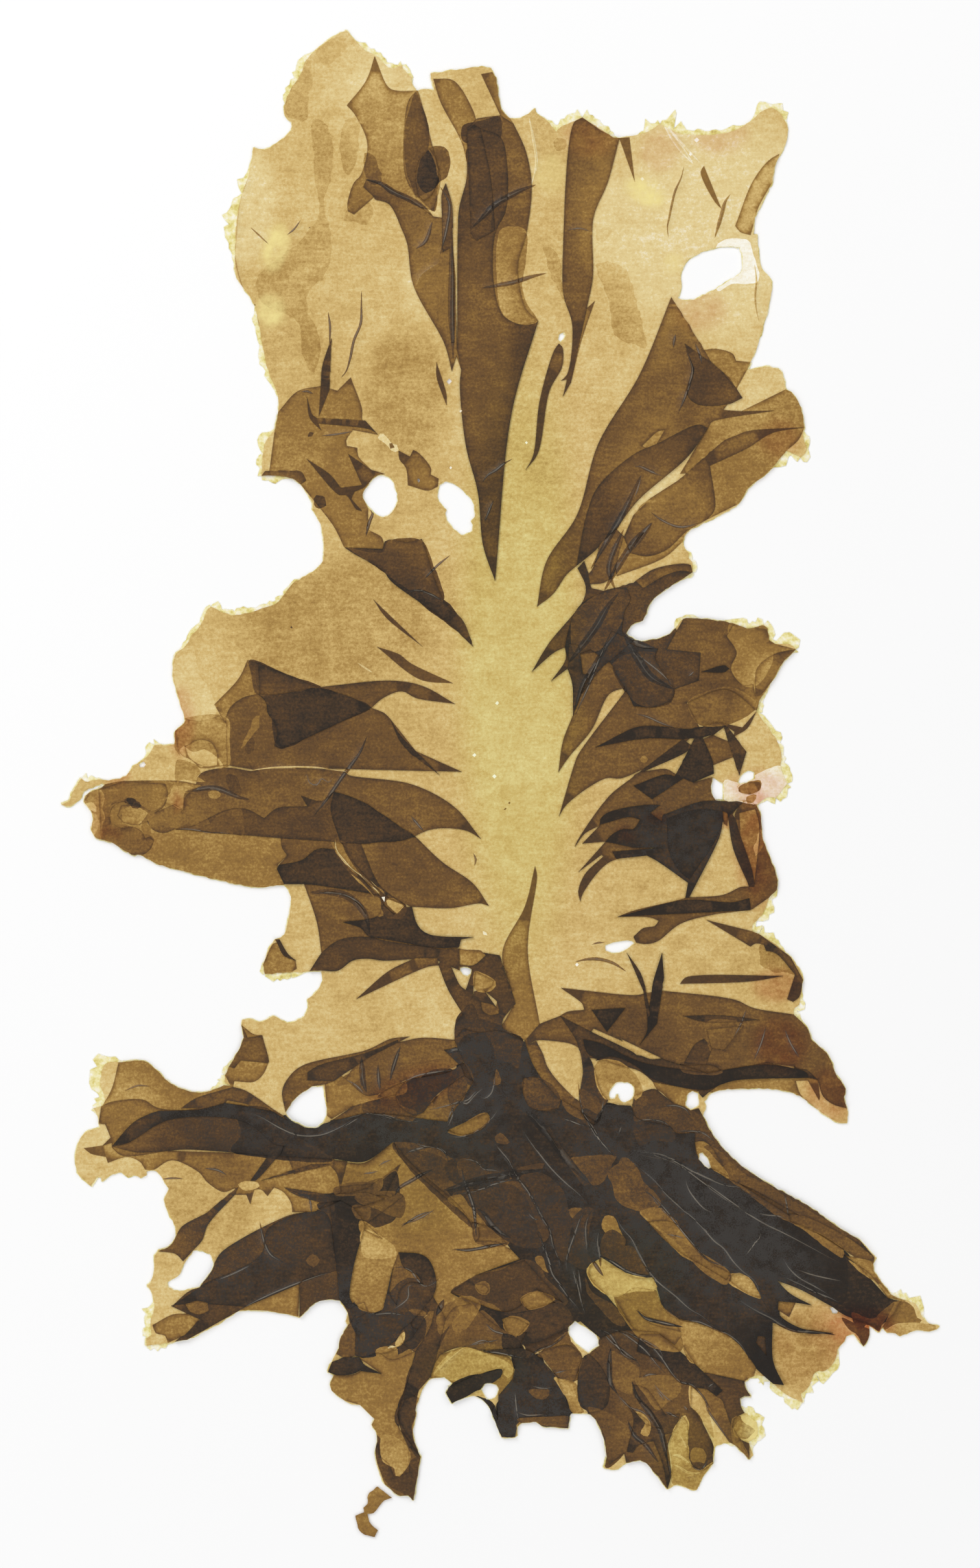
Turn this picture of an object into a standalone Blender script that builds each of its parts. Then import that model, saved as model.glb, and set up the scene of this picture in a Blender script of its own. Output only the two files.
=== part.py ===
"""Laver, a seaweed whose blade is one thin sheet, pressed flat with its pleats folded over.

Metres, +Z up. The sheet lies on Z 0 and its foot points to -Y. Its outline, its holes and its pleats
are given in millimetres as it lies, and each more layer of the sheet lies one step higher.
"""

import math

import bpy
from mathutils import Vector
from mathutils.geometry import delaunay_2d_cdt

MM = 0.001
SHEET = 0.30  # one layer of the sheet, mm, many times the real tissue so that it stays solid
LAYER = 0.12  # what each layer above the first adds, mm
JOIN = 0.18  # points and edges of the outlines closer than this are one, mm
RIM_WITHIN = 0.18  # how far the sheet's rim may run from its points, mm
FOLD_WITHIN = 0.32  # how far a pleat's edge may run from its points, mm
MIDDLE = -0.2  # where the middle of the whole box lies in the outlines' Y, mm
SCRAP_SHEET = 0.36  # the scrap's thickness, mm

BLADE_COLOR = (0.30, 0.15, 0.06, 1.0)
SCRAP_COLOR = (0.07, 0.04, 0.02, 1.0)
ROUGHNESS = 0.42

# Margin of the sheet, clockwise from the top left tip: along the top, down the right side,
# round the torn foot and back up the left side.
MARGIN = [
    (-23.2, 113.1), (-22.2, 111.9), (-21.1, 110.8), (-20.2, 110), (-18.9, 109.4), (-18.3, 108.9),
    (-17.4, 108), (-16.3, 107.4), (-14.8, 107.9), (-14.5, 107.1), (-13.4, 106), (-13.4, 105.3),
    (-12.6, 104), (-11.4, 104.3), (-9.9, 104), (-10.1, 105.1), (-10.5, 106.6), (-9.3, 106.9),
    (-6.8, 107.2), (-4.4, 107.4), (-2.6, 107.6), (-1.5, 107.4), (-0.9, 106.3), (-0.6, 105.1),
    (-0.4, 103.3), (0, 101.8), (0.7, 100.5), (1.4, 99.9), (2.6, 99.8), (3.7, 100.2), (4.5, 101),
    (5.2, 101.4), (5.5, 100.5), (6.6, 99.9), (7.5, 98.7), (8.4, 97.8), (9.1, 98.5), (10.6, 99.1),
    (12.3, 100), (13.4, 99.3), (14.6, 98.4), (15.5, 97.8), (17, 97), (17.9, 96.9), (19.3, 97.2),
    (20.5, 97.4), (22.1, 97.8), (23.1, 98.5), (24, 99), (24.6, 98.7), (27, 97.6), (31.3, 97.6),
    (33.5, 97.6), (35, 98.4), (37.2, 99.1), (38.4, 100.1), (39.6, 101.1), (40.8, 101.4), (42, 100.7),
    (42.8, 99.4), (43.2, 98.2), (42.8, 96.8), (42.7, 95.6), (41.9, 94.5), (41.4, 93.2), (41.1, 91.6),
    (40.9, 90.3), (40.1, 88.9), (39.7, 87.7), (38.7, 86.3), (38.2, 84.9), (38, 82.4), (38.6, 82.4),
    (38.7, 80.9), (38.9, 78.8), (39.4, 77.2), (40.7, 75.3), (40.2, 73.9), (39.9, 72), (39.4, 70.2),
    (39.3, 68.7), (38.7, 67.2), (38.4, 65.6), (38.1, 64.2), (37.6, 63.2), (37.1, 62.1),
    # flap below the upper right shoulder
    (38.4, 62.2), (39.6, 62.5), (40.5, 62.5), (41.4, 62.2), (42.2, 61.8), (42.5, 61.2), (42.6, 60.3),
    (42.9, 59.1), (43.7, 58.7), (44.3, 58), (45, 56.8), (45.3, 55.5), (45.4, 54.3), (45.7, 53.4),
    (45.5, 52.3), (45.7, 51.2), (46, 50.2), (45.8, 49.4), (45.1, 48.9), (44.2, 49.4), (43, 49.9),
    (42.2, 49.2), (41.1, 47.9), (40.2, 46.8), (39.6, 46), (38.7, 45.4), (37.6, 44.6), (36.8, 43.7),
    (36.2, 42.7), (35.8, 41.9), (34.7, 41.1), (33.2, 40.4), (31.3, 39.6), (29.8, 38.8), (28.6, 38.1),
    (27.7, 37.1), (27.4, 36.2), (27.7, 35.2), (28.3, 34.5), (28.3, 33.8), (28.9, 33), (29, 32.2),
    (28.9, 31.6), (28.3, 31), (27.2, 30.5), (26, 29.6), (24.3, 28.6), (23.1, 27.7), (22.3, 26.6),
    (21.8, 25.5), (21.4, 24.4), (20.3, 24), (19.6, 23.6), (19, 22.8), (18.9, 22.4), (19.8, 21.7),
    (21.2, 21.3), (22.5, 21.4), (24, 21.7), (25.5, 22.4), (26.3, 23.2), (26.9, 24.1), (27.5, 24.6),
    (28.6, 24.7), (31.6, 24.4), (33.9, 24.2), (35, 23.7), (36.2, 23.4), (37.5, 23.1), (38.4, 23.4),
    (39.6, 23.7), (40.1, 23.2), (40.2, 22.1), (40.4, 21.4), (41.4, 20.8), (42.7, 20.7), (43.7, 20.7),
    (44.4, 20), (43.9, 19.2), (42.8, 18.2), (42, 17.4), (41.4, 16.3), (40.5, 14.8), (39.6, 13.3),
    (38.9, 12.2), (38.5, 10.8), (39.3, 9.6), (40.2, 8.4), (41.1, 7), (41.7, 5.9), (42, 4.9),
    (42.3, 3.6), (42.1, 2.7), (42.6, 1.3), (43.1, -0.2), (42.3, -1.4), (41.4, -2.3), (40.2, -2.2),
    (39.3, -2.8), (38.5, -3.4), (38.8, -4.2), (39.1, -4.9), (39.1, -6.3), (39.4, -8.2), (39.9, -10),
    (40.5, -11.8), (41.1, -13.4), (41.4, -14.9), (41.7, -15.6), (41.1, -16.4), (40.4, -17.3),
    (40.1, -18.4), (39.6, -19.5), (38.7, -20.7), (37.9, -21.4), (37.8, -21.9), (37.9, -22.4),
    (38.9, -22.8), (40.2, -23.6), (41.4, -24.4), (42.4, -25.3), (43.6, -26.2), (44.3, -27.1),
    (45.1, -28.3), (45.5, -29.7), (45.2, -31.1), (44.9, -32.3), (44.8, -33.4), (44, -34.2),
    (44.1, -34.9), (45.4, -36.2), (46.3, -37.2), (46.7, -38.5), (47.7, -39.6), (48.5, -40.4),
    (49.4, -41.2), (50, -42.4), (50.5, -44), (51.1, -44.9), (51.9, -46.1), (51.7, -47.3),
    (52, -48.6), (52.2, -50.1), (52.1, -51.2), (50.9, -51.2), (50.2, -50.9), (48.8, -49.9),
    (47.3, -48.9), (46.3, -48.1), (45.1, -47.2), (43, -46.4), (40.8, -46.2), (38.4, -46),
    (35, -46.1), (32.9, -46.3), (31.6, -46.7), (31, -47.3), (30.6, -48), (30.9, -48.7), (30.5, -49.4),
    (30.4, -50.1), (30.9, -51.3), (31.9, -53), (33.2, -54.7), (34.7, -56.2), (36.2, -57.6),
    (37.8, -58.8), (39.6, -59.9), (41.4, -60.8), (43.3, -61.9), (45.1, -63), (46.6, -63.9),
    (48.5, -65.4), (50.6, -66.8), (52.5, -67.8), (54, -68.8), (54.9, -69.8), (55.7, -70.8),
    (56.5, -71.5), (56, -72.4), (56.1, -73.4), (56.8, -74.6), (57.8, -75.9), (58.7, -77),
    (59.7, -77.5), (60.7, -77.6), (62.3, -78.4), (63, -79.2), (63.4, -80.4), (64.1, -81.2),
    (65.3, -81.5), (66, -81.8), (65, -82.5), (62.6, -82.4), (61.3, -82.8), (60.1, -83.3),
    (59.4, -82.8), (58.1, -82.7), (57.5, -81.9), (56.9, -82.7), (56.1, -82.3), (55.4, -81.7),
    (55.5, -83.1), (55.1, -84.1), (54.6, -84.8), (53.8, -83.5), (53.1, -82.9), (52, -83.3),
    (51.7, -84.1), (50.9, -84.8), (50.5, -85.8), (50.2, -87.1), (48.9, -88.4), (47.4, -88.7),
    (46.9, -89.6), (46.2, -91.1), (45.2, -91.9), (45.4, -93.3), (43.6, -92.3), (42.5, -91.7),
    (41.4, -90.6), (40.4, -89.9), (39.7, -89.3), (38.7, -89.1), (37.5, -89.5), (36.7, -90.2),
    (36.7, -90.7), (37.3, -91.6), (37.7, -92.3), (36.7, -92.2), (36, -92.6), (36.1, -93.7),
    (36.7, -94.8), (37.6, -95.6), (38.5, -96.2), (38.7, -97.2), (38.4, -98.5), (37.4, -99.1),
    (37.8, -100.3), (38, -101.2), (37.4, -101.8), (36.2, -100.5), (35.3, -99.7), (34.1, -99.3),
    (33, -99.5), (32.1, -100), (31.9, -100.6), (32, -102.4), (31.3, -103.1), (30.7, -104),
    (30.4, -104.9), (30, -105.8), (29.5, -106.4), (28.6, -106.4), (27.7, -106), (26.6, -105.6),
    (26, -105.8), (25.1, -106.3), (24.3, -105.2), (23.4, -104), (22.3, -102.9), (21.4, -102),
    (20.1, -102), (18.9, -102.3), (18, -102.7), (17.2, -103.4), (16.4, -103.1), (15.6, -103.1),
    (16, -101.5), (15.9, -100), (15.5, -98.5), (15.1, -97.5), (14.7, -96.5), (14, -95.4), (13.1, -94.9),
    (10.6, -95), (10.3, -96), (10.2, -97.1), (9.4, -96.9), (6.3, -96.8), (5.4, -96.2), (3.3, -96.3),
    (2.5, -96.9), (2.5, -98.2), (2.2, -98.5), (0.2, -98.5), (0, -97.7), (-0.9, -96.2), (-1.3, -94.8),
    (-1.8, -93.7), (-2.9, -93.1), (-3.9, -92.2), (-5, -92.3), (-6.2, -92.9), (-7.3, -93.4),
    (-7.6, -92.6), (-8.2, -91.7), (-7.8, -91), (-7.2, -90.4), (-7.8, -89.9), (-8.4, -89.4),
    (-9.3, -89.5), (-10.5, -89.7), (-11.1, -90.2), (-11.8, -91.4), (-12.2, -92.6), (-12.7, -93.9),
    (-12.7, -95.4), (-13.1, -96.6), (-13.1, -98.5), (-12.7, -99.8), (-12, -101.4), (-12.3, -102.4),
    (-12.5, -103.7), (-12.7, -105.2), (-12.9, -106.7), (-13.1, -108), (-13.9, -107.2), (-15.1, -107.3),
    (-15.9, -106.6), (-16.6, -106), (-17.4, -105.5), (-17.6, -104.7), (-18.2, -103.7), (-18.6, -102.1),
    (-18.8, -100.3), (-18.5, -99.1), (-18.6, -97.8), (-19.3, -96.6), (-18.9, -95.7), (-20, -94.6),
    (-21.1, -93.6), (-22.3, -93.5), (-23.5, -92.9), (-24.6, -92), (-25.4, -91.4), (-25.6, -90.6),
    (-25.2, -89.7), (-25, -89.1), (-26, -88.6), (-25.5, -87.9), (-25.3, -87.1), (-24.7, -85.9),
    (-24.3, -85), (-24.1, -83.8), (-23.5, -82.7), (-22.9, -81.6), (-23.2, -81), (-22.9, -79.8),
    (-23.5, -78.6), (-24.1, -77.9), (-25.8, -77.7), (-27.2, -78), (-28.3, -78.6), (-29, -79.3),
    (-29.8, -79.9), (-30.2, -80.5), (-31.5, -80), (-32.7, -79.8), (-35, -79.5), (-37.9, -79.3),
    (-39.4, -79.5), (-40, -79.7), (-41.3, -80.5), (-42.6, -81.5), (-44.3, -82.4), (-45.9, -83.2),
    (-47.1, -83.8), (-48.9, -84.1), (-50, -84.4), (-53.2, -84.7), (-53.2, -83.6), (-52.4, -83.1),
    (-52.6, -81.3), (-52.4, -80.1), (-52, -78.7), (-52.4, -77.3), (-52.7, -76.1), (-53.1, -75.7),
    (-52.6, -75.3), (-52.3, -73.7), (-52, -72.4), (-52.1, -71.7), (-51.8, -70.9), (-51.4, -70.4),
    (-50.1, -70), (-49.2, -69.2), (-48.7, -68.1), (-48.9, -66.8), (-49.5, -65.4), (-50.1, -63.9),
    (-50.5, -62.8), (-50.1, -62.2), (-49.8, -61.1), (-50.1, -60.5), (-50.6, -59.9), (-51.1, -59.3),
    (-51.7, -58.5), (-52.6, -58.3), (-53.2, -58.5), (-53.2, -59.1), (-54.1, -59.4), (-55, -59),
    (-56, -59.3), (-56.9, -58.7), (-57.8, -59.1), (-59, -59.3), (-59.9, -60), (-60, -59.4),
    (-60.7, -59.3), (-61.2, -59.9), (-61.6, -60.7), (-62.7, -59.7), (-63.5, -58.7), (-63.9, -57.4),
    (-63.8, -55.9), (-63.5, -54.5), (-62.8, -53.5), (-62.4, -52.7), (-61.3, -52.3), (-60.1, -51.9),
    (-60.4, -51.3), (-60.5, -50.2), (-61, -49.6), (-61.2, -49), (-60.4, -48.8), (-59.8, -48.6),
    (-59.5, -47.6), (-59.9, -46.4), (-60.2, -45.2), (-59.9, -44), (-59.6, -42.7), (-59, -42.1),
    (-53.4, -42), (-52.6, -42.6), (-51.4, -43.8), (-50, -44.9), (-48.6, -45.7), (-47.1, -46.4),
    (-45.6, -46.6), (-44.3, -46.6), (-42.8, -46), (-41.6, -45.6), (-40.5, -45.7), (-41.5, -45),
    (-41.4, -44), (-40.8, -42.7), (-40, -41.4), (-39.3, -40.3), (-38.8, -39.1), (-38.6, -37.8),
    (-38.9, -36.6), (-38.8, -35.7), (-37.3, -35.6), (-36.7, -36), (-35.8, -36), (-34.8, -35.5),
    (-34.1, -35.1), (-33.6, -35.5), (-32.7, -35.9), (-31.5, -36.2), (-30.4, -35.8), (-29.5, -35.1),
    (-28.9, -33.9), (-29, -32.6), (-27.9, -31.7), (-27.2, -30.8), (-26.8, -29.9), (-26.7, -28.7),
    (-26.9, -28.3), (-28.7, -28.4), (-32.7, -28.7), (-34.5, -28.8), (-35.4, -28.8), (-35.7, -27.4),
    (-35.3, -26.2), (-34.8, -25), (-34.1, -24.2), (-33.9, -23.6), (-33, -23.4), (-32.5, -22.8),
    (-32.1, -21.6), (-31.8, -20.1), (-31.5, -18.6), (-31.5, -17.2), (-31.9, -16.1), (-32.5, -15.4),
    (-33.6, -15.3), (-35, -15.4), (-35.8, -15.6), (-37, -15.7), (-38.5, -15.4), (-40, -15),
    (-41.6, -14.6), (-42.8, -14.5), (-44.3, -14.2), (-45.6, -13.7), (-47.1, -13.5), (-48.6, -13),
    (-50.1, -12.6), (-51.7, -12.2), (-52.9, -11.5), (-54.1, -10.9), (-55.5, -10.8), (-56.6, -10.2),
    (-57.5, -9.5), (-58.4, -9), (-59.6, -8.8), (-60.6, -8.5), (-61, -8), (-61.5, -7.2), (-61.2, -6.2),
    (-61.2, -5.1), (-61.6, -4.3), (-62.3, -3.7), (-62.6, -2.9), (-62.4, -2), (-61.8, -1.5),
    (-60.4, -1), (-59.5, -0.4), (-59.8, -0.1), (-60.6, -0.4), (-61.7, -0.8), (-62.6, -1.4),
    (-62.9, -2.2), (-63.3, -2.7), (-64.2, -3), (-65.2, -3.6), (-66, -3.3), (-64.8, -2.8),
    (-64.4, -1.6), (-63.8, -0.9), (-63.5, -0.2), (-63, 0.6), (-62.4, 0.1), (-61.5, 0.3), (-60.3, 0.5),
    (-59.3, 0.3), (-58.7, 0.6), (-57.5, 0.6), (-56.3, 1), (-55.7, 1.5), (-55.2, 2.4), (-54.3, 3.2),
    (-53.1, 3.9), (-52.3, 4.9), (-52, 5.6), (-51.1, 5.5), (-50.1, 5.6), (-49, 5.7), (-48.9, 7.8),
    (-47.9, 8.5), (-47.4, 9.3), (-47.8, 10.8), (-48.1, 12), (-48.5, 13.3), (-48.9, 14.5), (-49.2, 16),
    (-49.2, 17.3), (-49.1, 18.5), (-48.7, 19.4), (-47.9, 19.9), (-47.2, 20.6), (-46.6, 21.8),
    (-45.9, 22.6), (-45.2, 23.4), (-44.5, 24.6), (-44.3, 25.3), (-44, 26.1), (-43.5, 26.4),
    (-42.8, 26.2), (-42, 25.8), (-41.1, 25.3), (-40, 25.1), (-38.5, 25.5), (-36.7, 26), (-35, 26.4),
    (-33.6, 27), (-33, 27.8), (-32.1, 28.9), (-31.2, 29.9), (-29.9, 30.6), (-29, 31.2), (-27.9, 31.9),
    (-27.3, 32.4), (-26.7, 33.3), (-26.6, 34.4), (-26.7, 35.6), (-26.9, 37.1), (-27, 38.8),
    (-27.6, 40), (-28.2, 41.1), (-28.2, 42), (-29.2, 43.3), (-29.6, 44.2), (-30, 44.8), (-30.5, 45.3),
    (-31.3, 45.7), (-32.4, 45.9), (-33.8, 46.1), (-35.9, 46.1), (-36, 46.5), (-35.8, 48.2),
    (-35.6, 50), (-35.1, 51.5), (-34.4, 52.2), (-33.9, 53.1), (-33.8, 54.3), (-33.4, 55.5),
    (-33.3, 56.4), (-33.4, 58), (-33.8, 59), (-34.3, 60.1), (-34.7, 61.5), (-35.1, 62.6),
    (-35.4, 64), (-35.4, 65), (-35.7, 66.1), (-36.3, 68.7), (-36.7, 70), (-36.8, 71.1), (-37.6, 73),
    (-38.7, 74.2), (-39.4, 75.4), (-39.9, 77.2), (-39.9, 79.4), (-39.6, 81.8), (-39.6, 84.9),
    (-39.3, 86.4), (-38.8, 88.6), (-38, 90.7), (-37.7, 92.6), (-37.1, 95.5), (-36.1, 95.2),
    (-35, 95.3), (-33.6, 96.2), (-32.4, 97.3), (-31.5, 98.1), (-31.4, 99.3), (-31.9, 99.9),
    (-32.4, 100.2), (-32.4, 101.1), (-32.2, 102.7), (-31.6, 103.6), (-31, 104.8), (-30.4, 105.9),
    (-29.8, 107), (-29.5, 108.2), (-28.9, 108.9), (-28.1, 109.7), (-27.2, 110.6), (-26.1, 111.4),
    (-25, 112.2), (-23.8, 112.8),
]

# Torn holes, each a closed loop.
HOLES = {
    "shoulder": [(26.6, 72.8), (27.2, 74.5), (27.1, 76.3), (27.7, 77.9), (28.9, 79.1), (30.4, 79.5),
                 (32.2, 80.2), (33.5, 80.6), (36, 80.5), (36.4, 79), (36.3, 77), (35, 76), (33.8, 75.1),
                 (32.2, 74.2), (30.4, 73.1), (29.2, 72.6), (27.7, 72.5)],
    "slit": [(8.6, 66.6), (8.9, 67.4), (9.6, 67.8), (9.9, 67.2), (9.5, 66.5), (9, 66.1)],
    "upper_left": [(-17.9, 46.3), (-16.8, 46), (-16.2, 45.4), (-16, 44.5), (-15.6, 44), (-15.4, 43),
                   (-15.6, 41.7), (-16.2, 40.7), (-17, 40), (-18.2, 40), (-18.9, 40.3), (-19.4, 41),
                   (-19.9, 41.3), (-20.5, 42.3), (-20.7, 43.3), (-20.3, 44.2), (-19.9, 44.8),
                   (-19.2, 45.7), (-18.5, 46.1)],
    "upper_middle": [(-8.8, 45), (-8.2, 45.2), (-7.1, 45), (-6.2, 44.3), (-5.3, 43.3), (-4.4, 42.7),
                     (-3.9, 41.7), (-3.8, 40.8), (-3.9, 39.9), (-4.4, 39.3), (-4.1, 38.7), (-4.2, 37.9),
                     (-5, 37.3), (-5.9, 37.2), (-6.5, 37.9), (-7.3, 38.7), (-8.1, 39.4), (-8.3, 40.5),
                     (-8.1, 41), (-8.7, 41.6), (-9.3, 42.3), (-9.4, 43.6), (-9.4, 44.3)],
    "right_gap": [(31.9, 0.8), (32.9, 0.3), (33.6, -0.2), (33.5, -1.3), (33.6, -2.8), (32.4, -2.7),
                  (31.9, -2), (31.6, -1.1), (31.7, -0.2)],
    "right_notch": [(35.6, 0), (35.9, 0.6), (36.5, 1.5), (37.1, 1.9), (38.2, 1.6), (38.3, 0.6),
                    (37, -0.1), (36, -0.3)],
    "lower_left": [(-28.4, -45.7), (-26.6, -45.6), (-26.3, -46.7), (-26.1, -48.6), (-26.1, -50.1),
                   (-26.6, -51.3), (-27.9, -52), (-29.3, -51.8), (-30.9, -51.2), (-31.9, -50.4),
                   (-32.3, -49.6), (-31.9, -48.9), (-30.9, -47.6), (-29.6, -46.6)],
    "left_foot": [(-45.2, -70.3), (-46.2, -70.4), (-46.9, -71.4), (-47.7, -72.6), (-48.3, -74),
                  (-49.5, -74.6), (-50.1, -75.2), (-50, -75.9), (-48.6, -76.5), (-46.8, -76.3),
                  (-45.2, -75.9), (-44.2, -74.7), (-43.3, -73.3), (-43, -72.3), (-43.6, -71),
                  (-44.3, -70.5)],
    "right_slot": [(15.7, -24.4), (17, -24), (18.6, -23.7), (19.8, -23.8), (20.3, -24.2), (19.8, -24.7),
                   (18.9, -25), (18, -25.6), (16.7, -25.7), (15.8, -25.3)],
    "right_pair": [(18.1, -45), (17, -45.5), (16.3, -46.6), (16.4, -47.6), (17.2, -47.6), (17.6, -46.9),
                   (18, -47.9), (18.9, -48.2), (19.8, -47.6), (20.2, -46.7), (20.1, -45.8),
                   (19.2, -45.1)],
    "midrib_gap": [(-6.1, -27.8), (-5, -27.7), (-4.3, -28.1), (-4.4, -28.8), (-4.9, -29.2),
                   (-5.6, -28.9), (-6.1, -28.3)],
    "link_hole": [(28.9, -46.4), (28.3, -46.7), (27.9, -47.6), (27.8, -48.6), (28.6, -49.3),
                  (29.5, -49), (29.9, -48.6), (29.9, -47.6), (29.8, -46.7)],
    "foot_middle": [(11.2, -80.9), (10.2, -81.9), (10.2, -82.8), (10.9, -84.1), (12, -85.1),
                    (13.2, -85.9), (14.3, -85.3), (14.9, -84.7), (14.7, -83.6), (14.1, -82.8),
                    (13.2, -82.2), (12.1, -81.3)],
    "foot_ring": [(-1.5, -90.3), (-2.4, -90.5), (-3, -91.3), (-2.6, -92.2), (-2.1, -92.8),
                  (-1.2, -92.8), (-0.4, -92), (-0.2, -91.3), (-0.6, -90.5)],
    "foot_right": [(49.4, -79), (50, -78.9), (50.8, -79.5), (50.6, -79.9), (49.9, -79.9)],
    "right_strip": [(29.8, -55.8), (30.4, -55.6), (31.2, -56.5), (31.7, -57.9), (31.3, -58.1),
                    (30.6, -57.6), (29.8, -56.7)],
}

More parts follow.
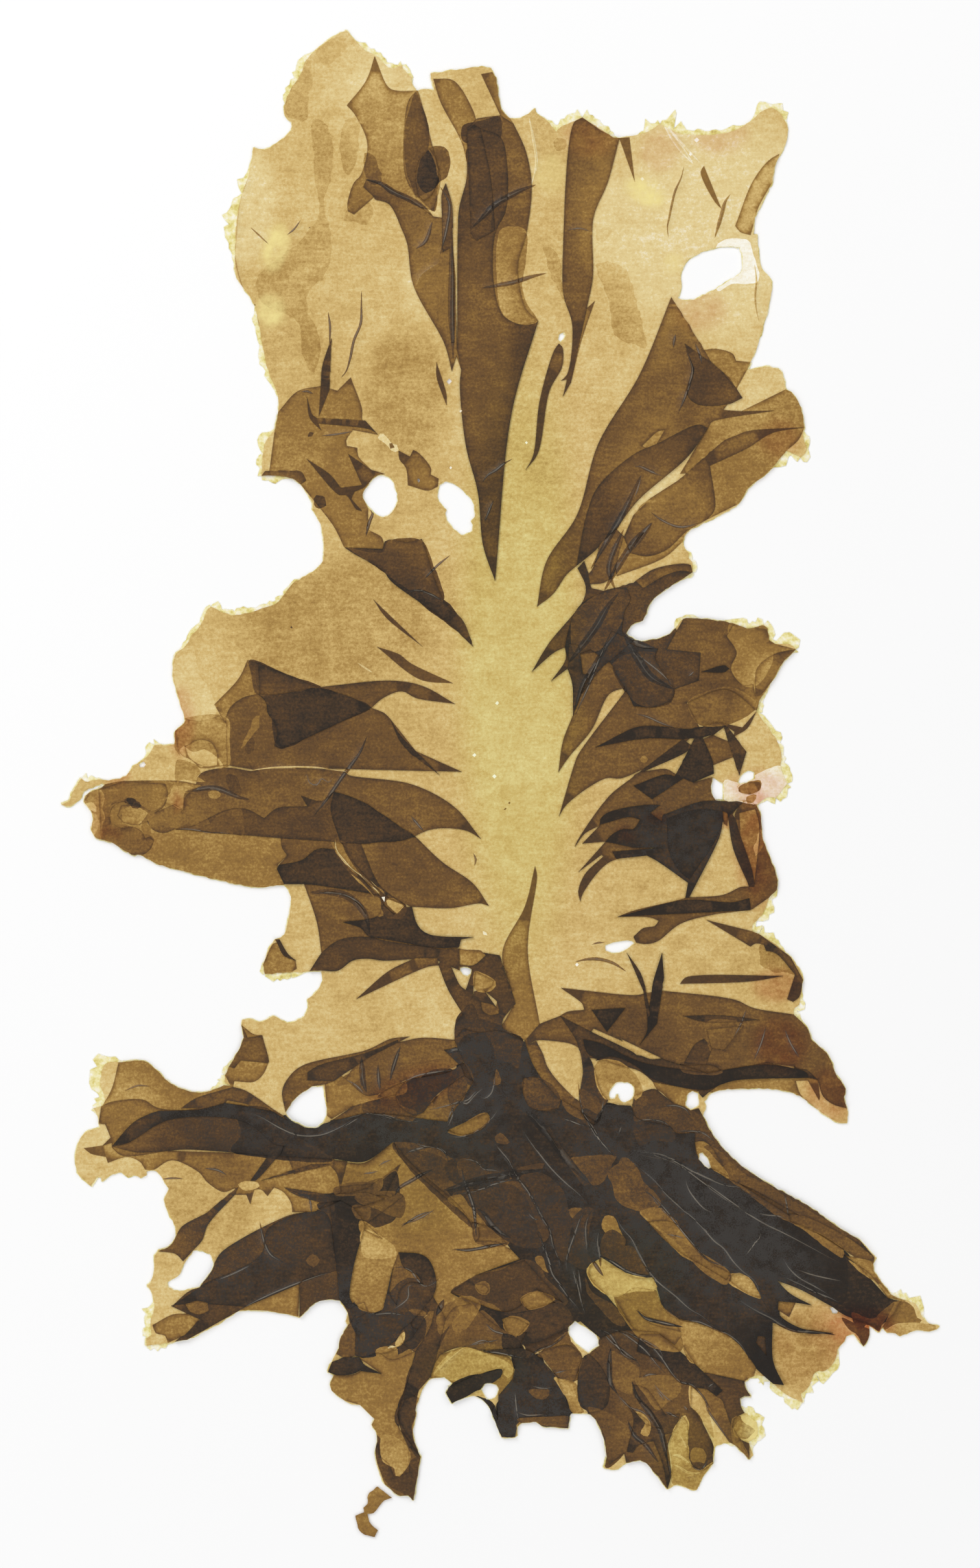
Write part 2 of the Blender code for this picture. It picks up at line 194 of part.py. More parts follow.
# Pleats: the sheet lies folded back on itself in these areas. Each is the number of sheet
# layers that lie there and its outline; a later outline lies over an earlier one.
FOLDS = [
    # upper left shoulder
    (2, [(-18.9, 109.2), (-19.8, 107), (-20.2, 105.5), (-21.2, 104), (-22.5, 102.8), (-23.1, 101.8),
         (-22, 100.6), (-21.1, 98.8), (-20.2, 97), (-20, 95), (-20.6, 93), (-21, 91.3), (-22, 90.2),
         (-22.5, 88.5), (-23, 87), (-22.9, 85.9), (-22, 85.4), (-20.6, 86.5), (-19, 88),
         (-14, 87), (-10, 86), (-9, 91), (-11, 98), (-11.8, 102), (-12.6, 104), (-15.5, 104),
         (-16.8, 104.5), (-17.6, 106.5), (-18.3, 108.6)]),
    (3, [(-13.4, 105.3), (-12.6, 104), (-13.7, 102.7), (-14.3, 100.2), (-14.3, 97.5), (-14, 95.6),
         (-14.4, 93.8), (-14.3, 91.3), (-13.4, 89.5), (-12.7, 88), (-10.6, 88), (-9.8, 90), (-9.3, 91.3),
         (-9.9, 94.4), (-10.6, 95.6), (-11, 97.2), (-11.3, 99.9), (-11.8, 102), (-12.4, 104)]),
    (3, [(-20.2, 90.6), (-17.9, 90), (-16.3, 88.9), (-13.9, 87.8), (-11.8, 86.6), (-10.1, 85.1),
         (-8.8, 84.9), (-7.2, 83.4), (-7, 81.7), (-6.9, 78.8), (-7, 74.2), (-6.8, 69.6), (-6.6, 66),
         (-6.6, 64.1), (-6.9, 63.6), (-7.3, 61.8), (-7.8, 64.4), (-8.4, 65.9), (-9.3, 67.8),
         (-10.1, 69), (-10.8, 69.9), (-11.6, 72), (-13.1, 74.8), (-13.7, 77.9), (-14, 80.9),
         (-14.8, 83.1), (-15.9, 85.2), (-16.8, 87), (-18.9, 87.7), (-20.6, 89.5)]),
    (5, [(-10.6, 95.3), (-9.8, 94), (-9.3, 91.3), (-9.8, 90), (-10.6, 88), (-11.5, 87.5), (-12.4, 88.3),
         (-12.7, 91), (-12.2, 93.5), (-11.5, 94.7)]),
    (4, [(-8.2, 90.1), (-7.3, 87), (-7.1, 83.4), (-7, 80.5), (-6.9, 66.1), (-7.4, 66.1), (-7.8, 70.2),
         (-7.9, 74.2), (-7.6, 80.3), (-8.7, 79.7), (-8.8, 84.9), (-8.8, 88.6)]),
    (2, [(-10.1, 105.8), (-9.9, 104.5), (-9, 102.3), (-8, 100.5), (-7.2, 98.8), (-6.5, 97.3),
         (-5.8, 96.2), (-5.4, 95), (-5, 93), (-4.5, 96), (-4.7, 98.8), (-3.7, 99.7), (-4, 100.8),
         (-5, 102.3), (-6, 104.5), (-7, 105.5), (-8.5, 105.4)]),
    (2, [(-2.9, 106.5), (-1.2, 106.8), (-0.7, 106), (-0.3, 102.5), (0, 100.3), (-0.8, 101.5), (-2, 104)]),
    # centre pleat, running from the top edge to a point on the midrib
    (3, [(-5, 98.3), (-3.5, 99.8), (-1.5, 100), (0, 100.3), (1, 99.7), (2, 99), (2.8, 97.8),
         (3, 96.5), (3.8, 95), (4.2, 93), (4.4, 90.5), (4.7, 89.8), (4.6, 88), (4.2, 86), (3.9, 82.5),
         (3.2, 80.5), (2.7, 78.5), (2.6, 76.5), (3.1, 74.7), (3.3, 72.6), (4, 71), (4.9, 70),
         (5.7, 69.4), (5.4, 68.2), (5.1, 66.9), (4.2, 64.7), (3.7, 62.9), (3.4, 61.3), (3.1, 59.8),
         (2.3, 57.7), (1.7, 55.5), (1.4, 53.1), (1.4, 50.6), (1.3, 48.8), (1, 47.2), (0.5, 45.7),
         (0.4, 43.6), (0.5, 41.4), (0.2, 38.4), (0, 36.5), (-0.3, 34.7), (-0.6, 32.5), (-0.8, 30.3),
         (-1, 31.3), (-1.5, 32.5), (-2.1, 34.1), (-2.6, 35.6), (-2.8, 37.8), (-2.8, 39.6), (-2.9, 40.8),
         (-3.4, 43.6), (-3.9, 45.4), (-4.4, 46.9), (-4.9, 48.8), (-5.2, 50.6), (-5.4, 52.2),
         (-5.4, 54.3), (-5.6, 56.1), (-5.9, 58.3), (-6.1, 59.8), (-5.9, 62), (-6.2, 62.9), (-6.5, 65),
         (-6.7, 69), (-6.7, 74), (-6.5, 80), (-6.4, 83.4), (-6.2, 86.4), (-5.5, 88), (-5.1, 90.7),
         (-5, 94.4)]),
    (4, [(-5, 98.3), (-4, 98.9), (-1.5, 98), (0, 97), (1, 93), (1.2, 89), (0.8, 86), (-0.2, 83.4),
         (-0.8, 82.5), (-0.6, 80.5), (-0.8, 78), (-1, 75), (-0.5, 72.5), (0.2, 70.5), (1.3, 69.5),
         (3.3, 68.8), (5.7, 69.4), (5.1, 66.9), (3.7, 62.9), (3.1, 59.8), (1.7, 55.5), (1.4, 50.6),
         (1.3, 48.8), (0.4, 43.6), (0.5, 41.4), (0, 36.5), (-0.6, 32.5), (-0.8, 30.3), (-1, 31.3),
         (-2.1, 34.1), (-2.6, 35.6), (-2.8, 39.6), (-3.4, 43.6), (-4.4, 46.9), (-5.2, 50.6),
         (-5.4, 54.3), (-5.9, 58.3), (-6.1, 59.8), (-5.9, 62), (-6.5, 65), (-6.7, 69), (-6.7, 74),
         (-6.5, 80), (-6.4, 83.4), (-6.2, 86.4), (-5.5, 88), (-5.1, 90.7), (-5, 94.4)]),
    (5, [(-5, 98), (-4, 98.8), (-3, 98.3), (-2.5, 96), (-1.8, 94), (-1.5, 91), (-1.3, 88), (-1, 85.5),
         (-0.8, 83), (-3.5, 81.5), (-4.4, 82), (-4.6, 84.5), (-4.9, 87.5), (-4.8, 93)]),
    # needle beside the centre pleat
    (2, [(-9.6, 63.2), (-9.6, 61), (-9.1, 59.2), (-8.5, 57.7), (-8.1, 56.7), (-8.1, 58.3), (-8.5, 59.5),
         (-8.8, 61), (-9.2, 62.6)]),
    # lance right of the centre
    (3, [(8.8, 66), (8.1, 65), (7.7, 63.6), (7.2, 62), (6.7, 60.1), (6.3, 58.9), (5.9, 57.4), (5.6, 55.8),
         (5.4, 54), (5.2, 52.3), (5, 50.6), (4.9, 49.1), (4.3, 47.7), (3.8, 47), (5.1, 48.5),
         (5.6, 49.4), (6.2, 51.4), (6.3, 53.1), (6.6, 55.2), (6.9, 56.7), (7.4, 58.9), (8, 60.4),
         (8.9, 61.7), (9.3, 62.6), (9.4, 64.4), (9.3, 65.5)]),
    # tall pleat at the right of the top
    (3, [(12.3, 100), (11.1, 99.3), (11.1, 97.5), (10.6, 95.3), (10.5, 92.6), (10.2, 89.5), (10.3, 86.4),
         (10, 83.4), (9.4, 79.7), (9.2, 76), (9.5, 73.3), (10.3, 71.1), (10.8, 68.7), (10.5, 65),
         (10.2, 62.9), (10, 61.3), (9.1, 60.4), (10, 60.6), (9.4, 58), (10, 58.9), (10.6, 60.1),
         (11.1, 62.3), (11.5, 64.1), (12, 65.9), (12.4, 67.5), (12.3, 69.5), (13.2, 73.3), (13.9, 76),
         (14, 79.4), (13.7, 82.8), (14, 84.9), (14.9, 87.3), (16.1, 90.1), (17.2, 93.5), (17.9, 96.8),
         (15.5, 97.8), (13.4, 99.3)]),
    (2, [(17.9, 96.8), (19.4, 97), (19.6, 95), (20.2, 90.3), (19.3, 92.6), (18.6, 94.4)]),
    (2, [(14.2, 72.4), (13.4, 70), (12.6, 67.8), (12.2, 66.5), (12.4, 69.3), (13, 71.3)]),
    # hem down the right shoulder
    (2, [(41.9, 94.5), (40.3, 93.5), (39, 92), (37.9, 90.3), (37.4, 88.7), (36.6, 87), (35.9, 85),
         (35.3, 83.7), (36, 82.8), (37.6, 82.3), (38, 83.4), (38.2, 84.9), (38.7, 86.3), (39.7, 87.7),
         (40.1, 88.9), (40.9, 90.3), (41.1, 91.6), (41.4, 93.2)]),
    (2, [(30.1, 91.8), (30.6, 92.7), (31.3, 91.2), (32.1, 88.8), (33.2, 86.3), (32.3, 87.2), (31, 89.8)]),
    # tissue behind the right shoulder
    (2, [(30.4, 66.4), (30.4, 65), (32.4, 65.2), (34.4, 64.4), (35, 64.4), (35.4, 63.4), (36.3, 63.2),
         (37.6, 63.2), (37.1, 61.9), (36.2, 60.2), (35.5, 59.2), (33, 61.5), (31, 63)]),
    # great right lance
    (3, [(25.7, 73), (25.1, 71.7), (23.9, 69), (23.1, 66.2), (21.8, 63.5), (20.9, 61.3), (19.8, 59.2),
         (18.7, 57.4), (17.3, 55.5), (16.4, 54), (15.5, 52.5), (14.7, 50.9), (14.1, 49.1), (13.5, 47.6),
         (12.9, 45.7), (12.6, 43.6), (12.1, 41.7), (11.5, 40.2), (10.5, 38.4), (9.4, 36.8), (8.2, 35),
         (6.9, 33.2), (6.3, 31.3), (6.2, 29.5), (5.7, 27.3), (5.5, 26.4), (6.6, 27.3), (7.9, 28.3),
         (8.9, 29.8), (10, 31.3), (11.4, 32.5), (12.6, 33.3), (14, 34.8), (14.9, 35.8), (16.1, 36.5),
         (17.3, 38.1), (18.9, 39.9), (20, 41.4), (20.7, 42.4), (22, 43.6), (24.6, 46), (26.7, 47.6),
         (28.3, 49.1), (29.8, 50.9), (30.7, 52.3), (31.6, 54), (33.2, 55.4), (33.5, 56), (34.2, 56.9),
         (35.3, 57.5), (36.4, 57.8), (35.6, 58.9), (35.5, 59.5), (34.4, 60.9), (33.2, 62), (31.6, 63.3),
         (30.6, 65), (29.9, 66.2), (29.2, 67.5), (28.4, 69), (27, 71.1)]),
    (4, [(27.7, 66), (30, 64.6), (31.6, 63.3), (33.2, 62), (35.5, 59.5), (36.4, 57.8), (34.5, 56.9),
         (32, 56.6), (29.5, 56.9), (28.2, 58), (28.1, 59), (29, 61.5), (28.8, 62.5), (28, 65)]),
    (4, [(29.8, 53.8), (27.7, 52.9), (25.5, 51.9), (23.4, 50.9), (21.5, 50), (20, 49.3), (18.3, 47.9),
         (16.7, 46.3), (15.5, 45.4), (14.7, 44.5), (13.7, 42.7), (13.1, 40.8), (12.7, 38.4),
         (12.1, 35.9), (11.5, 33.8), (11.4, 32.5), (12.6, 33.3), (14, 34.8), (14.9, 35.8), (16.1, 36.5),
         (18.9, 39.9), (20.7, 42.4), (24.6, 46), (26.7, 47.6), (28.3, 49.1), (29.8, 50.9), (30.7, 52.3),
         (31.2, 53.3)]),
    (2, [(23.7, 52.8), (24.4, 53.2), (24.7, 53), (24, 51.9), (23.5, 50.9), (21.8, 50.3), (21.3, 50.6),
         (22.5, 52.1)]),
    # right flap
    (2, [(42.9, 59.1), (39.6, 57.8), (37.2, 56.4), (36.2, 55.8), (33.5, 56), (31.6, 54), (30.7, 52.3),
         (29.8, 50.9), (28.3, 49.1), (27, 46.4), (28.3, 46.5), (30, 48), (43, 49.9), (43.9, 50.8),
         (44.8, 51.5), (45.7, 53.4), (45.4, 54.3), (45.3, 55.5), (45, 56.8), (44.3, 58), (43.7, 58.7)]),
    (3, [(27.8, 56.3), (30.1, 56.2), (33.5, 56), (37.2, 56), (39.6, 56), (41.1, 55.9), (39.6, 55.7),
         (37.2, 55.2), (34.7, 54.6), (32.9, 54.4), (31.6, 54), (29.2, 53.8)]),
    (2, [(43, 49.9), (42.2, 49.2), (41.1, 47.9), (40.2, 46.8), (39.6, 46), (38.7, 45.4), (37.6, 44.6),
         (36.8, 43.7), (36.2, 42.7), (35.8, 41.9), (34.7, 41.1), (33.2, 40.4), (31.3, 39.6),
         (29.8, 38.8), (28.6, 38.1), (27.7, 37.1), (27.4, 36.2), (26.4, 35.2), (24.6, 33.8),
         (22.5, 32.7), (20, 32.1), (17.5, 31), (17.2, 33), (18.5, 37), (20, 40.2), (20.9, 41.4),
         (22.5, 42.7), (24.3, 43.9), (25.8, 44.8), (27.4, 46), (29.2, 47.2), (32.3, 50.3), (35.3, 52.1),
         (40, 52.5), (43.6, 51)]),
    (3, [(45.7, 53.4), (44.2, 53.3), (41.9, 53.2), (39.6, 53.1), (37.1, 52.8), (35.3, 52.1), (33.8, 51.5),
         (32.3, 50.3), (30.7, 48.8), (29.2, 47.2), (27.7, 46), (26.7, 45.4), (29.2, 46.9), (31.6, 47.7),
         (33.5, 48.5), (35, 49.2), (37.2, 50.3), (39, 51.5), (40.8, 52.5), (42.6, 53)]),
    (3, [(27.7, 46), (25.8, 44.8), (24.3, 43.9), (22.5, 42.7), (20.9, 41.4), (20, 40.2), (18.5, 37),
         (19.5, 34.5), (22, 34), (25, 35), (27, 36.6), (28, 37.8), (31, 39.5), (32.2, 41), (32, 44),
         (31.5, 47.6), (29.2, 46.9)]),
    # centre right fan
    (4, [(28.6, 32.7), (27.7, 32.9), (25.5, 32.5), (23.1, 32.1), (21.8, 31.2), (20, 30), (18, 29.5),
         (15.5, 28.8), (13.7, 29.2), (13.4, 31.5), (13.1, 31.8), (12.6, 33.3), (11.6, 32.2), (12.8, 29.5),
         (12.5, 27.5), (11, 25.5), (9.7, 24), (8.5, 22.3), (7.2, 20.8), (6.2, 19.4), (5.6, 18.2),
         (4.7, 16.6), (5.9, 17.6), (6.9, 18.6), (8.2, 19.6), (9.7, 20.3), (9.8, 18.5), (9.1, 17.6),
         (7.6, 15.2), (9.2, 16.7), (10.1, 17.1), (10.6, 16.5), (10.8, 14.8), (10.8, 12.4), (10.9, 10.1),
         (12, 12), (14, 15), (18.5, 14.5), (20, 11.5), (24.6, 11.8), (25.9, 12.8), (26.1, 14), (29.8, 15.3),
         (30.1, 19.5), (25, 20), (26.5, 22.8), (26.3, 23.2), (24, 21.7), (22.5, 21.4), (19.8, 21.7),
         (18.9, 22.4), (19, 22.8), (20.3, 24), (21.4, 24.4), (22.3, 26.6), (23.1, 27.7), (24.3, 28.6),
         (27.2, 30.5), (28.3, 31), (28.9, 31.6)]),
    (3, [(28.9, 31.6), (28.6, 32.7), (27.7, 32.9), (25.5, 32.5), (23.1, 32.1), (21.8, 31.2), (20.3, 30.3),
         (21.5, 29.2), (24.5, 31), (27, 31.8)]),
    (1, [(13.1, 31.8), (14.9, 35.8), (14.4, 33.5), (13.7, 31.9), (13.4, 31.6)]),
    (3, [(14.9, 35.8), (16.1, 36.5), (17.4, 38.1), (18.6, 37), (17.5, 33.5), (17, 31), (15.5, 30),
         (13.5, 29.8), (13.3, 31.4), (14.3, 33.2)]),
    (6, [(11, 25.2), (12.6, 27.2), (15.4, 28.6), (17, 29.2), (19, 29.2), (19.5, 27.5), (18.6, 25.5),
         (18.4, 23.4), (18.3, 22.4), (19, 21), (21.2, 20.2), (23.7, 20.1), (23.2, 18.9), (25, 15.7),
         (26.1, 14), (25.9, 12.8), (24.6, 11.8), (22.4, 11.3), (20, 11.5), (18.6, 13), (18.7, 14.4),
         (17.3, 14), (16.4, 13.3), (15, 14.5), (13.5, 17.5), (12.4, 16.3), (11.3, 10.2), (10.9, 10.1),
         (10.8, 14.8), (10.6, 16.5), (9.9, 18.6), (9.7, 20.4), (10.3, 22.5)]),
    # bundle below it
    (3, [(10.1, 17.1), (10.6, 16.5), (10.8, 14.8), (10.8, 12.4), (10.9, 10.1), (10.6, 9), (10, 7.8),
         (9.4, 6.2), (9, 4.4), (8.8, 2.6), (8.7, 1.5), (9.2, 2.4), (10.3, 3.8), (11.5, 5.1), (12.6, 6.4),
         (13.7, 7.9), (14.6, 9.8), (15.1, 11), (15.7, 12), (16.4, 13.3), (17.3, 14), (18.7, 14.4),
         (16.5, 18), (13.5, 20), (11, 19)]),
    (5, [(10.3, 20.9), (10.1, 17.1), (10.6, 16.5), (10.8, 14.8), (10.8, 12.4), (10.9, 10.1), (11.2, 10.2),
         (12.1, 13), (12.8, 15.1), (13.2, 16.2), (12.5, 16.3), (12.3, 18.6), (11.8, 20.6)]),
    (5, [(16.7, 22.8), (15.3, 20.3), (14.1, 18), (13.3, 16), (12.3, 13.4), (13.6, 15), (15.2, 17.2),
         (17.5, 19.5), (20, 21.3)]),
    (1, [(18.7, 14.4), (18.9, 13.9), (18.4, 12.8), (17.3, 11.8), (16.4, 10.2), (15.2, 8.7), (14, 7),
         (12.7, 5.5), (11.7, 4.2), (11.2, 3), (10.3, 3.8), (11.5, 5.1), (12.6, 6.4), (13.7, 7.9),
         (14.6, 9.8), (15.1, 11), (15.7, 12), (16.4, 13.3), (17.3, 14)]),
    (3, [(18.9, 13.9), (18.4, 12.8), (17.3, 11.8), (16.4, 10.2), (15.2, 8.7), (14, 7), (12.7, 5.5),
         (11.7, 4.2), (11.2, 3), (10.9, 1.6), (10.5, 0), (10, -1.7), (9.4, -3.3), (8.8, -5.1),
         (9.1, -4.3), (10, -3.3), (11.5, -2.3), (13.1, -1.1), (14.6, -0.2), (15.8, 0.6), (18.1, 0.6),
         (18.9, 1.1), (20.1, 1.2), (24, 3), (29, 7), (30, 8.1), (28, 12), (34, 14), (38.5, 10.8),
         (38.9, 12.2), (40.5, 14.8), (42, 17.4), (44.4, 20), (43, 20.4), (40.5, 21.2), (40, 22.4),
         (37, 22.8), (33, 24.3), (28.6, 24.7), (27.5, 24.6), (26.5, 22.8), (25, 20), (30.1, 19.5),
         (29.8, 15.3), (26.1, 14), (25.9, 12.8), (24.6, 11.8), (22.4, 11.3), (20, 11.5)]),
    (2, [(44.4, 20), (43, 20.4), (40.5, 21.2), (40, 23), (35, 23.7), (34, 22), (35.5, 19.5), (35.2, 18),
         (34.6, 17.2), (35.4, 15.6), (36.6, 14.6), (38, 14.8), (38.3, 13), (39.6, 13.3), (40.5, 14.8),
         (41.4, 16.3), (42.8, 18.2)]),
    (3, [(44.4, 20), (42.6, 19.9), (41.2, 19.3), (39.8, 18.4), (38.6, 17.2), (38.2, 15.5), (38.1, 13.6),
         (38.3, 12), (39.6, 13.3), (40.5, 14.8), (41.4, 16.3), (42.8, 18.2), (43.9, 19.2)]),
    (5, [(30.1, 16.6), (31.5, 17), (33, 17.5), (33.8, 17.6), (34.4, 17.1), (33.8, 16.6), (31.5, 16.5)]),
    (5, [(14.3, 5.3), (15.8, 6.2), (18, 7.5), (20.1, 8.2), (22, 8.5), (24, 8.4), (26.1, 8), (28.3, 8),
         (29.9, 8.1), (31.3, 8.5), (33, 9), (34.4, 8.7), (32, 7.2), (29.9, 6.6), (27.3, 6.6), (24.6, 6.5),
         (21.8, 6.6), (19.8, 6.4), (17, 5.9), (15.5, 5.5)]),
    (4, [(27.4, 6.5), (25.2, 5), (22.8, 3.2), (21.2, 1.9), (20, 0.9), (21.8, 1.5), (24.9, 2.9),
         (27.7, 4.4), (29, 5.4)]),
    (5, [(29.9, 8), (28.9, 6), (27.4, 3.5), (25.8, 0.1), (27, -1), (30, 0.4), (32.1, 1.3), (31.9, 3.2),
         (31.3, 5), (30.6, 6.5)]),
    (3, [(32, 7.1), (30.5, 6.5), (31.3, 5), (31.9, 3.2), (32, 2.6), (35, 3.5), (37, 4.6), (35, 6.8),
         (34.2, 6.2), (33.2, 6.8)]),
    (3, [(33, 9), (34.4, 8.7), (35.9, 8.1), (37.1, 8.1), (38.1, 9.3), (38.5, 10.7), (37.5, 9.6),
         (36.2, 8), (35, 6.7), (35.2, 7.6), (34.2, 8.3)]),
    (4, [(33.6, 8.3), (34.2, 6), (35, 3.5), (35.6, 1.3), (35.9, 1), (36.7, 3.2), (37, 4.6), (35, 6.8),
         (34.2, 8.3)]),
    # right margin strips
    (3, [(36.9, -2.7), (38.4, -3.4), (38.8, -4.2), (39.1, -4.9), (39.1, -6.3), (39.4, -8.2), (39.9, -10),
         (40.5, -11.8), (41.1, -13.4), (41.4, -14.9), (41.7, -15.6), (38.2, -15.4), (37.6, -13.2),
         (36.9, -11), (36.1, -9), (35.6, -7), (35.2, -5), (35.8, -3.6)]),
    (2, [(35.9, -4.6), (38.3, -4), (38.9, -6.5), (38.9, -9), (38.4, -11), (38.2, -13), (38.2, -15.3),
         (37.6, -13.2), (36.9, -11), (36.1, -9), (35.7, -7)]),
    (2, [(35.6, -0.6), (36.7, -0.3), (38.1, 0.1), (39, 0), (39.1, -0.6), (38.4, -1.6), (37.1, -1.8),
         (36.2, -1.6)]),
    # pleats right of the midrib
    (3, [(20.1, 1.1), (18.9, 0.4), (17.7, -0.5), (16.4, -2), (15.1, -4.2), (13.7, -5.7), (12.4, -7.4),
         (11.5, -8.9), (11.2, -9.7), (11.7, -8.8), (12.7, -7.7), (14.3, -6.8), (14.9, -6.5),
         (12.3, -9.2), (14.2, -9), (15.8, -8.9), (14.9, -10.3), (12.8, -12.1), (11.7, -13.5),
         (12.8, -12.7), (14, -11.8), (15.2, -10.9), (15.5, -11.1), (14, -12.4), (12.7, -13.8),
         (12, -15.2), (11.7, -16.4), (12, -17.9), (12.4, -16.7), (13.7, -15.2), (15.2, -13.2),
         (16.4, -12), (17.2, -11.6), (18.9, -11.5), (20.4, -11.2), (22, -11), (24, -6), (33, -2.8),
         (31.9, -2), (31.6, -1.1), (31.7, -0.2), (31.9, 0.9), (29, 0), (25, 2), (21, 1.6)]),
    (5, [(20, -0.5), (22, 0.2), (24.9, 1.2), (27.5, 0.6), (25.5, -0.8), (23.4, -2), (21.5, -3.4),
         (20, -3.7), (17.8, -3.9), (16, -4.6), (15, -5.6), (14.9, -6.4), (17, -5.6), (19.5, -5.2),
         (21, -5.6), (20, -7), (18.5, -7), (16.8, -7.8), (15.8, -8.9), (16.6, -9.2), (18.5, -9.3),
         (20, -9.8), (24.5, -9.8), (24.5, -6), (22.5, -4.6), (24, -3.4)]),
    (5, [(24.4, -4.9), (26, -4.4), (28, -3.5), (30, -2.9), (31.5, -2.7), (32.4, -2.7), (35, -2.8),
         (36.9, -2.7), (36, -3.8), (35.2, -4.5), (34.3, -5), (33.4, -6), (33, -8), (32.3, -9.5), (31, -12),
         (29.8, -14.2), (28.8, -16.3), (28.4, -17.3), (27.8, -17.3), (27.9, -16.5), (28.2, -15.1),
         (27, -14.2), (25.5, -13), (23.5, -11.8), (22, -11), (20, -11.1), (17.4, -11.5), (16.8, -10.4),
         (18.5, -10), (21, -10.2), (24.6, -9.8), (24, -7.5)]),
    (6, [(25, -5.5), (28, -4.4), (31, -4), (33.4, -4.4), (33.4, -6), (32.4, -8.5), (31.6, -9.6),
         (29.5, -12.8), (28.4, -14.6), (26.8, -13.2), (25.4, -10.5), (25, -8)]),
    (2, [(33.4, -4.3), (34.1, -4.6), (34.1, -6.6), (33.6, -6.2)]),
    # narrow pleat down to the lower right bar
    (4, [(34.2, -5.2), (34.2, -6.4), (34.4, -7.9), (35, -10), (35.9, -11.8), (36.8, -13.7), (37.3, -15.5),
         (37.6, -17.2), (37.6, -19), (38.1, -17.3), (38.2, -15.2), (37.8, -13.1), (37.3, -11.2),
         (36.5, -9.4), (35.8, -7.5), (35.3, -5.4), (34.9, -4.8)]),
    (3, [(20, -19.3), (22.1, -19.1), (24, -18.6), (25.8, -18.1), (27.7, -17.4), (29.8, -17.2),
         (31.6, -17.3), (33.5, -16.9), (35, -16.3), (36.2, -15.7), (38.4, -15.6), (40.2, -15.5),
         (41.7, -15.6), (41.1, -16.4), (40.4, -17.3), (39, -18.4), (37.6, -19.2), (35.9, -19.4),
         (34.1, -19.7), (31.9, -19.9), (31, -20.7), (28.6, -20.9), (27, -21.3), (25.8, -21.9),
         (24.9, -22.9), (23.6, -23.9), (22, -24.3), (20.4, -24.1), (20, -23.2), (20.6, -22.5),
         (21.5, -21.9), (23.2, -21.6), (23.8, -20.8), (22.5, -20.3), (20, -20.3), (18, -20.3),
         (17.3, -20.3), (18.7, -19.6)]),
    (5, [(17.6, -20.2), (20, -19.7), (24, -18.9), (27.7, -17.7), (30.4, -18), (35, -18), (37.4, -17.4),
         (37.5, -19.2), (33.2, -19.3), (27.3, -19.8), (23, -20.2), (20, -20.2)]),
    (3, [(30.9, -20.7), (32.9, -21), (35.3, -21.6), (37.8, -22.6), (38.9, -22.8), (40.2, -23.6),
         (41.4, -24.4), (42.4, -25.3), (43.6, -26.2), (44.3, -27.1), (45.1, -28.3), (45.5, -29.7),
         (45.2, -31.1), (44.9, -32.3), (44, -33), (43.1, -32.6), (43.7, -30.2), (44.3, -28.9),
         (42.8, -27.4), (41.4, -25.7), (39.9, -25.3), (39.6, -24.4), (38.4, -24.2), (37.6, -24.7),
         (35.6, -23.6), (33.5, -22.2)]),
    # midrib lance
    (2, [(5.2, -12.6), (5.1, -14.3), (4.5, -16.4), (3.7, -18.6), (2.6, -20.7), (1.6, -22.5), (1, -24),
         (0.3, -25.6), (0.5, -27.1), (1, -29), (2, -31.7), (2.2, -33.2), (1.6, -34.2), (0.5, -35.7),
         (0.2, -36.6), (3.7, -38.8), (4.8, -37.4), (5.9, -36.3), (5.6, -34.2), (5.2, -31.7),
         (4.8, -29.3), (4.3, -27.1), (4.1, -25), (4.1, -22.8), (4.3, -21), (4.5, -20), (4.9, -18),
         (5.2, -15.8), (5.5, -14)]),
    # left wing
    (2, [(-47.4, 9.5), (-45, 9.2), (-43.5, 9.4), (-42.3, 10), (-41.3, 9), (-41, 5.6), (-41.1, 2.6),
         (-43, 2.1), (-44.9, 2.2), (-45.1, 1.3), (-46.5, 3.4), (-48, 4.2), (-48.6, 5.6), (-48.7, 7.8),
         (-47.9, 8.5)]),
    (1, [(-47.4, 5.4), (-45.3, 6.4), (-43.5, 6), (-42.6, 4.3), (-42.6, 2.6), (-44.5, 2.4), (-45.6, 3.2),
         (-46.8, 3.8)]),
    (3, [(-38, 18.4), (-36.4, 17.9), (-34.5, 17), (-32.7, 16.3), (-30.5, 15.4), (-29, 14.9),
         (-27.5, 14.3), (-25, 14.4), (-22.9, 14.8), (-20.9, 15), (-19.4, 14.9), (-17.9, 15.1),
         (-16.3, 15.3), (-14.8, 15.3), (-13, 15), (-11.7, 14.5), (-10.2, 13.7), (-8.7, 12.8),
         (-7.5, 12.3), (-6.8, 11.8), (-8.1, 12.1), (-9.6, 12.2), (-11.1, 12.5), (-12.7, 12.7),
         (-13.7, 13.1), (-14.2, 13.4), (-14.8, 13.7), (-16, 13.5), (-17.6, 12.7), (-18.9, 11.6),
         (-19.4, 11.2), (-18.5, 11), (-17.4, 10.4), (-16.6, 9.6), (-16.2, 8.5), (-15.1, 7.2),
         (-13.9, 5.9), (-12.7, 4.7), (-11.4, 3.8), (-9.9, 3.3), (-8.4, 2.9), (-6.9, 2.1), (-5.8, 1.6),
         (-7.5, 1.8), (-9.7, 1.9), (-11.8, 1.7), (-14.8, 1.7), (-17.9, 1.8), (-20.9, 1.9), (-24, 2),
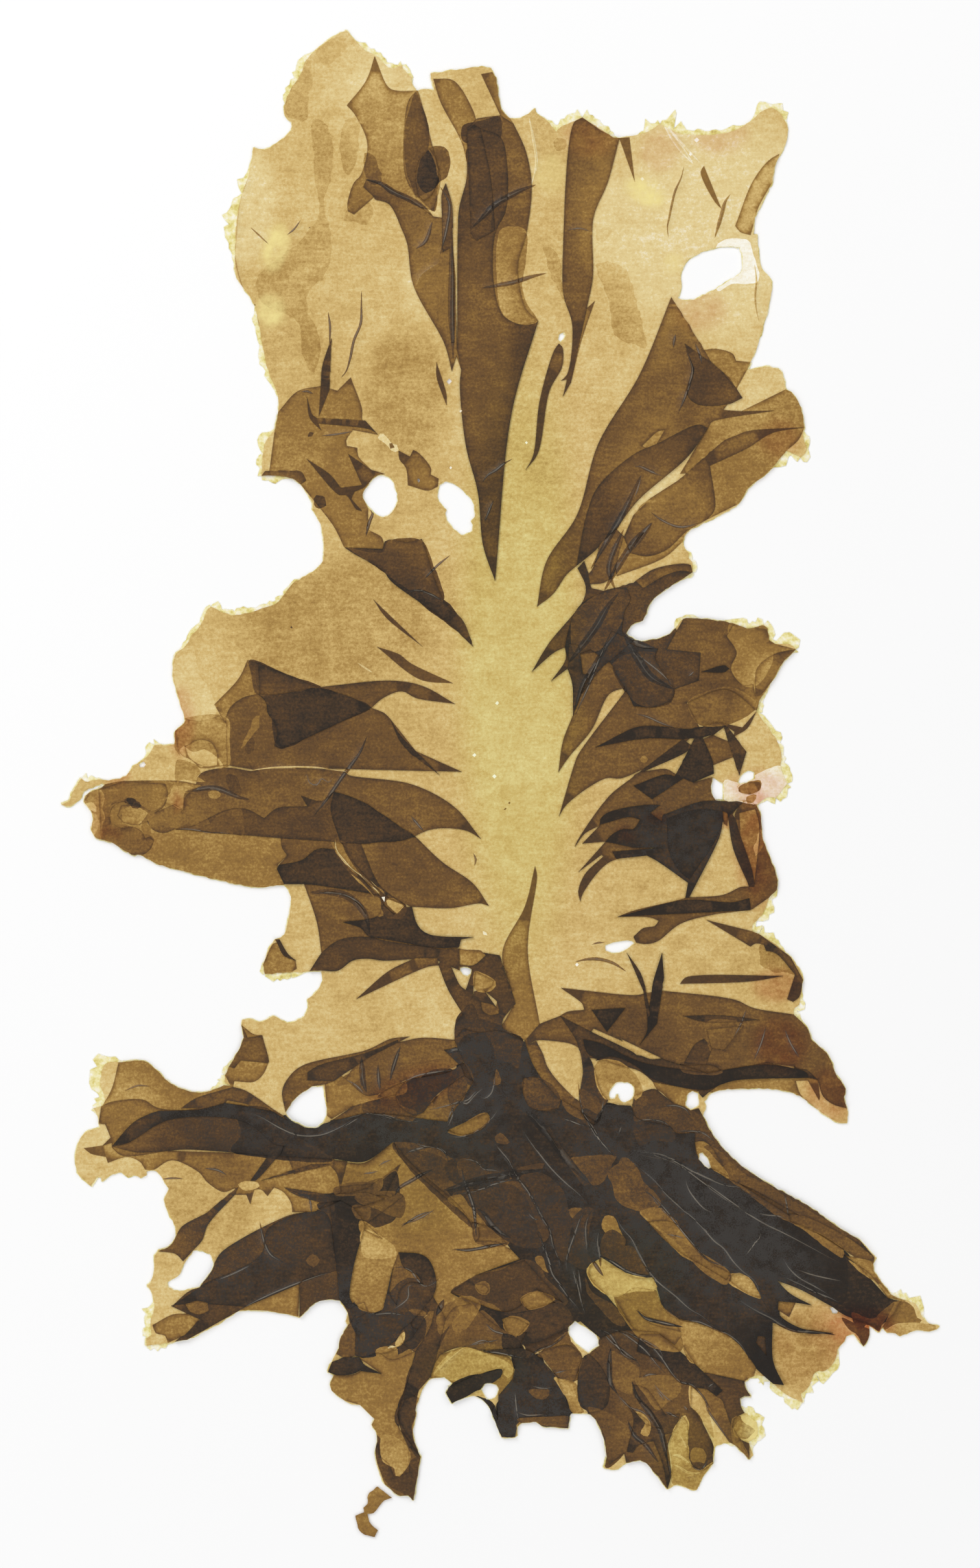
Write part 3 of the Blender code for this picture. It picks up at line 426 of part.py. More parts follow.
         (-28.7, 2.2), (-33.6, 2.3), (-36.4, 1.8), (-39.4, 2.1), (-41.1, 2.6), (-41.2, 5.6), (-41.2, 9),
         (-42, 10.1), (-42.8, 11.1), (-43, 11.7), (-42, 12.5), (-41, 13.6), (-40.3, 14.8), (-39.3, 15.7),
         (-38.4, 17.1)]),
    (2, [(-43, 11.7), (-42, 12.5), (-41, 13.6), (-40.3, 14.8), (-39.3, 15.7), (-38.4, 17.1), (-38, 18.4),
         (-36.4, 17.9), (-36, 16), (-36.2, 13.3), (-37.6, 13.2), (-38.8, 12.7), (-40, 11.7), (-40.8, 11),
         (-41.4, 9), (-42, 10.1), (-42.8, 11.1)]),
    (5, [(-36.4, 13.3), (-33.9, 13.2), (-31.8, 13.6), (-29.6, 14), (-27.5, 14.3), (-25, 13.5),
         (-22.2, 12.7), (-19.4, 11.2), (-20.6, 10.5), (-22.2, 9.8), (-25, 8.7), (-27.2, 7.8), (-29.3, 6.8),
         (-31.5, 5.9), (-33.3, 5.2), (-34, 5.5), (-33.5, 7), (-34, 9), (-35, 10.5), (-35.2, 12)]),
    (4, [(-16.6, 9.6), (-16.2, 8.5), (-15.1, 7.2), (-13.9, 5.9), (-12.7, 4.7), (-11.4, 3.8), (-9.9, 2.2),
         (-9.1, 1.1), (-9.7, 1.5), (-11.8, 2.9), (-13.6, 4.4), (-15.1, 6.2), (-16.3, 8.4)]),
    # great left pleat under the slit
    (3, [(-45.1, 1.3), (-44.3, 1.8), (-42.8, 2), (-41, 2.2), (-39.4, 2.1), (-37.4, 1.7), (-35.1, 1.9),
         (-31.2, 2.2), (-28.7, 1.9), (-26.3, 1.8), (-23.5, 1.6), (-22.8, 1.1), (-21.2, 0.9),
         (-19.4, 0.5), (-17.3, 0.1), (-15.1, 0), (-13.3, -0.3), (-11.8, -1.3), (-10.2, -2.2),
         (-8.7, -2.8), (-6.9, -3.7), (-5.9, -4.5), (-5.3, -5.4), (-4.4, -6.6), (-3.5, -7.7), (-2.9, -8.5),
         (-3.8, -7.9), (-5, -7.3), (-6.2, -7), (-7.8, -6.9), (-9.3, -6.9), (-10.5, -7.1), (-11.4, -7.6),
         (-12.7, -8.2), (-14.2, -8.6), (-16, -8.9), (-20, -9.2), (-24, -9.1), (-27.2, -8.9),
         (-29.6, -8.5), (-31.8, -8.2), (-35, -8), (-39.4, -8), (-43.1, -7.6), (-45, -7.4), (-47.1, -7.2),
         (-48.9, -7), (-48.6, -5.4), (-47.6, -4), (-47.4, -2.2), (-46, -0.8)]),
    # lower left lobe
    (2, [(-62.6, -2.9), (-62.4, -2), (-61.8, -1.5), (-60.4, -1), (-59.3, -0.4), (-58.1, 0), (-56.5, 0.2),
         (-55, 0.3), (-53.5, 0.2), (-51.7, -0.1), (-49.9, 0), (-48.3, 0.2), (-46.8, 0), (-44.9, -0.4),
         (-46.5, -1.4), (-47.4, -2.2), (-47.6, -4), (-48.6, -5.4), (-48.9, -7), (-47.1, -7.2), (-45, -7.4),
         (-43.1, -7.6), (-39.4, -8), (-35, -8), (-33, -8.4), (-32.8, -9.9), (-32, -11), (-33.5, -12.4),
         (-33, -14), (-32.5, -15.4), (-33.6, -15.3), (-35, -15.4), (-35.8, -15.6), (-37, -15.7),
         (-38.5, -15.4), (-40, -15), (-41.6, -14.6), (-42.8, -14.5), (-44.3, -14.2), (-45.6, -13.7),
         (-47.1, -13.5), (-48.6, -13), (-50.1, -12.6), (-51.7, -12.2), (-52.9, -11.5), (-54.1, -10.9),
         (-55.5, -10.8), (-56.6, -10.2), (-57.5, -9.5), (-58.4, -9), (-59.6, -8.8), (-60.6, -8.5),
         (-61, -8), (-61.5, -7.2), (-61.2, -6.2), (-61.2, -5.1), (-61.6, -4.3), (-62.3, -3.7)]),
    (3, [(-60.4, -1), (-59.3, -0.4), (-58.1, 0), (-56.5, 0.2), (-55, 0.3), (-53.5, 0.2), (-51.7, -0.1),
         (-50.4, -0.2), (-50, -1.6), (-50.6, -3.6), (-52, -4.6), (-53, -5), (-54.3, -4.6), (-55, -3.6),
         (-56.5, -2.9), (-58, -3.4), (-58.7, -4.6), (-58.6, -6), (-57, -6.9), (-55.4, -6.7), (-54, -7.3),
         (-53.4, -8.4), (-52.6, -8.1), (-52.1, -8.7), (-52.6, -10), (-53.6, -10.8), (-55.5, -10.8),
         (-56.6, -10.2), (-57.5, -9.5), (-58.4, -9), (-60, -8.6), (-60.2, -6), (-60, -3.2)]),
    (3, [(-57, -3.5), (-55.4, -3.2), (-53.8, -4.2), (-52.8, -5.2), (-50.8, -4.2), (-49, -3.3), (-47.9, -4),
         (-48, -5.6), (-48.6, -6.8), (-50.6, -7.6), (-52.4, -7), (-53, -5.8), (-54.6, -6.4), (-56.6, -6),
         (-57.6, -5)]),
    (4, [(-48.9, -7), (-46.5, -6.6), (-44.5, -5.6), (-43.1, -4.9), (-41.6, -4.3), (-39.7, -3.9),
         (-37.9, -4.1), (-36.4, -4.8), (-35.5, -5.4), (-34.8, -4.6), (-33.6, -3.9), (-31.8, -3.7),
         (-29.6, -3.9), (-29, -3.6), (-27.5, -5.6), (-26, -7.5), (-25, -8.9), (-27.2, -8.9),
         (-29.6, -8.5), (-31.8, -8.2), (-35, -8), (-39.4, -8), (-43.1, -7.6), (-45, -7.4), (-47.1, -7.2)]),
    (4, [(-30, -2), (-28.7, -2.6), (-26.9, -2.8), (-25, -1.4), (-22.9, -2), (-20.3, -3.1), (-18.5, -4.3),
         (-16.6, -5.5), (-14.8, -6.8), (-13.4, -7.7), (-12.7, -8.2), (-14.2, -8.6), (-16, -8.9),
         (-20, -9.2), (-24, -9.1), (-25, -8.9), (-26, -7.5), (-27.5, -5.6), (-29, -3.6)]),
    (5, [(-25, -1.4), (-22.9, -2), (-20.3, -3.1), (-18.5, -4.3), (-16.6, -5.5), (-14.8, -6.8),
         (-13.4, -7.7), (-12.7, -8.2), (-14.2, -8.6), (-16, -8.9), (-20, -9.2), (-24, -9.1), (-24.6, -7.4),
         (-25, -6), (-25.5, -4)]),
    (3, [(-12.7, -8.2), (-11.8, -9.4), (-10.2, -10.6), (-8.7, -12), (-6.9, -13.4), (-5, -14.6),
         (-4.1, -15.2), (-3.2, -16.1), (-2.6, -17.3), (-1.7, -18.6), (-2.9, -18.2), (-4.1, -18.3),
         (-5.6, -18.8), (-7.5, -18.9), (-11.1, -18.7), (-13.4, -18.7), (-14.5, -18.4), (-15.7, -17.9),
         (-16.8, -17.3), (-17.9, -16.3), (-19.1, -15), (-20.6, -13.4), (-22.2, -11.8), (-23.1, -10.3),
         (-23.7, -9.1), (-20, -9.2), (-16, -8.9), (-14.2, -8.6)]),
    (4, [(-23.7, -9.1), (-21, -9.2), (-19.8, -11.5), (-19.2, -13.5), (-18, -15.6), (-16.5, -16.8),
         (-14.5, -18.2), (-15.7, -17.9), (-16.8, -17.3), (-17.9, -16.3), (-19.1, -15), (-20.6, -13.4),
         (-22.2, -11.8), (-23.1, -10.3)]),
    (3, [(-33, -8.4), (-31.8, -8.2), (-29.6, -8.5), (-27.2, -8.9), (-25, -8.9), (-24.7, -10.2),
         (-25.6, -10.3), (-27.5, -10), (-28.7, -10.9), (-29.9, -11.7), (-31.8, -11.8), (-33.3, -12.4),
         (-32, -11), (-32.8, -9.9)]),
    (5, [(-33.3, -12.4), (-31.8, -11.8), (-29.9, -11.7), (-28.7, -10.9), (-27.5, -10), (-25.6, -10.3),
         (-24.7, -10.1), (-23.5, -11.9), (-22, -13.4), (-20.6, -14.4), (-18.5, -16.4), (-18.2, -16.9),
         (-20.3, -16.8), (-22.9, -16.5), (-25, -16.1), (-27.2, -15.5), (-30, -15.2), (-32.5, -15.3),
         (-33, -14), (-33.6, -13)]),
    # below the left wing
    (3, [(-29.5, -15.3), (-27.2, -15.5), (-25, -16.1), (-22.9, -16.5), (-20.3, -16.8), (-18.2, -16.9),
         (-17.7, -17.7), (-17.5, -19), (-16, -19.9), (-14.8, -18.7), (-13.3, -18.7), (-13.2, -19.8),
         (-12.4, -21.5), (-10.8, -22.8), (-9.6, -23.2), (-6.9, -23.1), (-4, -23.3), (-5.9, -23.6),
         (-6.2, -24.8), (-10, -26), (-12.4, -26.3), (-14.8, -26.6), (-17.6, -26.8), (-20, -26.5),
         (-22.2, -26.8), (-24.4, -28.3), (-26.9, -28.3), (-28.7, -28.4), (-28.1, -27.4), (-26.9, -25.6),
         (-27.2, -23.5), (-27.6, -21), (-28, -20.1), (-28.3, -18.3), (-28.9, -17)]),
    (5, [(-23.7, -21), (-21.2, -20.4), (-18.5, -20.1), (-17.6, -18.4), (-16.6, -19.4), (-16, -19.9),
         (-14.8, -18.7), (-13.3, -18.7), (-13.2, -19.8), (-12.4, -21.5), (-10.8, -22.8), (-9.6, -23.2),
         (-6.9, -23.1), (-4, -23.3), (-5.9, -23.6), (-6.2, -24.8), (-9, -24.9), (-12, -24.4),
         (-16, -23.6), (-20, -23), (-20.8, -22), (-23, -21.4)]),
    (4, [(-26.9, -25.6), (-24.5, -23.8), (-21, -23.2), (-16, -23.8), (-12, -24.6), (-9, -25.1),
         (-6.2, -25), (-6.1, -27.4), (-8, -27.6), (-10, -26.4), (-12.4, -26.3), (-14.8, -26.6),
         (-17.6, -26.8), (-20, -26.5), (-22.2, -26.8), (-24.4, -28.3), (-26.9, -28.3), (-28.7, -28.4),
         (-28.1, -27.4)]),
    (2, [(-34.1, -24.2), (-33.3, -24), (-32.4, -25.6), (-30.8, -26.8), (-30.6, -28), (-31.5, -28.6),
         (-35.4, -28.8), (-35.7, -27.4), (-35.3, -26.2), (-34.8, -25)]),
    (4, [(-33.8, -23.6), (-33.2, -23.6), (-32.5, -24.8), (-31.9, -25.8), (-30.7, -26.8), (-31.4, -26.7),
         (-32.6, -26), (-33.2, -24.9)]),
    (3, [(-21.7, -32.6), (-20.6, -31.4), (-18.8, -29.9), (-17, -28.5), (-14.8, -27.3), (-12.7, -26.4),
         (-9.5, -26.4), (-9.3, -27.5), (-10.8, -27.7), (-12.4, -28.5), (-14.2, -29.4), (-16, -30.3),
         (-18.2, -31.1), (-20, -31.9)]),
    # knot of pleats on the midrib
    (4, [(-9.3, -27.3), (-8.7, -29.3), (-7.9, -31.1), (-6.9, -33.1), (-5.6, -34.9), (-6.8, -36.6),
         (-6.6, -37.5), (-6.9, -38.7), (0, -39.5), (3.6, -39), (0.3, -36.9), (0.4, -35.6), (1.5, -34.2),
         (2.3, -33.2), (2, -31.7), (1.4, -30.2), (1, -28.7), (0.5, -27.1), (-0.1, -26), (-1.3, -25.6),
         (-2.9, -25.3), (-6.2, -25), (-8.5, -26)]),
    (2, [(-6.2, -25.1), (-2.9, -25.3), (-2.2, -26), (-4.1, -27.5), (-6.1, -27.4)]),
    (1, [(-7.4, -27.7), (-6.1, -28.4), (-5.6, -28.9), (-4.9, -29.2), (-4.4, -28.8), (-4.6, -30),
         (-5.2, -31.2), (-6, -30.6), (-6.7, -29.4)]),
    (1, [(-3.8, -28.4), (-2.6, -29.3), (-1, -29.8), (-1.4, -30.7), (-2.6, -31.2), (-3.9, -31.4),
         (-4.2, -32.4), (-4.4, -31.6), (-4, -29.9)]),
    (1, [(-2.5, -31.2), (-1.8, -31.4), (-0.5, -32.9), (-0.6, -33.8), (-1.5, -33), (-2.2, -32)]),
    (3, [(-2.9, -33), (-1.2, -33.4), (-0.2, -34.2), (-0.3, -34.8), (-1.5, -35), (-2.7, -34.3)]),
    # arch right of the midrib
    (3, [(3.7, -38.9), (4.6, -37.4), (5.9, -36.3), (7.2, -35.7), (8.8, -35.1), (10, -34.5), (11.2, -34.3),
         (12.6, -34.2), (12.4, -33.4), (10.6, -32.2), (9.1, -30.9), (10.9, -31), (12.7, -31.2),
         (14.9, -31.3), (17, -31.6), (18.9, -31.8), (20.4, -32), (22, -31.7), (24, -31.3), (27.3, -31.7),
         (29.5, -31.9), (31.6, -32.4), (33.8, -32.4), (35.3, -32.7), (36.8, -33.6), (38, -33.9),
         (39.9, -34.2), (42, -34.3), (44, -34.8), (45.4, -36.2), (46.3, -37.2), (46.7, -38.5),
         (47.7, -39.6), (48.5, -40.4), (49.4, -41.2), (50, -42.4), (50.5, -44), (51.1, -44.9),
         (51.9, -46.1), (51.7, -47.3), (52.1, -49), (50, -48.4), (48.5, -47.2), (47.7, -44.7),
         (46, -43.4), (44.2, -42.7), (42, -42.4), (39.9, -42.1), (37.8, -42.4), (35, -42.9),
         (33.2, -43.3), (32.2, -42.6), (30.9, -42.4), (27.4, -42.4), (24.6, -41.6), (24.3, -41.5),
         (21.7, -40.4), (19.6, -39.5), (18, -38.4), (14, -37), (12, -40), (10.6, -39.3), (9.1, -39.1),
         (7.2, -38.8), (5.4, -38.8), (4.2, -39.4)]),
    (2, [(31, -37.2), (34, -36.6), (36.6, -36.6), (35.4, -38.4), (33.6, -40.2), (31.8, -40)]),
    (4, [(29.2, -39.4), (30.6, -38.5), (31.7, -39.8), (30.9, -42.4), (27.6, -42.2)]),
    (4, [(27.4, -35.1), (30.1, -35.1), (32.9, -35), (35.3, -35.2), (39, -35.7), (36.5, -36),
         (33.2, -36.1), (30.1, -35.9), (28.3, -35.5)]),
    (5, [(24.3, -25.6), (23.5, -27.7), (22.9, -30.2), (22.7, -32.6), (22.5, -35.1), (22, -37.5),
         (20.9, -39.5), (22.4, -38.1), (23.5, -36.3), (23.8, -33.9), (24.1, -31.4), (24.6, -29.3),
         (24.7, -27.4)]),
    (4, [(19, -25.6), (19.6, -27), (20.9, -29.9), (21.5, -31.4), (22, -33.2), (22.1, -35.4), (22.5, -35),
         (22.3, -32.9), (21.8, -30.8), (21.1, -28.7), (20, -26.7)]),
    (3, [(25, -31.4), (26.1, -30.3), (27.7, -29.4), (30.1, -29), (33.2, -29), (36.5, -29), (39.9, -29.2),
         (42.5, -29.1), (40.2, -29.6), (37.8, -29.9), (35, -30.1), (32.2, -30.1), (29.2, -30.2),
         (27, -30.3), (25.8, -30.9)]),
    (5, [(13.7, -34.2), (16, -34), (18.8, -33.9), (17.8, -35.6), (16, -37.5), (15.4, -36.2)]),
    (4, [(9, -35.1), (12, -36.6), (14.5, -37.6), (18, -39.6), (20.5, -41), (24.6, -41.7), (27.3, -42.4),
         (29.8, -43.2), (31, -43.7), (33.2, -43.3), (35, -42.9), (37.8, -42.4), (39.9, -42.1),
         (42, -42.4), (44.2, -42.7), (46, -43.2), (47.7, -44.6), (46.3, -44.4), (43.9, -44.8),
         (41.1, -44.5), (38.4, -44.6), (35.3, -44.8), (32.9, -45.5), (31.3, -46.6), (30.4, -47.4),
         (29.8, -46.4), (27.3, -45.8), (24.9, -45.2), (22.8, -44.9), (20.9, -43.4), (19.8, -43.4),
         (18, -42.7), (15.8, -41.8), (14.3, -41.8), (13.4, -41.4), (11.8, -40.2), (11.4, -38.8),
         (10.2, -37)]),
    (6, [(31, -43.8), (33.2, -43.4), (35, -43), (37.8, -42.6), (40, -42.4), (42, -42.6), (44.2, -43),
         (46, -43.6), (46.3, -44.4), (43.9, -44.8), (41.1, -44.5), (38.4, -44.6), (35.3, -44.8),
         (32.9, -45.3), (31, -46.2), (28, -45.4), (23, -44.6), (21, -43.2), (20, -42.4), (17, -41.2),
         (14.6, -41.6), (13, -40.6), (12.4, -38.6), (15, -39.2), (18, -40.8), (21, -42), (26, -43.2)]),
    (2, [(31.3, -46.6), (32.9, -45.5), (35.3, -44.8), (38.4, -44.6), (41.1, -44.5), (43.9, -44.8),
         (46.3, -44.4), (47.7, -44.7), (48, -47.6), (47.3, -48.9), (46.3, -48.1), (45.1, -47.2),
         (43, -46.4), (40.8, -46.2), (38.4, -46), (35, -46.1), (32.9, -46.3)]),
    (1, [(44.4, -44.9), (46.2, -44.8), (47.4, -46.5), (48, -48), (47.3, -48.9), (46.3, -48.1),
         (45.1, -46.9)]),
    # left side below the bay
    (2, [(-40.4, -45.6), (-40, -44.9), (-37, -45), (-35.6, -43.8), (-34.8, -42), (-35.3, -39.5),
         (-35.8, -38), (-37, -37.9), (-38.6, -37), (-38.9, -36.4), (-38.6, -37.8), (-38.8, -39.1),
         (-39.3, -40.3), (-40, -41.4), (-40.8, -42.7), (-41.4, -44)]),
    (3, [(-38.8, -36.6), (-38, -38.4), (-37, -37.9), (-35.8, -38), (-35.3, -39.5), (-34.9, -42.2),
         (-36, -41.8), (-37.6, -42), (-39, -41.8), (-40, -43), (-40.8, -42.7), (-40, -41.4),
         (-39.3, -40.3), (-38.8, -39.1), (-38.6, -37.8)]),
    (3, [(-32.8, -46.4), (-31.9, -45.2), (-31.8, -44.3), (-31.2, -43.7), (-29.8, -42.6), (-28.4, -42.1),
         (-26.9, -41.9), (-25, -41.4), (-22.9, -40.6), (-21, -40.2), (-20, -40.2), (-17.9, -39.4),
         (-16.6, -38.6), (-15.1, -38.2), (-13.6, -38.2), (-15.4, -39.1), (-17.9, -40.6), (-20, -41.5),
         (-22.2, -43), (-24, -44), (-25, -44.9), (-27.8, -45.4), (-28.4, -45.7), (-29.6, -46.6),
         (-30.9, -47.6), (-31.9, -48.9), (-32.3, -49.6)]),
    (4, [(-29, -43.6), (-27.4, -42.6), (-25, -42), (-22.9, -41.2), (-20, -40.6), (-17.9, -39.8),
         (-15.4, -38.7), (-15.4, -39.1), (-17.9, -40.6), (-20, -41.5), (-22.2, -43), (-24, -44),
         (-25, -44.9), (-27, -45), (-29, -44.8)]),
    (3, [(-20, -41.5), (-17.9, -40.6), (-15.4, -39.1), (-13.9, -38.8), (-11.8, -38.4), (-9.9, -38.5),
         (-6.9, -38.7), (-5.5, -40), (-5.5, -42), (-8, -43.3), (-11, -44), (-14, -44.6), (-16.5, -45.8),
         (-18.4, -46.9), (-20.1, -47.1), (-21.4, -46), (-23.3, -44.6), (-22.2, -43)]),
    (2, [(-25, -44.9), (-23.9, -44.1), (-21.4, -46), (-20.1, -47.1), (-18.4, -46.9), (-17.4, -47.6),
         (-20, -48.1), (-22.2, -48.7), (-24, -49.8), (-25.4, -50.6), (-26.1, -50.1), (-26.1, -48.6),
         (-26.2, -46.7), (-26.4, -45.4)]),
    (3, [(-25.6, -51), (-24, -49.8), (-22.2, -48.7), (-20, -48.1), (-17.9, -47.5), (-15.7, -47),
         (-12, -47.6), (-8, -48.6), (-4.6, -47), (-2, -46), (0, -50), (-4, -54), (-14, -53), (-20, -52)]),
    (5, [(-15.7, -47), (-14.8, -45.5), (-13.3, -44.6), (-10, -44), (-7.5, -43.5), (-5.5, -42), (-4, -41),
         (-6, -39.8), (-8.5, -40.2), (-8, -41), (-6, -42.6), (-5.4, -44), (-7, -44.8), (-9.4, -46.8),
         (-11.6, -49.6), (-13, -50), (-15.4, -48.4)]),
    (3, [(-11.2, -49.8), (-9.2, -46.9), (-7, -45), (-5.3, -44.2), (-3.3, -45.6), (-5, -47.4),
         (-8, -48.8)]),
    # dark heart of the lower blade
    (6, [(-6.9, -38.7), (-5.5, -37), (-3.4, -37.6), (0, -37.4), (3.7, -38.9), (5.2, -42), (6.6, -44.2),
         (9, -46.8), (11.7, -48.4), (12.2, -50), (14, -51.6), (15, -50.8), (15.4, -48.4), (17.5, -48.6),
         (19.6, -48.6), (20.4, -50.4), (23, -51), (25.5, -51.8), (26.4, -52.7), (29.2, -52.6),
         (29.3, -54.2), (29.4, -55.8), (30.6, -57.7), (32.5, -58.3), (33.8, -59.4), (35.9, -60.8),
         (39, -62.7), (41.4, -64.2), (44.5, -66.2), (48.5, -68.6), (52, -70.6), (55.2, -73.7),
         (56.8, -75.5), (58.3, -77.6), (60.1, -78), (59, -80), (57, -81.8), (54.6, -81), (52, -80.2),
         (49.5, -78.6), (47, -77.4), (45, -76.2), (41.6, -74.9), (43.5, -76.8), (46.8, -78.6),
         (44.4, -78.2), (41.8, -78), (41.6, -79.2), (42, -80.1), (45, -82), (48, -82.6), (50, -82.8),
         (46, -82.8), (43.5, -82), (40.9, -81.2), (40.8, -84.9), (41, -87), (42.6, -90.6), (41, -90.4),
         (38.4, -88.1), (37.1, -86.5), (35.9, -84.7), (34.4, -83.2), (31.6, -81.9), (29.5, -81.2),
         (27.6, -81), (25.6, -80.3), (24.2, -78.4), (23.4, -76), (23, -74.4), (20.1, -74.3),
         (16.7, -72.3), (15.2, -71.4), (13.5, -72.6), (13.4, -74.3), (14.3, -75.5), (15.8, -76.9),
         (18, -79.8), (20, -82), (24, -83), (27.2, -86), (28.6, -87.4), (30.7, -88.8), (32.9, -89.4),
         (36.7, -90.1), (37.6, -92.2), (35.4, -91.9), (33, -92), (31, -93.6), (29.6, -91.6), (28.6, -90.6),
         (26.5, -90), (22, -88), (18, -86), (14.7, -83.6), (12, -81), (9.6, -82), (6, -84), (3, -84.6),
         (0, -83), (-3, -81), (-6, -78), (-7.5, -76.7), (-3.8, -74.1), (0.5, -72.7), (2.6, -71.8),
         (-1, -67), (-4.2, -66), (-6, -63.8), (-8.2, -61.8), (-10.6, -59.6), (-13.2, -57.4),
         (-15.3, -55.2), (-16, -54.1), (-18.6, -55.5), (-20.4, -57), (-25, -56.4), (-28.7, -56.2),
         (-34.5, -55.9), (-38, -55.8), (-37, -53), (-35, -50.6), (-32.3, -50), (-30.9, -51.2),
         (-29.3, -51.8), (-27.9, -52), (-26.6, -51.3), (-25.5, -50.8), (-23, -50.2), (-20, -49.8),
         (-15, -50.4), (-11.8, -50.4), (-8, -51), (-6, -47.6), (-4, -45), (-5.4, -42)]),
    (4, [(3.4, -44.5), (5, -44.2), (7.6, -45.4), (9.2, -47.4), (8.8, -49), (6.4, -49.4), (4.4, -48.8),
         (3.4, -46.8)]),
    (3, [(3.7, -38.9), (4.2, -39.4), (5.4, -38.9), (6.2, -40.6), (6.9, -42.4), (8.2, -44.4), (9.7, -46.3),
         (11.7, -47.9), (12.6, -49.8), (11, -49.2), (8.6, -47.4), (6.4, -44.9), (4.8, -42.2)]),
    (1, [(5.9, -39), (7.2, -38.9), (9.1, -39.1), (10.6, -39.3), (11.8, -40.1), (12.3, -41.5),
         (12.4, -43.4), (12.1, -45.5), (11.8, -47.9), (9.7, -46.3), (8.2, -44.4), (6.9, -42.4),
         (6.2, -40.6)]),
    (4, [(12.1, -45.5), (12.4, -43.4), (12.3, -41.5), (11.9, -40.3), (13.4, -41.4), (14.1, -43),
         (14.7, -45.2), (15.4, -47), (16.2, -47.8), (15.2, -49.8), (14.4, -51), (12.4, -49.6),
         (11.8, -47.9)]),
    (1, [(14.3, -41.8), (15.8, -41.8), (18, -42.7), (19.8, -43.4), (21, -44.3), (21.3, -46.4), (20.1, -47),
         (19.9, -47.6), (18.9, -48.1), (18, -47.9), (17.6, -47), (17.2, -47.7), (16.4, -47.6),
         (15.5, -47), (14.7, -45.2), (14.1, -43)]),
    (1, [(20, -40.6), (18.8, -39.7), (18, -38.5), (19.5, -39.4), (21.7, -40.4), (24.3, -41.5),
         (22.5, -41.6)]),
    (2, [(22.9, -45), (24.9, -45.3), (27.3, -45.9), (29.6, -46.5), (28.9, -46.4), (28.3, -46.7),
         (27.9, -47.6), (27.8, -48.8), (26, -48.2), (25, -47.2), (23.4, -46)]),
    (4, [(20.1, -47.1), (21.4, -46.4), (23.2, -46.1), (24.6, -46.8), (26, -48.2), (27.8, -48.9),
         (28.6, -49.3), (29.8, -49), (30.4, -50.1), (30.9, -51.3), (31.9, -53), (33.2, -54.7),
         (34.7, -56.2), (36.2, -57.6), (37.8, -58.8), (39.6, -59.9), (41.4, -60.8), (43.3, -61.9),
         (45.1, -63), (46.6, -63.9), (48.5, -65.4), (50.6, -66.8), (52.5, -67.8), (54, -68.8),
         (54.9, -69.8), (55.7, -70.8), (56.2, -71.4), (55, -71), (53.5, -69.8), (50.5, -68.4),
         (46, -65.8), (41.4, -63.4), (38, -61.2), (34.3, -59.4), (33.8, -59.4), (32.5, -58.3),
         (31.3, -58.1), (29.4, -55.8), (29.2, -52.7), (26.3, -52.7), (25.5, -51.8), (23, -51),
         (20.4, -50.4), (19.8, -49)]),
    (2, [(29.2, -54.1), (30.3, -53.9), (31.5, -54.6), (32.2, -56), (33.3, -57.8), (34.3, -59.3),
         (33.8, -59.4), (32.5, -58.3), (31.7, -58), (31.2, -56.5), (30.4, -55.6), (29.8, -55.8),
         (29.8, -56.7), (29.3, -55.8)]),
    (3, [(43.5, -66), (46, -66.8), (48.6, -68.2), (51, -70), (53.6, -71.6), (55.4, -73.4), (56.7, -74.6),
         (56, -73), (56.2, -71.6), (55, -70.4), (52.5, -68.6), (48.8, -66.8), (45.8, -65.2),
         (43.4, -64.8)]),
    (2, [(51.6, -71), (53.8, -71.2), (55.8, -72), (56.1, -73.4), (56.8, -74.6), (57.8, -75.9),
         (58.7, -77), (59.7, -77.5), (58.4, -77.6), (57, -75.8), (55.4, -73.8), (53.4, -72.4)]),
    # lower blade windows where fewer layers lie
    (3, [(22.1, -66), (26, -66.1), (27.9, -68.3), (30.3, -70.9), (32, -72.4), (34.6, -73.7), (34, -74.8),
         (31, -73), (28.5, -71.5), (25.5, -69.5), (24, -68), (22.5, -66.8)]),
    (1, [(34.4, -74.9), (34.7, -74), (35.9, -73.7), (37.8, -75), (38.6, -76.5), (39.3, -77.6),
         (37.5, -77), (35.5, -75.8)]),
    (2, [(41.8, -78), (43, -78), (44.4, -78.2), (43.6, -79.2), (43.4, -80.4), (42.5, -80), (41.7, -79.3)]),
    (3, [(38.7, -83.2), (39.8, -83.3), (40, -84.8), (40, -86.2), (39, -85), (38.4, -84.2)]),
    (2, [(27.7, -81), (29.5, -81.2), (31.6, -81.9), (33.2, -83), (34.4, -83.2), (35.9, -84.7),
         (37.1, -86.5), (38.4, -88), (38.1, -89.3), (36.7, -90), (35.3, -89.7), (32.9, -89.4),
         (30.7, -88.7), (29.2, -87.4), (28.1, -86), (27.5, -84.7), (27.2, -83.1), (27.3, -81.9)]),
    (1, [(13.5, -72.6), (15.2, -71.4), (16.7, -72.3), (18.9, -73.7), (20.1, -74.3), (22.8, -74.4),
         (23.4, -75.5), (23.4, -76.4), (22, -76.1), (19.8, -76.1), (18.6, -77), (17, -77.2),
         (15.8, -76.9), (14.3, -75.5), (13.4, -74.3)]),
    (2, [(17, -77.2), (18.6, -77), (19.8, -76.1), (22, -76.1), (23.4, -76.4), (24.1, -78.4), (24.9, -79.8),
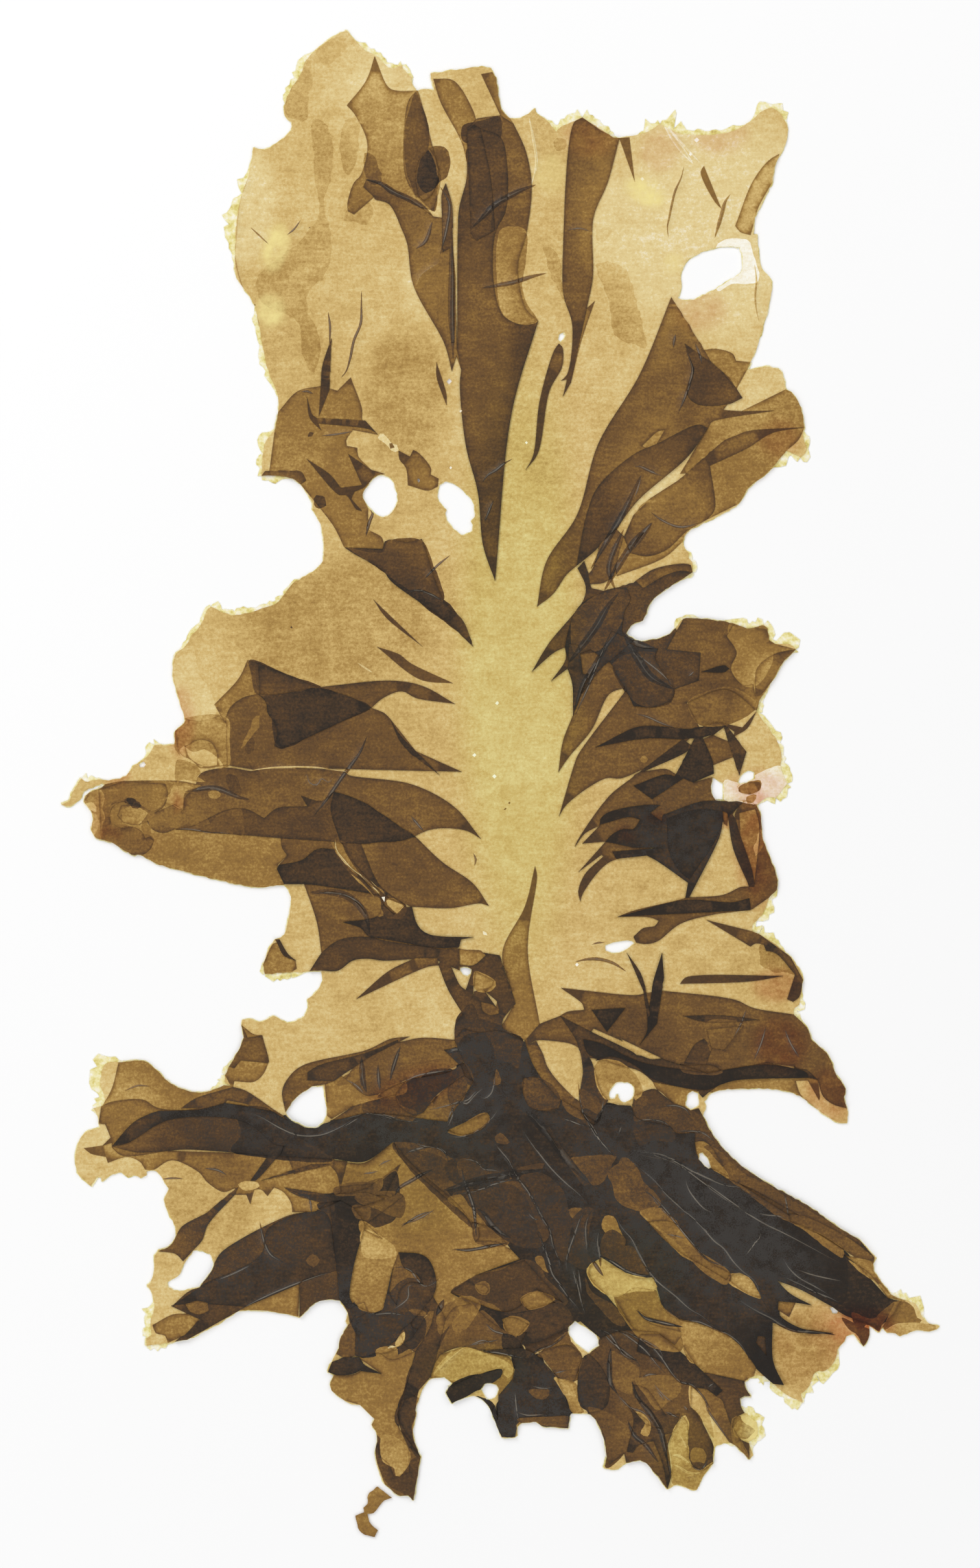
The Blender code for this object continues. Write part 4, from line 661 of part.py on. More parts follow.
         (26, -80.5), (27.6, -81), (27.2, -83.2), (26.2, -84.6), (24.8, -83.6), (23.2, -82.6),
         (20.6, -82.4), (19.2, -81), (18, -79)]),
    (4, [(20.6, -79.2), (22, -80.3), (24, -80.8), (26, -81.4), (27.2, -82.6), (26, -82.2), (24, -81.4),
         (22, -81)]),
    # foot, right part
    (4, [(15, -83.5), (18, -82.4), (21.8, -82.8), (23.7, -82.7), (25.2, -83.8), (26.4, -85), (28, -86.5),
         (30.7, -88.8), (32.9, -89.4), (36.7, -90.1), (36.7, -90.7), (37.6, -92.2), (36.7, -92.2),
         (36, -92.6), (36.1, -93.7), (36.7, -94.8), (35.2, -95.6), (34.8, -97.2), (36, -98.8),
         (37.4, -99.4), (37.4, -101.6), (36.2, -100.5), (35.3, -99.7), (34.4, -99.2), (33.4, -97.6),
         (32.2, -95.8), (30.9, -94), (30.3, -92.3), (28.7, -90.8), (28.6, -93.6), (29.2, -94.5),
         (30.4, -96.6), (31.6, -98.8), (32, -100.6), (32, -102.4), (30.4, -103.4), (28.9, -102.7),
         (28.3, -101.2), (28.1, -99.1), (28.2, -96.6), (27.3, -95.2), (26.6, -96.9), (25.8, -98.2),
         (25.1, -100), (25.5, -101.2), (25.7, -104), (25.1, -106.2), (24.3, -105.2), (22.3, -102.9),
         (21.4, -102), (20.1, -102), (18.9, -102.3), (18.6, -100.8), (16.4, -102.6), (16, -101.5),
         (15.9, -100), (15.5, -98.5), (14.7, -96.5), (13.1, -94.9), (15.3, -94.3), (16.3, -92),
         (15.6, -88.6), (13.4, -86)]),
    (6, [(20.5, -85.5), (24, -87), (27, -90.2), (28.6, -90.6), (30.1, -91.7), (30.9, -93.6), (33.4, -91.4),
         (30, -88.5), (26.4, -85), (23.7, -82.9), (21, -83)]),
    (3, [(28.9, -90.9), (30.3, -92.3), (30.9, -94), (32.2, -95.8), (33.4, -97.6), (34.4, -99.2),
         (37.4, -101.6), (35.8, -98.4), (34.6, -96.4), (33.4, -93), (31, -91.2)]),
    (1, [(28.7, -90.8), (30.3, -92.3), (30.9, -94), (32.2, -95.8), (33.4, -97.6), (34.5, -99.2),
         (33, -99.5), (32.1, -100), (31.5, -98.5), (30.5, -96.5), (29.6, -95), (28.5, -93.8), (28.4, -92)]),
    (2, [(20.3, -94.7), (21.2, -95), (22.3, -96.2), (22.5, -97.3), (22, -98.4), (21.2, -98.3),
         (21.4, -97.2), (20.9, -96)]),
    (5, [(27, -94.9), (24.8, -95), (23.5, -93), (21.8, -91), (20, -90.6), (20, -92), (22.5, -94.4),
         (24.6, -98), (25.2, -101.4), (25.5, -105), (25.1, -106.2), (24.4, -102.6), (23, -99), (20.8, -99.6),
         (19.9, -100.8), (19, -100.6), (19.4, -98), (20, -95.6), (19, -93.4), (17, -91), (18.4, -92.6),
         (22, -96.6), (26, -97.6)]),
    # foot, middle part
    (5, [(-0.2, -91.8), (0.5, -91.4), (1.9, -89.6), (2.2, -87.4), (1.6, -86.3), (0, -85.9), (-2.8, -85.6),
         (0, -84), (5, -85.8), (6.6, -87.6), (8.5, -89.4), (9.5, -91.5), (10.4, -93.5), (10.8, -94.9),
         (10.3, -95.2), (2.8, -95.6), (2.4, -96.8), (2.2, -98.4), (0.2, -98.4), (-0.9, -96.2), (-1.3, -94.8),
         (-0.8, -93.6), (-0.4, -96), (-0.2, -94.4), (-0.4, -92.6)]),
    (3, [(10.3, -95.1), (10.2, -97), (6.3, -96.7), (5.4, -96.1), (2.7, -96.3), (2.8, -95.4)]),
    (1, [(8.5, -89.4), (10, -89.9), (11, -90.3), (11.7, -91.5), (11.7, -93), (12.5, -94.2), (13.1, -94.9),
         (10.7, -94.9), (10.4, -93.5), (9.5, -91.5)]),
    (5, [(13.2, -86), (14.5, -87), (15.8, -89), (16.4, -91), (16.2, -93), (15.3, -94.3), (13.2, -94.8),
         (12, -93), (11.7, -90.5), (11.8, -88), (12.3, -86.6)]),
    (3, [(5.7, -85.7), (9.8, -84.6), (11, -85), (12.2, -86.3), (11.5, -88.5), (11, -90.2), (8.5, -89.3),
         (7, -87.8)]),
    (2, [(-9.9, -87.4), (-9, -86), (-6.9, -85.1), (-5, -84.8), (-2.9, -85.6), (-0.1, -85.9), (1.4, -86.5),
         (2, -87.7), (1.9, -89.6), (0.5, -91.4), (-0.3, -92.2), (-0.6, -90.5), (-1.5, -90.3),
         (-2.4, -90.5), (-3.2, -91.4), (-7.4, -90.2), (-8.4, -89.4), (-10.5, -89.6)]),
    (5, [(-7.8, -91), (-7.2, -90.4), (-5.3, -89.7), (-3.5, -89), (-1.3, -88.7), (0.5, -88.1),
         (-0.1, -89.4), (-1.6, -90.2), (-3.2, -91), (-5, -92.2), (-7.3, -93.3), (-8.1, -91.7)]),
    (3, [(-9, -82), (-7, -79), (-4.5, -78), (-2, -80.6), (1, -82.6), (4, -82.6), (3, -85), (-3, -85.4),
         (-5, -84.8), (-6.9, -85.1), (-9, -86), (-10, -87.4), (-9.8, -84.6)]),
    (2, [(3.1, -77.6), (4.5, -76.5), (5.5, -76.2), (7, -77.2), (8.3, -78.2), (6, -78.9), (4, -79.3),
         (3.3, -78.5)]),
    (2, [(0.2, -80.7), (1.5, -80.3), (3, -80.7), (4.3, -81.4), (3.5, -82.3), (2.5, -83.4), (1, -82.6)]),
    (3, [(-7.5, -76.7), (-5.6, -75.2), (-3.8, -74.1), (-1.3, -73.3), (0.5, -72.7), (3.6, -71.8),
         (4.8, -73), (7, -75.4), (9.4, -78.2), (7, -77.2), (5.5, -76.2), (4.5, -76.5), (3.1, -77.6),
         (3.3, -78.5), (1, -79.6), (-3.5, -78.2), (-6.2, -77.2)]),
    (2, [(-3.9, -75.5), (-2.3, -75.6), (-1.8, -76.3), (-2.2, -76.9), (-3.2, -76.6)]),
    # brown field between the heart and the foot
    (2, [(-20.4, -57.2), (-18.5, -55.5), (-16.2, -54.1), (-15.8, -55.1), (-15, -56.3), (-13.5, -57.5),
         (-12, -58.7), (-10, -60.6), (-8.5, -62), (-7.5, -63.4), (-6.3, -64), (-5, -65.5), (-4.2, -67),
         (-4, -69), (-1, -69), (1.6, -70.2), (3, -71.7), (0.5, -72.7), (-1.3, -73.3), (-3.8, -74.1),
         (-5.6, -75.2), (-7.5, -76.7), (-4.5, -78.4), (-7, -79), (-9, -82), (-10, -84.6), (-10.6, -80),
         (-10.1, -77.3), (-9.6, -75.5), (-9.8, -74), (-10.5, -72.1), (-11.8, -71), (-13.9, -70.6),
         (-15.6, -70.6), (-17.4, -68.9), (-19.6, -67.3), (-20.2, -66.4), (-17.4, -64.4), (-14.6, -62.2),
         (-15.4, -61.6), (-16.6, -62.4), (-18.6, -61.6), (-17, -60.2), (-19.4, -60.6), (-24, -60.8),
         (-27, -60), (-30, -58.6), (-26, -57.2), (-23, -57)]),
    (3, [(-24, -62.1), (-20, -61), (-17.5, -59.4), (-15, -57.4), (-16, -60), (-17.3, -62.1)]),
    (4, [(-4.4, -66.4), (-3.6, -66), (-3.2, -68.4), (-3.8, -69), (-4.2, -68)]),
    (2, [(-8, -52.3), (-6, -51.4), (-4, -50.5), (-2, -49.6), (-1.6, -50.2), (-2.3, -51.8), (-4, -52.7),
         (-6, -53), (-7.8, -52.7)]),
    # lower left lobes
    (2, [(-59.8, -48.6), (-59.5, -47.6), (-58.4, -46), (-57.6, -43.6), (-57.4, -42.1), (-53.4, -42),
         (-52.6, -42.6), (-51.4, -43.8), (-50, -44.9), (-48.6, -45.7), (-47.1, -46.4), (-45.6, -46.6),
         (-44.3, -46.6), (-42.8, -46), (-41.6, -45.6), (-40.2, -45.8), (-38.4, -46.3), (-37, -47.2),
         (-35.7, -48.2), (-33.6, -49.5), (-35, -50), (-41.3, -48.2), (-45, -49.2), (-50.5, -49.4),
         (-54, -48), (-58.7, -48.3)]),
    (3, [(-40.2, -45.8), (-38.4, -46.3), (-37, -47.2), (-35.7, -48.2), (-33.6, -49.5), (-32.3, -50.3),
         (-35, -50.6), (-38, -48.4), (-41, -47.8), (-45, -48.9), (-48, -49), (-46, -47.6), (-43, -47)]),
    (3, [(-60, -48.7), (-58.7, -48.1), (-56.6, -47.8), (-53.8, -47.7), (-52.3, -48.3), (-51.4, -49),
         (-49.5, -49.3), (-47.4, -49.3), (-45, -49.1), (-43.1, -48.6), (-41.3, -48.1), (-39.4, -48.3),
         (-37.6, -48.6), (-35, -49), (-33.6, -49.5), (-31.8, -50.9), (-30.9, -51.2), (-33, -56),
         (-34.5, -55.9), (-40, -55.8), (-45, -55.5), (-47.4, -55.2), (-49.9, -55.3), (-54.7, -55.6),
         (-56.9, -56.1), (-59.3, -56.2), (-59.8, -54.6), (-58.6, -53.4), (-59.4, -51.4), (-60.4, -51.3),
         (-60.5, -50.2)]),
    (4, [(-58.4, -54.7), (-56.9, -52.8), (-55, -51), (-53.2, -49.9), (-51.4, -49.4), (-49.5, -49.3),
         (-47.4, -49.3), (-45, -49.1), (-43.1, -48.6), (-41.3, -48.1), (-39.4, -48.3), (-37.6, -48.6),
         (-35, -49), (-33, -50.2), (-31.6, -51.2), (-33, -56), (-34.5, -55.9), (-40, -55.8),
         (-45, -55.5), (-47.4, -55.2), (-49.9, -55.3), (-54.7, -55.6)]),
    (6, [(-58.4, -54.7), (-56.9, -52.8), (-55, -51), (-53.2, -49.9), (-51.4, -49.4), (-45, -49.2),
         (-41.3, -48.2), (-38, -48.6), (-34.4, -49.4), (-31.6, -51), (-29.3, -51.8), (-27.9, -52),
         (-26.6, -51.3), (-24, -50.6), (-24, -53.6), (-30, -55), (-34, -54.4), (-37.6, -51.4), (-41, -50.4),
         (-45, -50.4), (-50, -50.8), (-52.4, -52), (-54.4, -53.4), (-56, -54.2)]),
    (2, [(-62.6, -55), (-60.6, -54.4), (-58.4, -54.2), (-58.4, -54.9), (-56.9, -56.1), (-54.7, -55.7),
         (-52, -55.7), (-49.9, -55.4), (-45, -55.5), (-40, -55.8), (-34.6, -56), (-28.7, -56.3),
         (-25, -56.6), (-24, -61.6), (-26, -63.3), (-28, -64.6), (-31.3, -64.6), (-31.4, -63.4),
         (-32.6, -61.6), (-34, -60.9), (-35, -62.2), (-36, -61.2), (-37, -61.2), (-37.6, -63.4),
         (-38.2, -62), (-39.9, -62), (-39.9, -61), (-41.6, -61.6), (-43.1, -60.8), (-44.3, -59.9),
         (-45.1, -58.8), (-46.5, -58), (-48, -57.3), (-49.4, -56.8), (-50.8, -57.4), (-52, -58.2),
         (-53.4, -58.2), (-54, -57.2), (-56, -56.3), (-58, -57.2), (-59, -57.2), (-59.3, -56.3),
         (-61.6, -55.8)]),
    (3, [(-32, -56.2), (-28.7, -56.3), (-25, -56.6), (-23, -57), (-24, -61.6), (-24.6, -58.8),
         (-25.6, -57.6), (-28.5, -58), (-31, -58.9)]),
    (4, [(-37.6, -59.9), (-36.9, -59.9), (-35.8, -58.9), (-34.5, -57.5), (-33.3, -56.1), (-34.9, -56.1),
         (-35.8, -57), (-36.8, -58.5)]),
    (4, [(-36, -59.9), (-33.5, -58.9), (-31, -58.1), (-28.5, -57.4), (-25.5, -57.4), (-28.5, -58),
         (-31, -59), (-33.5, -59.5)]),
    (4, [(-32.5, -60.9), (-30.5, -61.4), (-28, -61.6), (-25.5, -62), (-23, -61.5), (-20, -61.6),
         (-17.4, -62.6), (-19, -63.4), (-22, -64), (-24, -62.8), (-27, -63.2), (-29, -62.4), (-31, -61.9)]),
    # great lower left pleat
    (4, [(-49.5, -78.7), (-48.3, -77.6), (-46.8, -76.5), (-45.2, -75.9), (-44.2, -74.7), (-43.3, -73.3),
         (-43, -72.3), (-41.9, -70.6), (-40, -69.7), (-38.2, -68.6), (-36.4, -67.5), (-34.5, -66.6),
         (-33.6, -66), (-31.8, -65.1), (-29.6, -64.6), (-27.5, -64.3), (-26, -63.4), (-24, -62.9),
         (-22, -64), (-20.4, -66.4), (-20.9, -68.5), (-21.4, -70.9), (-22.1, -73), (-22.3, -75.2),
         (-22.6, -77.6), (-21.9, -78.6), (-19.8, -79.6), (-21.6, -80.6), (-21.6, -84.6), (-21.8, -86.2),
         (-22.4, -82.6), (-22.9, -81.6), (-22.9, -79.8), (-23.5, -78.6), (-24.1, -77.9), (-25.8, -77.7),
         (-27.2, -78), (-28.3, -78.6), (-29, -79.3), (-30.2, -80.4), (-30.1, -75.2), (-32.1, -75.9),
         (-34.2, -76.9), (-36.4, -77.8), (-38.2, -78.9), (-40, -79.7), (-41.3, -80.5), (-42.6, -81.5),
         (-44.3, -82.4), (-45.9, -83.2), (-47.1, -83.8), (-48.9, -84.1), (-47.5, -83.1), (-46.2, -81.6),
         (-45, -80.6), (-46.6, -79.9), (-48, -79.4)]),
    (5, [(-45, -75.6), (-42.6, -74.6), (-39.4, -73), (-36, -71), (-35, -67.2), (-31.8, -65.3),
         (-27.5, -64.4), (-26, -65), (-25, -70), (-24.4, -73.3), (-27.8, -74.2), (-30.1, -75.2),
         (-34.2, -76.8), (-38.2, -78.8), (-42, -78.8), (-44.8, -78.6), (-46.6, -78.2), (-49.2, -78.6),
         (-48, -77.6)]),
    (6, [(-25.6, -63.6), (-24, -62.9), (-22, -64), (-20.4, -66.4), (-20.9, -68.5), (-21.4, -70.9),
         (-22.1, -73), (-22.3, -75.2), (-22.6, -77.6), (-21.9, -78.6), (-22.8, -79.2), (-24.2, -77.6),
         (-24.6, -73.4), (-24.8, -70)]),
    (2, [(-39.1, -79.3), (-36.4, -77.9), (-34.2, -77), (-32.1, -76), (-30.2, -75.4), (-30.4, -80.3),
         (-31.5, -80), (-32.7, -79.8), (-35, -79.5), (-37.9, -79.3)]),
    (2, [(-52.3, -81.6), (-51, -80.6), (-49.2, -80), (-47, -79.9), (-45.2, -80.7), (-46.2, -81.6),
         (-47.5, -83.1), (-48.9, -84.1), (-50, -84.3), (-50.4, -83.2), (-51.8, -82.8)]),
    (3, [(-46.6, -79.6), (-47.4, -78.4), (-45.6, -77.9), (-44, -78.2), (-43.8, -79.4), (-45.2, -80)]),
    (3, [(-39.4, -60.8), (-40, -61.1), (-41.3, -62), (-42.8, -63.4), (-44.3, -64.8), (-46.2, -65.7),
         (-47.9, -66.8), (-48.8, -67.9), (-49.2, -69.2), (-50.1, -70), (-51.4, -70.5), (-50.5, -70.9),
         (-48.8, -70.9), (-48.6, -71.5), (-47.7, -72), (-46.8, -70.6), (-45.9, -69.7), (-44.8, -68.8),
         (-44.6, -68.5), (-44, -66.6), (-43.1, -65.4), (-41.9, -63.9), (-41, -63), (-39.9, -62)]),
    # lower left of the foot
    (5, [(-15.6, -70.6), (-13.9, -70.6), (-11.8, -71), (-10.5, -72.1), (-9.8, -74), (-9.6, -75.5),
         (-10.1, -77.3), (-11.1, -78.6), (-12.5, -80.1), (-13.6, -81.3), (-15, -82.6), (-14.8, -84.4),
         (-16.1, -85.4), (-18, -85.6), (-20.4, -86.4), (-21.8, -86.2), (-21.6, -80.6), (-19.8, -79.6),
         (-18.8, -79.9), (-18, -79.5), (-17.4, -77.3), (-17.1, -75.5), (-16.3, -73.3), (-15.6, -71.8)]),
    (3, [(-16.2, -73.1), (-14.6, -72.8), (-12.6, -74), (-11.6, -75.4), (-13.6, -75.2), (-15, -76.2),
         (-15.6, -78.6), (-16.6, -77)]),
    (2, [(-20.5, -67.2), (-18.5, -68), (-16.3, -69.4), (-15.1, -70), (-15.6, -71.8), (-16.3, -73.3),
         (-17.1, -75.5), (-17.4, -77.3), (-18, -79.5), (-18.8, -79.9), (-20, -79.5), (-20.5, -78.2),
         (-21.9, -78.6), (-22.6, -77.6), (-22.3, -75.2), (-22.1, -73), (-21.4, -70.9), (-20.9, -68.5)]),
    (3, [(-21.8, -80), (-22.9, -81.6), (-23.5, -82.7), (-24.1, -83.8), (-24.3, -85), (-24.7, -85.9),
         (-23.4, -86.6), (-21.8, -86.2), (-21.6, -84.6)]),
    (5, [(-25.3, -87.1), (-23.4, -86.4), (-21.2, -86.4), (-20.6, -87.4), (-19, -88), (-17.9, -88.9),
         (-19.4, -88.6), (-21, -88.4), (-22.4, -89), (-25, -89), (-25.9, -88.6)]),
    (2, [(-20.9, -86.8), (-18.4, -85.7), (-16.4, -86.8), (-14.6, -86.3), (-13, -85.6), (-12.8, -86.8),
         (-13.6, -89), (-14.6, -92), (-15.4, -94.6), (-14.9, -96.6), (-13.6, -98.6), (-12.7, -99.8),
         (-13.1, -98.5), (-13.1, -96.6), (-12.7, -95.4), (-12.7, -93.9), (-12.2, -92.6), (-14, -92),
         (-14.9, -93.8), (-15.4, -95.4), (-15, -97.4), (-13.4, -99.8), (-13.8, -104), (-16.4, -104.6),
         (-18, -102), (-18.6, -99.8), (-18.5, -99.1), (-18.6, -97.8), (-19.3, -96.6), (-18.9, -95.7),
         (-20, -94.6), (-21.1, -93.6), (-22.3, -93.5), (-23.5, -92.9), (-24.6, -92), (-25.4, -91.4),
         (-25.6, -90.6), (-25.2, -89.7), (-25, -89.1), (-22.4, -89.1), (-21, -88.5), (-19.4, -88.7),
         (-17.9, -88.9), (-19, -87.9), (-20.6, -87.4)]),
    (4, [(-15, -82.6), (-13.6, -81.3), (-12.5, -80.1), (-11.1, -78.6), (-10.1, -77.3), (-9.6, -78.4),
         (-8.2, -80.6), (-9, -83), (-10, -87), (-10.5, -89.4), (-11.8, -91.2), (-13, -92.2), (-14.6, -92.8),
         (-14.4, -91), (-13.6, -89), (-12.8, -86.8), (-12.6, -85), (-14.4, -84.6)]),
    (3, [(-14.8, -84.4), (-13.4, -83.6), (-11.6, -81), (-11, -79.4), (-9.9, -79.4), (-10.6, -82),
         (-12.4, -84.4), (-12.8, -85.6)]),
    (2, [(-16.9, -84.8), (-15, -83), (-14.6, -84), (-15.9, -85.5)]),
    (2, [(-13.5, -81.2), (-11.2, -78.8), (-11.1, -80), (-12.4, -82.2), (-13.2, -82)]),
    (4, [(-14.9, -92.8), (-15.5, -95), (-15.2, -97), (-14.4, -98.3), (-13, -99.8), (-12, -101.4),
         (-12.5, -101), (-14, -99.6), (-15.1, -98), (-15.8, -96.2), (-15.8, -94.8), (-15.2, -93.2)]),
    (3, [(-18.4, -99.4), (-18, -101.4), (-17, -102.2), (-16.6, -103.4), (-15.9, -104.5), (-14.6, -104.2),
         (-13.7, -103.7), (-13.6, -101.4), (-13.8, -100), (-13, -100.6), (-12, -101.4), (-12.3, -102.4),
         (-12.5, -103.7), (-12.7, -105.2), (-12.9, -106.7), (-13.1, -108), (-13.9, -107.2),
         (-15.1, -107.3), (-15.9, -106.6), (-16.6, -106), (-17.4, -105.5), (-17.6, -104.7),
         (-18.2, -103.7), (-18.6, -102.1), (-18.8, -100.3)]),
    # upper left folds
    (2, [(-33.4, 55.7), (-32, 57.5), (-30.5, 58.8), (-29.3, 58.8), (-27, 59.6), (-24.5, 58.9),
         (-22.5, 60.9), (-22.1, 60.1), (-21.7, 58.6), (-21.2, 57.4), (-20.8, 56.1), (-20.8, 54.6),
         (-20, 53.2), (-18.4, 52.3), (-20.5, 52.7), (-22.2, 53), (-22.8, 52.3), (-23.2, 51.4),
         (-23.1, 50.6), (-21.5, 50.3), (-21.4, 49.1), (-20.9, 48.5), (-19.7, 47.6), (-19.2, 46.9),
         (-18.4, 46.2), (-19.9, 44.8), (-20.7, 43.3), (-20.5, 42.3), (-19.9, 41.3), (-19.9, 38),
         (-18.8, 37.4), (-17.8, 36.8), (-17.4, 35.1), (-20, 33.6), (-22.2, 34.5), (-23.4, 35.3),
         (-24, 36.2), (-25, 38.4), (-28.2, 42), (-29.2, 43.3), (-30, 44.8), (-31.3, 45.7), (-32.4, 45.9),
         (-34.8, 46.3), (-34.6, 48), (-34.2, 50), (-34, 52), (-33.6, 54)]),
    (3, [(-25.4, 66.8), (-26, 65), (-26.8, 62.5), (-26.9, 60), (-27.1, 57.5), (-27.3, 55), (-26.2, 57),
         (-25.7, 59), (-25.4, 62), (-25.2, 65)]),
    (3, [(-29.1, 58), (-29, 56), (-28.6, 54.7), (-27.6, 53.6), (-26.9, 52.9), (-27.4, 54), (-25, 53.7),
         (-22.5, 53.5), (-20.8, 53), (-19.4, 53), (-18.4, 52.3), (-20, 53.9), (-20.3, 54.4), (-23, 54.4),
         (-25, 54.6), (-27.6, 54.8), (-28.2, 55.2), (-28.8, 57)]),
    (3, [(-29.2, 48.7), (-27, 47.3), (-25.5, 46.2), (-24, 44.3), (-22.2, 44.3), (-20.8, 44.7),
         (-21.2, 46.3), (-21.9, 47.2), (-22.9, 49.4), (-20.9, 47.9), (-19.4, 47), (-17.4, 46.4),
         (-19, 46.1), (-20, 45.4), (-20.7, 44.2), (-21.9, 43.7), (-22.4, 42.6), (-20.8, 40.8),
         (-21.6, 41), (-23.2, 43.2), (-24.2, 43.2), (-25, 44.2), (-26.8, 46.4), (-28.5, 48)]),
    (3, [(-35.9, 46.1), (-34.8, 46.1), (-33.8, 46.1), (-32.4, 45.9), (-31.3, 45.7), (-30.5, 45.3),
         (-30, 44.8), (-29.2, 45.4), (-29.8, 46.6), (-30.6, 46.9), (-33, 46.9), (-35.4, 46.8)]),
    (2, [(-15.3, 49.9), (-14.5, 49.2), (-13.6, 49), (-13.1, 50), (-12.5, 49.7), (-12, 48.9), (-11.1, 48.3),
         (-10.9, 47.6), (-10.4, 47.1), (-10.5, 46.3), (-9.3, 45.7), (-9.4, 44.5), (-10, 44.1),
         (-10.8, 43.9), (-11.8, 44), (-12.7, 44.5), (-13.9, 44.7), (-14.2, 45.1), (-13.9, 46),
         (-14.2, 47.3), (-14.8, 47.9), (-15.2, 48.6)]),
    (4, [(-23.5, 35.4), (-22.5, 35.2), (-19.7, 35.2), (-17.7, 35.1), (-17.4, 36.2), (-16.6, 36.5),
         (-15.1, 36.4), (-13.9, 36.1), (-12.7, 36.4), (-11.8, 36.6), (-11.1, 34.8), (-10.5, 33.5),
         (-9.9, 32.1), (-9.4, 30.4), (-8.8, 28.3), (-8.5, 27.3), (-7.8, 26.4), (-6.5, 25.2), (-5.6, 24.3),
         (-5, 22.7), (-4.5, 21.2), (-4.1, 20.4), (-5.3, 21.4), (-6.5, 22.6), (-7.8, 24), (-10.2, 25.8),
         (-11.8, 27), (-13.6, 28.3), (-15.1, 29.2), (-16.5, 30.3), (-17.6, 31.8), (-18.8, 32.7),
         (-20.3, 33.6), (-22.2, 34.5)]),
    (2, [(-18.6, 20.4), (-17.1, 20.1), (-15.1, 19.2), (-13.6, 18), (-11.8, 17.1), (-10.2, 16.3),
         (-8.7, 15.7), (-7.8, 15.3), (-7.1, 14.9), (-9.3, 14.9), (-10.8, 15.1), (-12.1, 15.5),
         (-13.6, 16.7), (-15.1, 17.9), (-16.6, 19.2), (-17.9, 20)]),
    (2, [(-19.1, 27.5), (-17.7, 26.2), (-16.5, 24.9), (-15.2, 23.7), (-13, 21.8), (-11.7, 20.4),
         (-13.4, 21.5), (-15.7, 23.4), (-17.2, 24.8), (-18.2, 26)]),
]

SCRAP = [
    (-18.5, -105.9), (-17.6, -106.6), (-16.3, -107.6), (-17.4, -108), (-18.3, -108.9),
    (-19.1, -109.9), (-20, -110), (-19.7, -111.2), (-18.4, -112.5), (-18.9, -113.5), (-20, -113.3),
    (-21.2, -112.5), (-21.5, -111.6), (-21.8, -110.3), (-20.5, -109.8), (-20.6, -109.1),
    (-20, -108.6), (-19.9, -107.2), (-19.1, -106.4),
]


def straightened(points, within):
    """The closed outline without the points that lie within a distance of its own line."""
    def run(part):
        if len(part) < 3:
            return part[:1]
        a, b = Vector(part[0]), Vector(part[-1])
        along = b - a
        best, at = 0.0, 0
        for n in range(1, len(part) - 1):
            p = Vector(part[n]) - a
            if along.length < 1e-9:
                off = p.length
            else:
                off = abs(along.x * p.y - along.y * p.x) / along.length
            if off > best:
                best, at = off, n
        if best <= within:
            return part[:1]
        return run(part[: at + 1]) + run(part[at:])

    far = max(range(len(points)), key=lambda n: (Vector(points[n]) - Vector(points[0])).length)
    return run(points[: far + 1]) + run(points[far:] + points[:1])


def inside(x, y, points):
    """Whether a point is within a closed outline."""
    found = False
    for (ax, ay), (bx, by) in zip(points, points[1:] + points[:1]):
        if (ay > y) != (by > y) and x < (bx - ax) * (y - ay) / (by - ay) + ax:
            found = not found
    return found


def cells(outlines, join):
    """The corners and triangles that the outlines cut the plane into."""
    corners, edges = [], []
    for points in outlines:
        first = len(corners)
        corners += [Vector(p) for p in points]
        count = len(points)
        edges += [(first + n, first + (n + 1) % count) for n in range(count)]
    for _ in range(3):
        made = delaunay_2d_cdt(corners, edges, [], 2, join)
        corners, edges = made[0], made[1]
        near = {}
        for n, p in enumerate(corners):
            near.setdefault((round(p.x / join / 0.8), round(p.y / join / 0.8)), n)
        kept = [near[(round(p.x / join / 0.8), round(p.y / join / 0.8))] for p in corners]
        edges = sorted({tuple(sorted((kept[a], kept[b]))) for a, b in edges if kept[a] != kept[b]})
        used = sorted({n for edge in edges for n in edge})
        place = {n: m for m, n in enumerate(used)}
        corners = [corners[n] for n in used]
        edges = [(place[a], place[b]) for a, b in edges]
    made = delaunay_2d_cdt(corners, edges, [], 0, 1e-5)
    return [tuple(p) for p in made[0]], [tuple(f) for f in made[2]]


def area(corners, face):
    (ax, ay), (bx, by), (cx, cy) = (corners[n] for n in face)
    return ((bx - ax) * (cy - ay) - (by - ay) * (cx - ax)) / 2


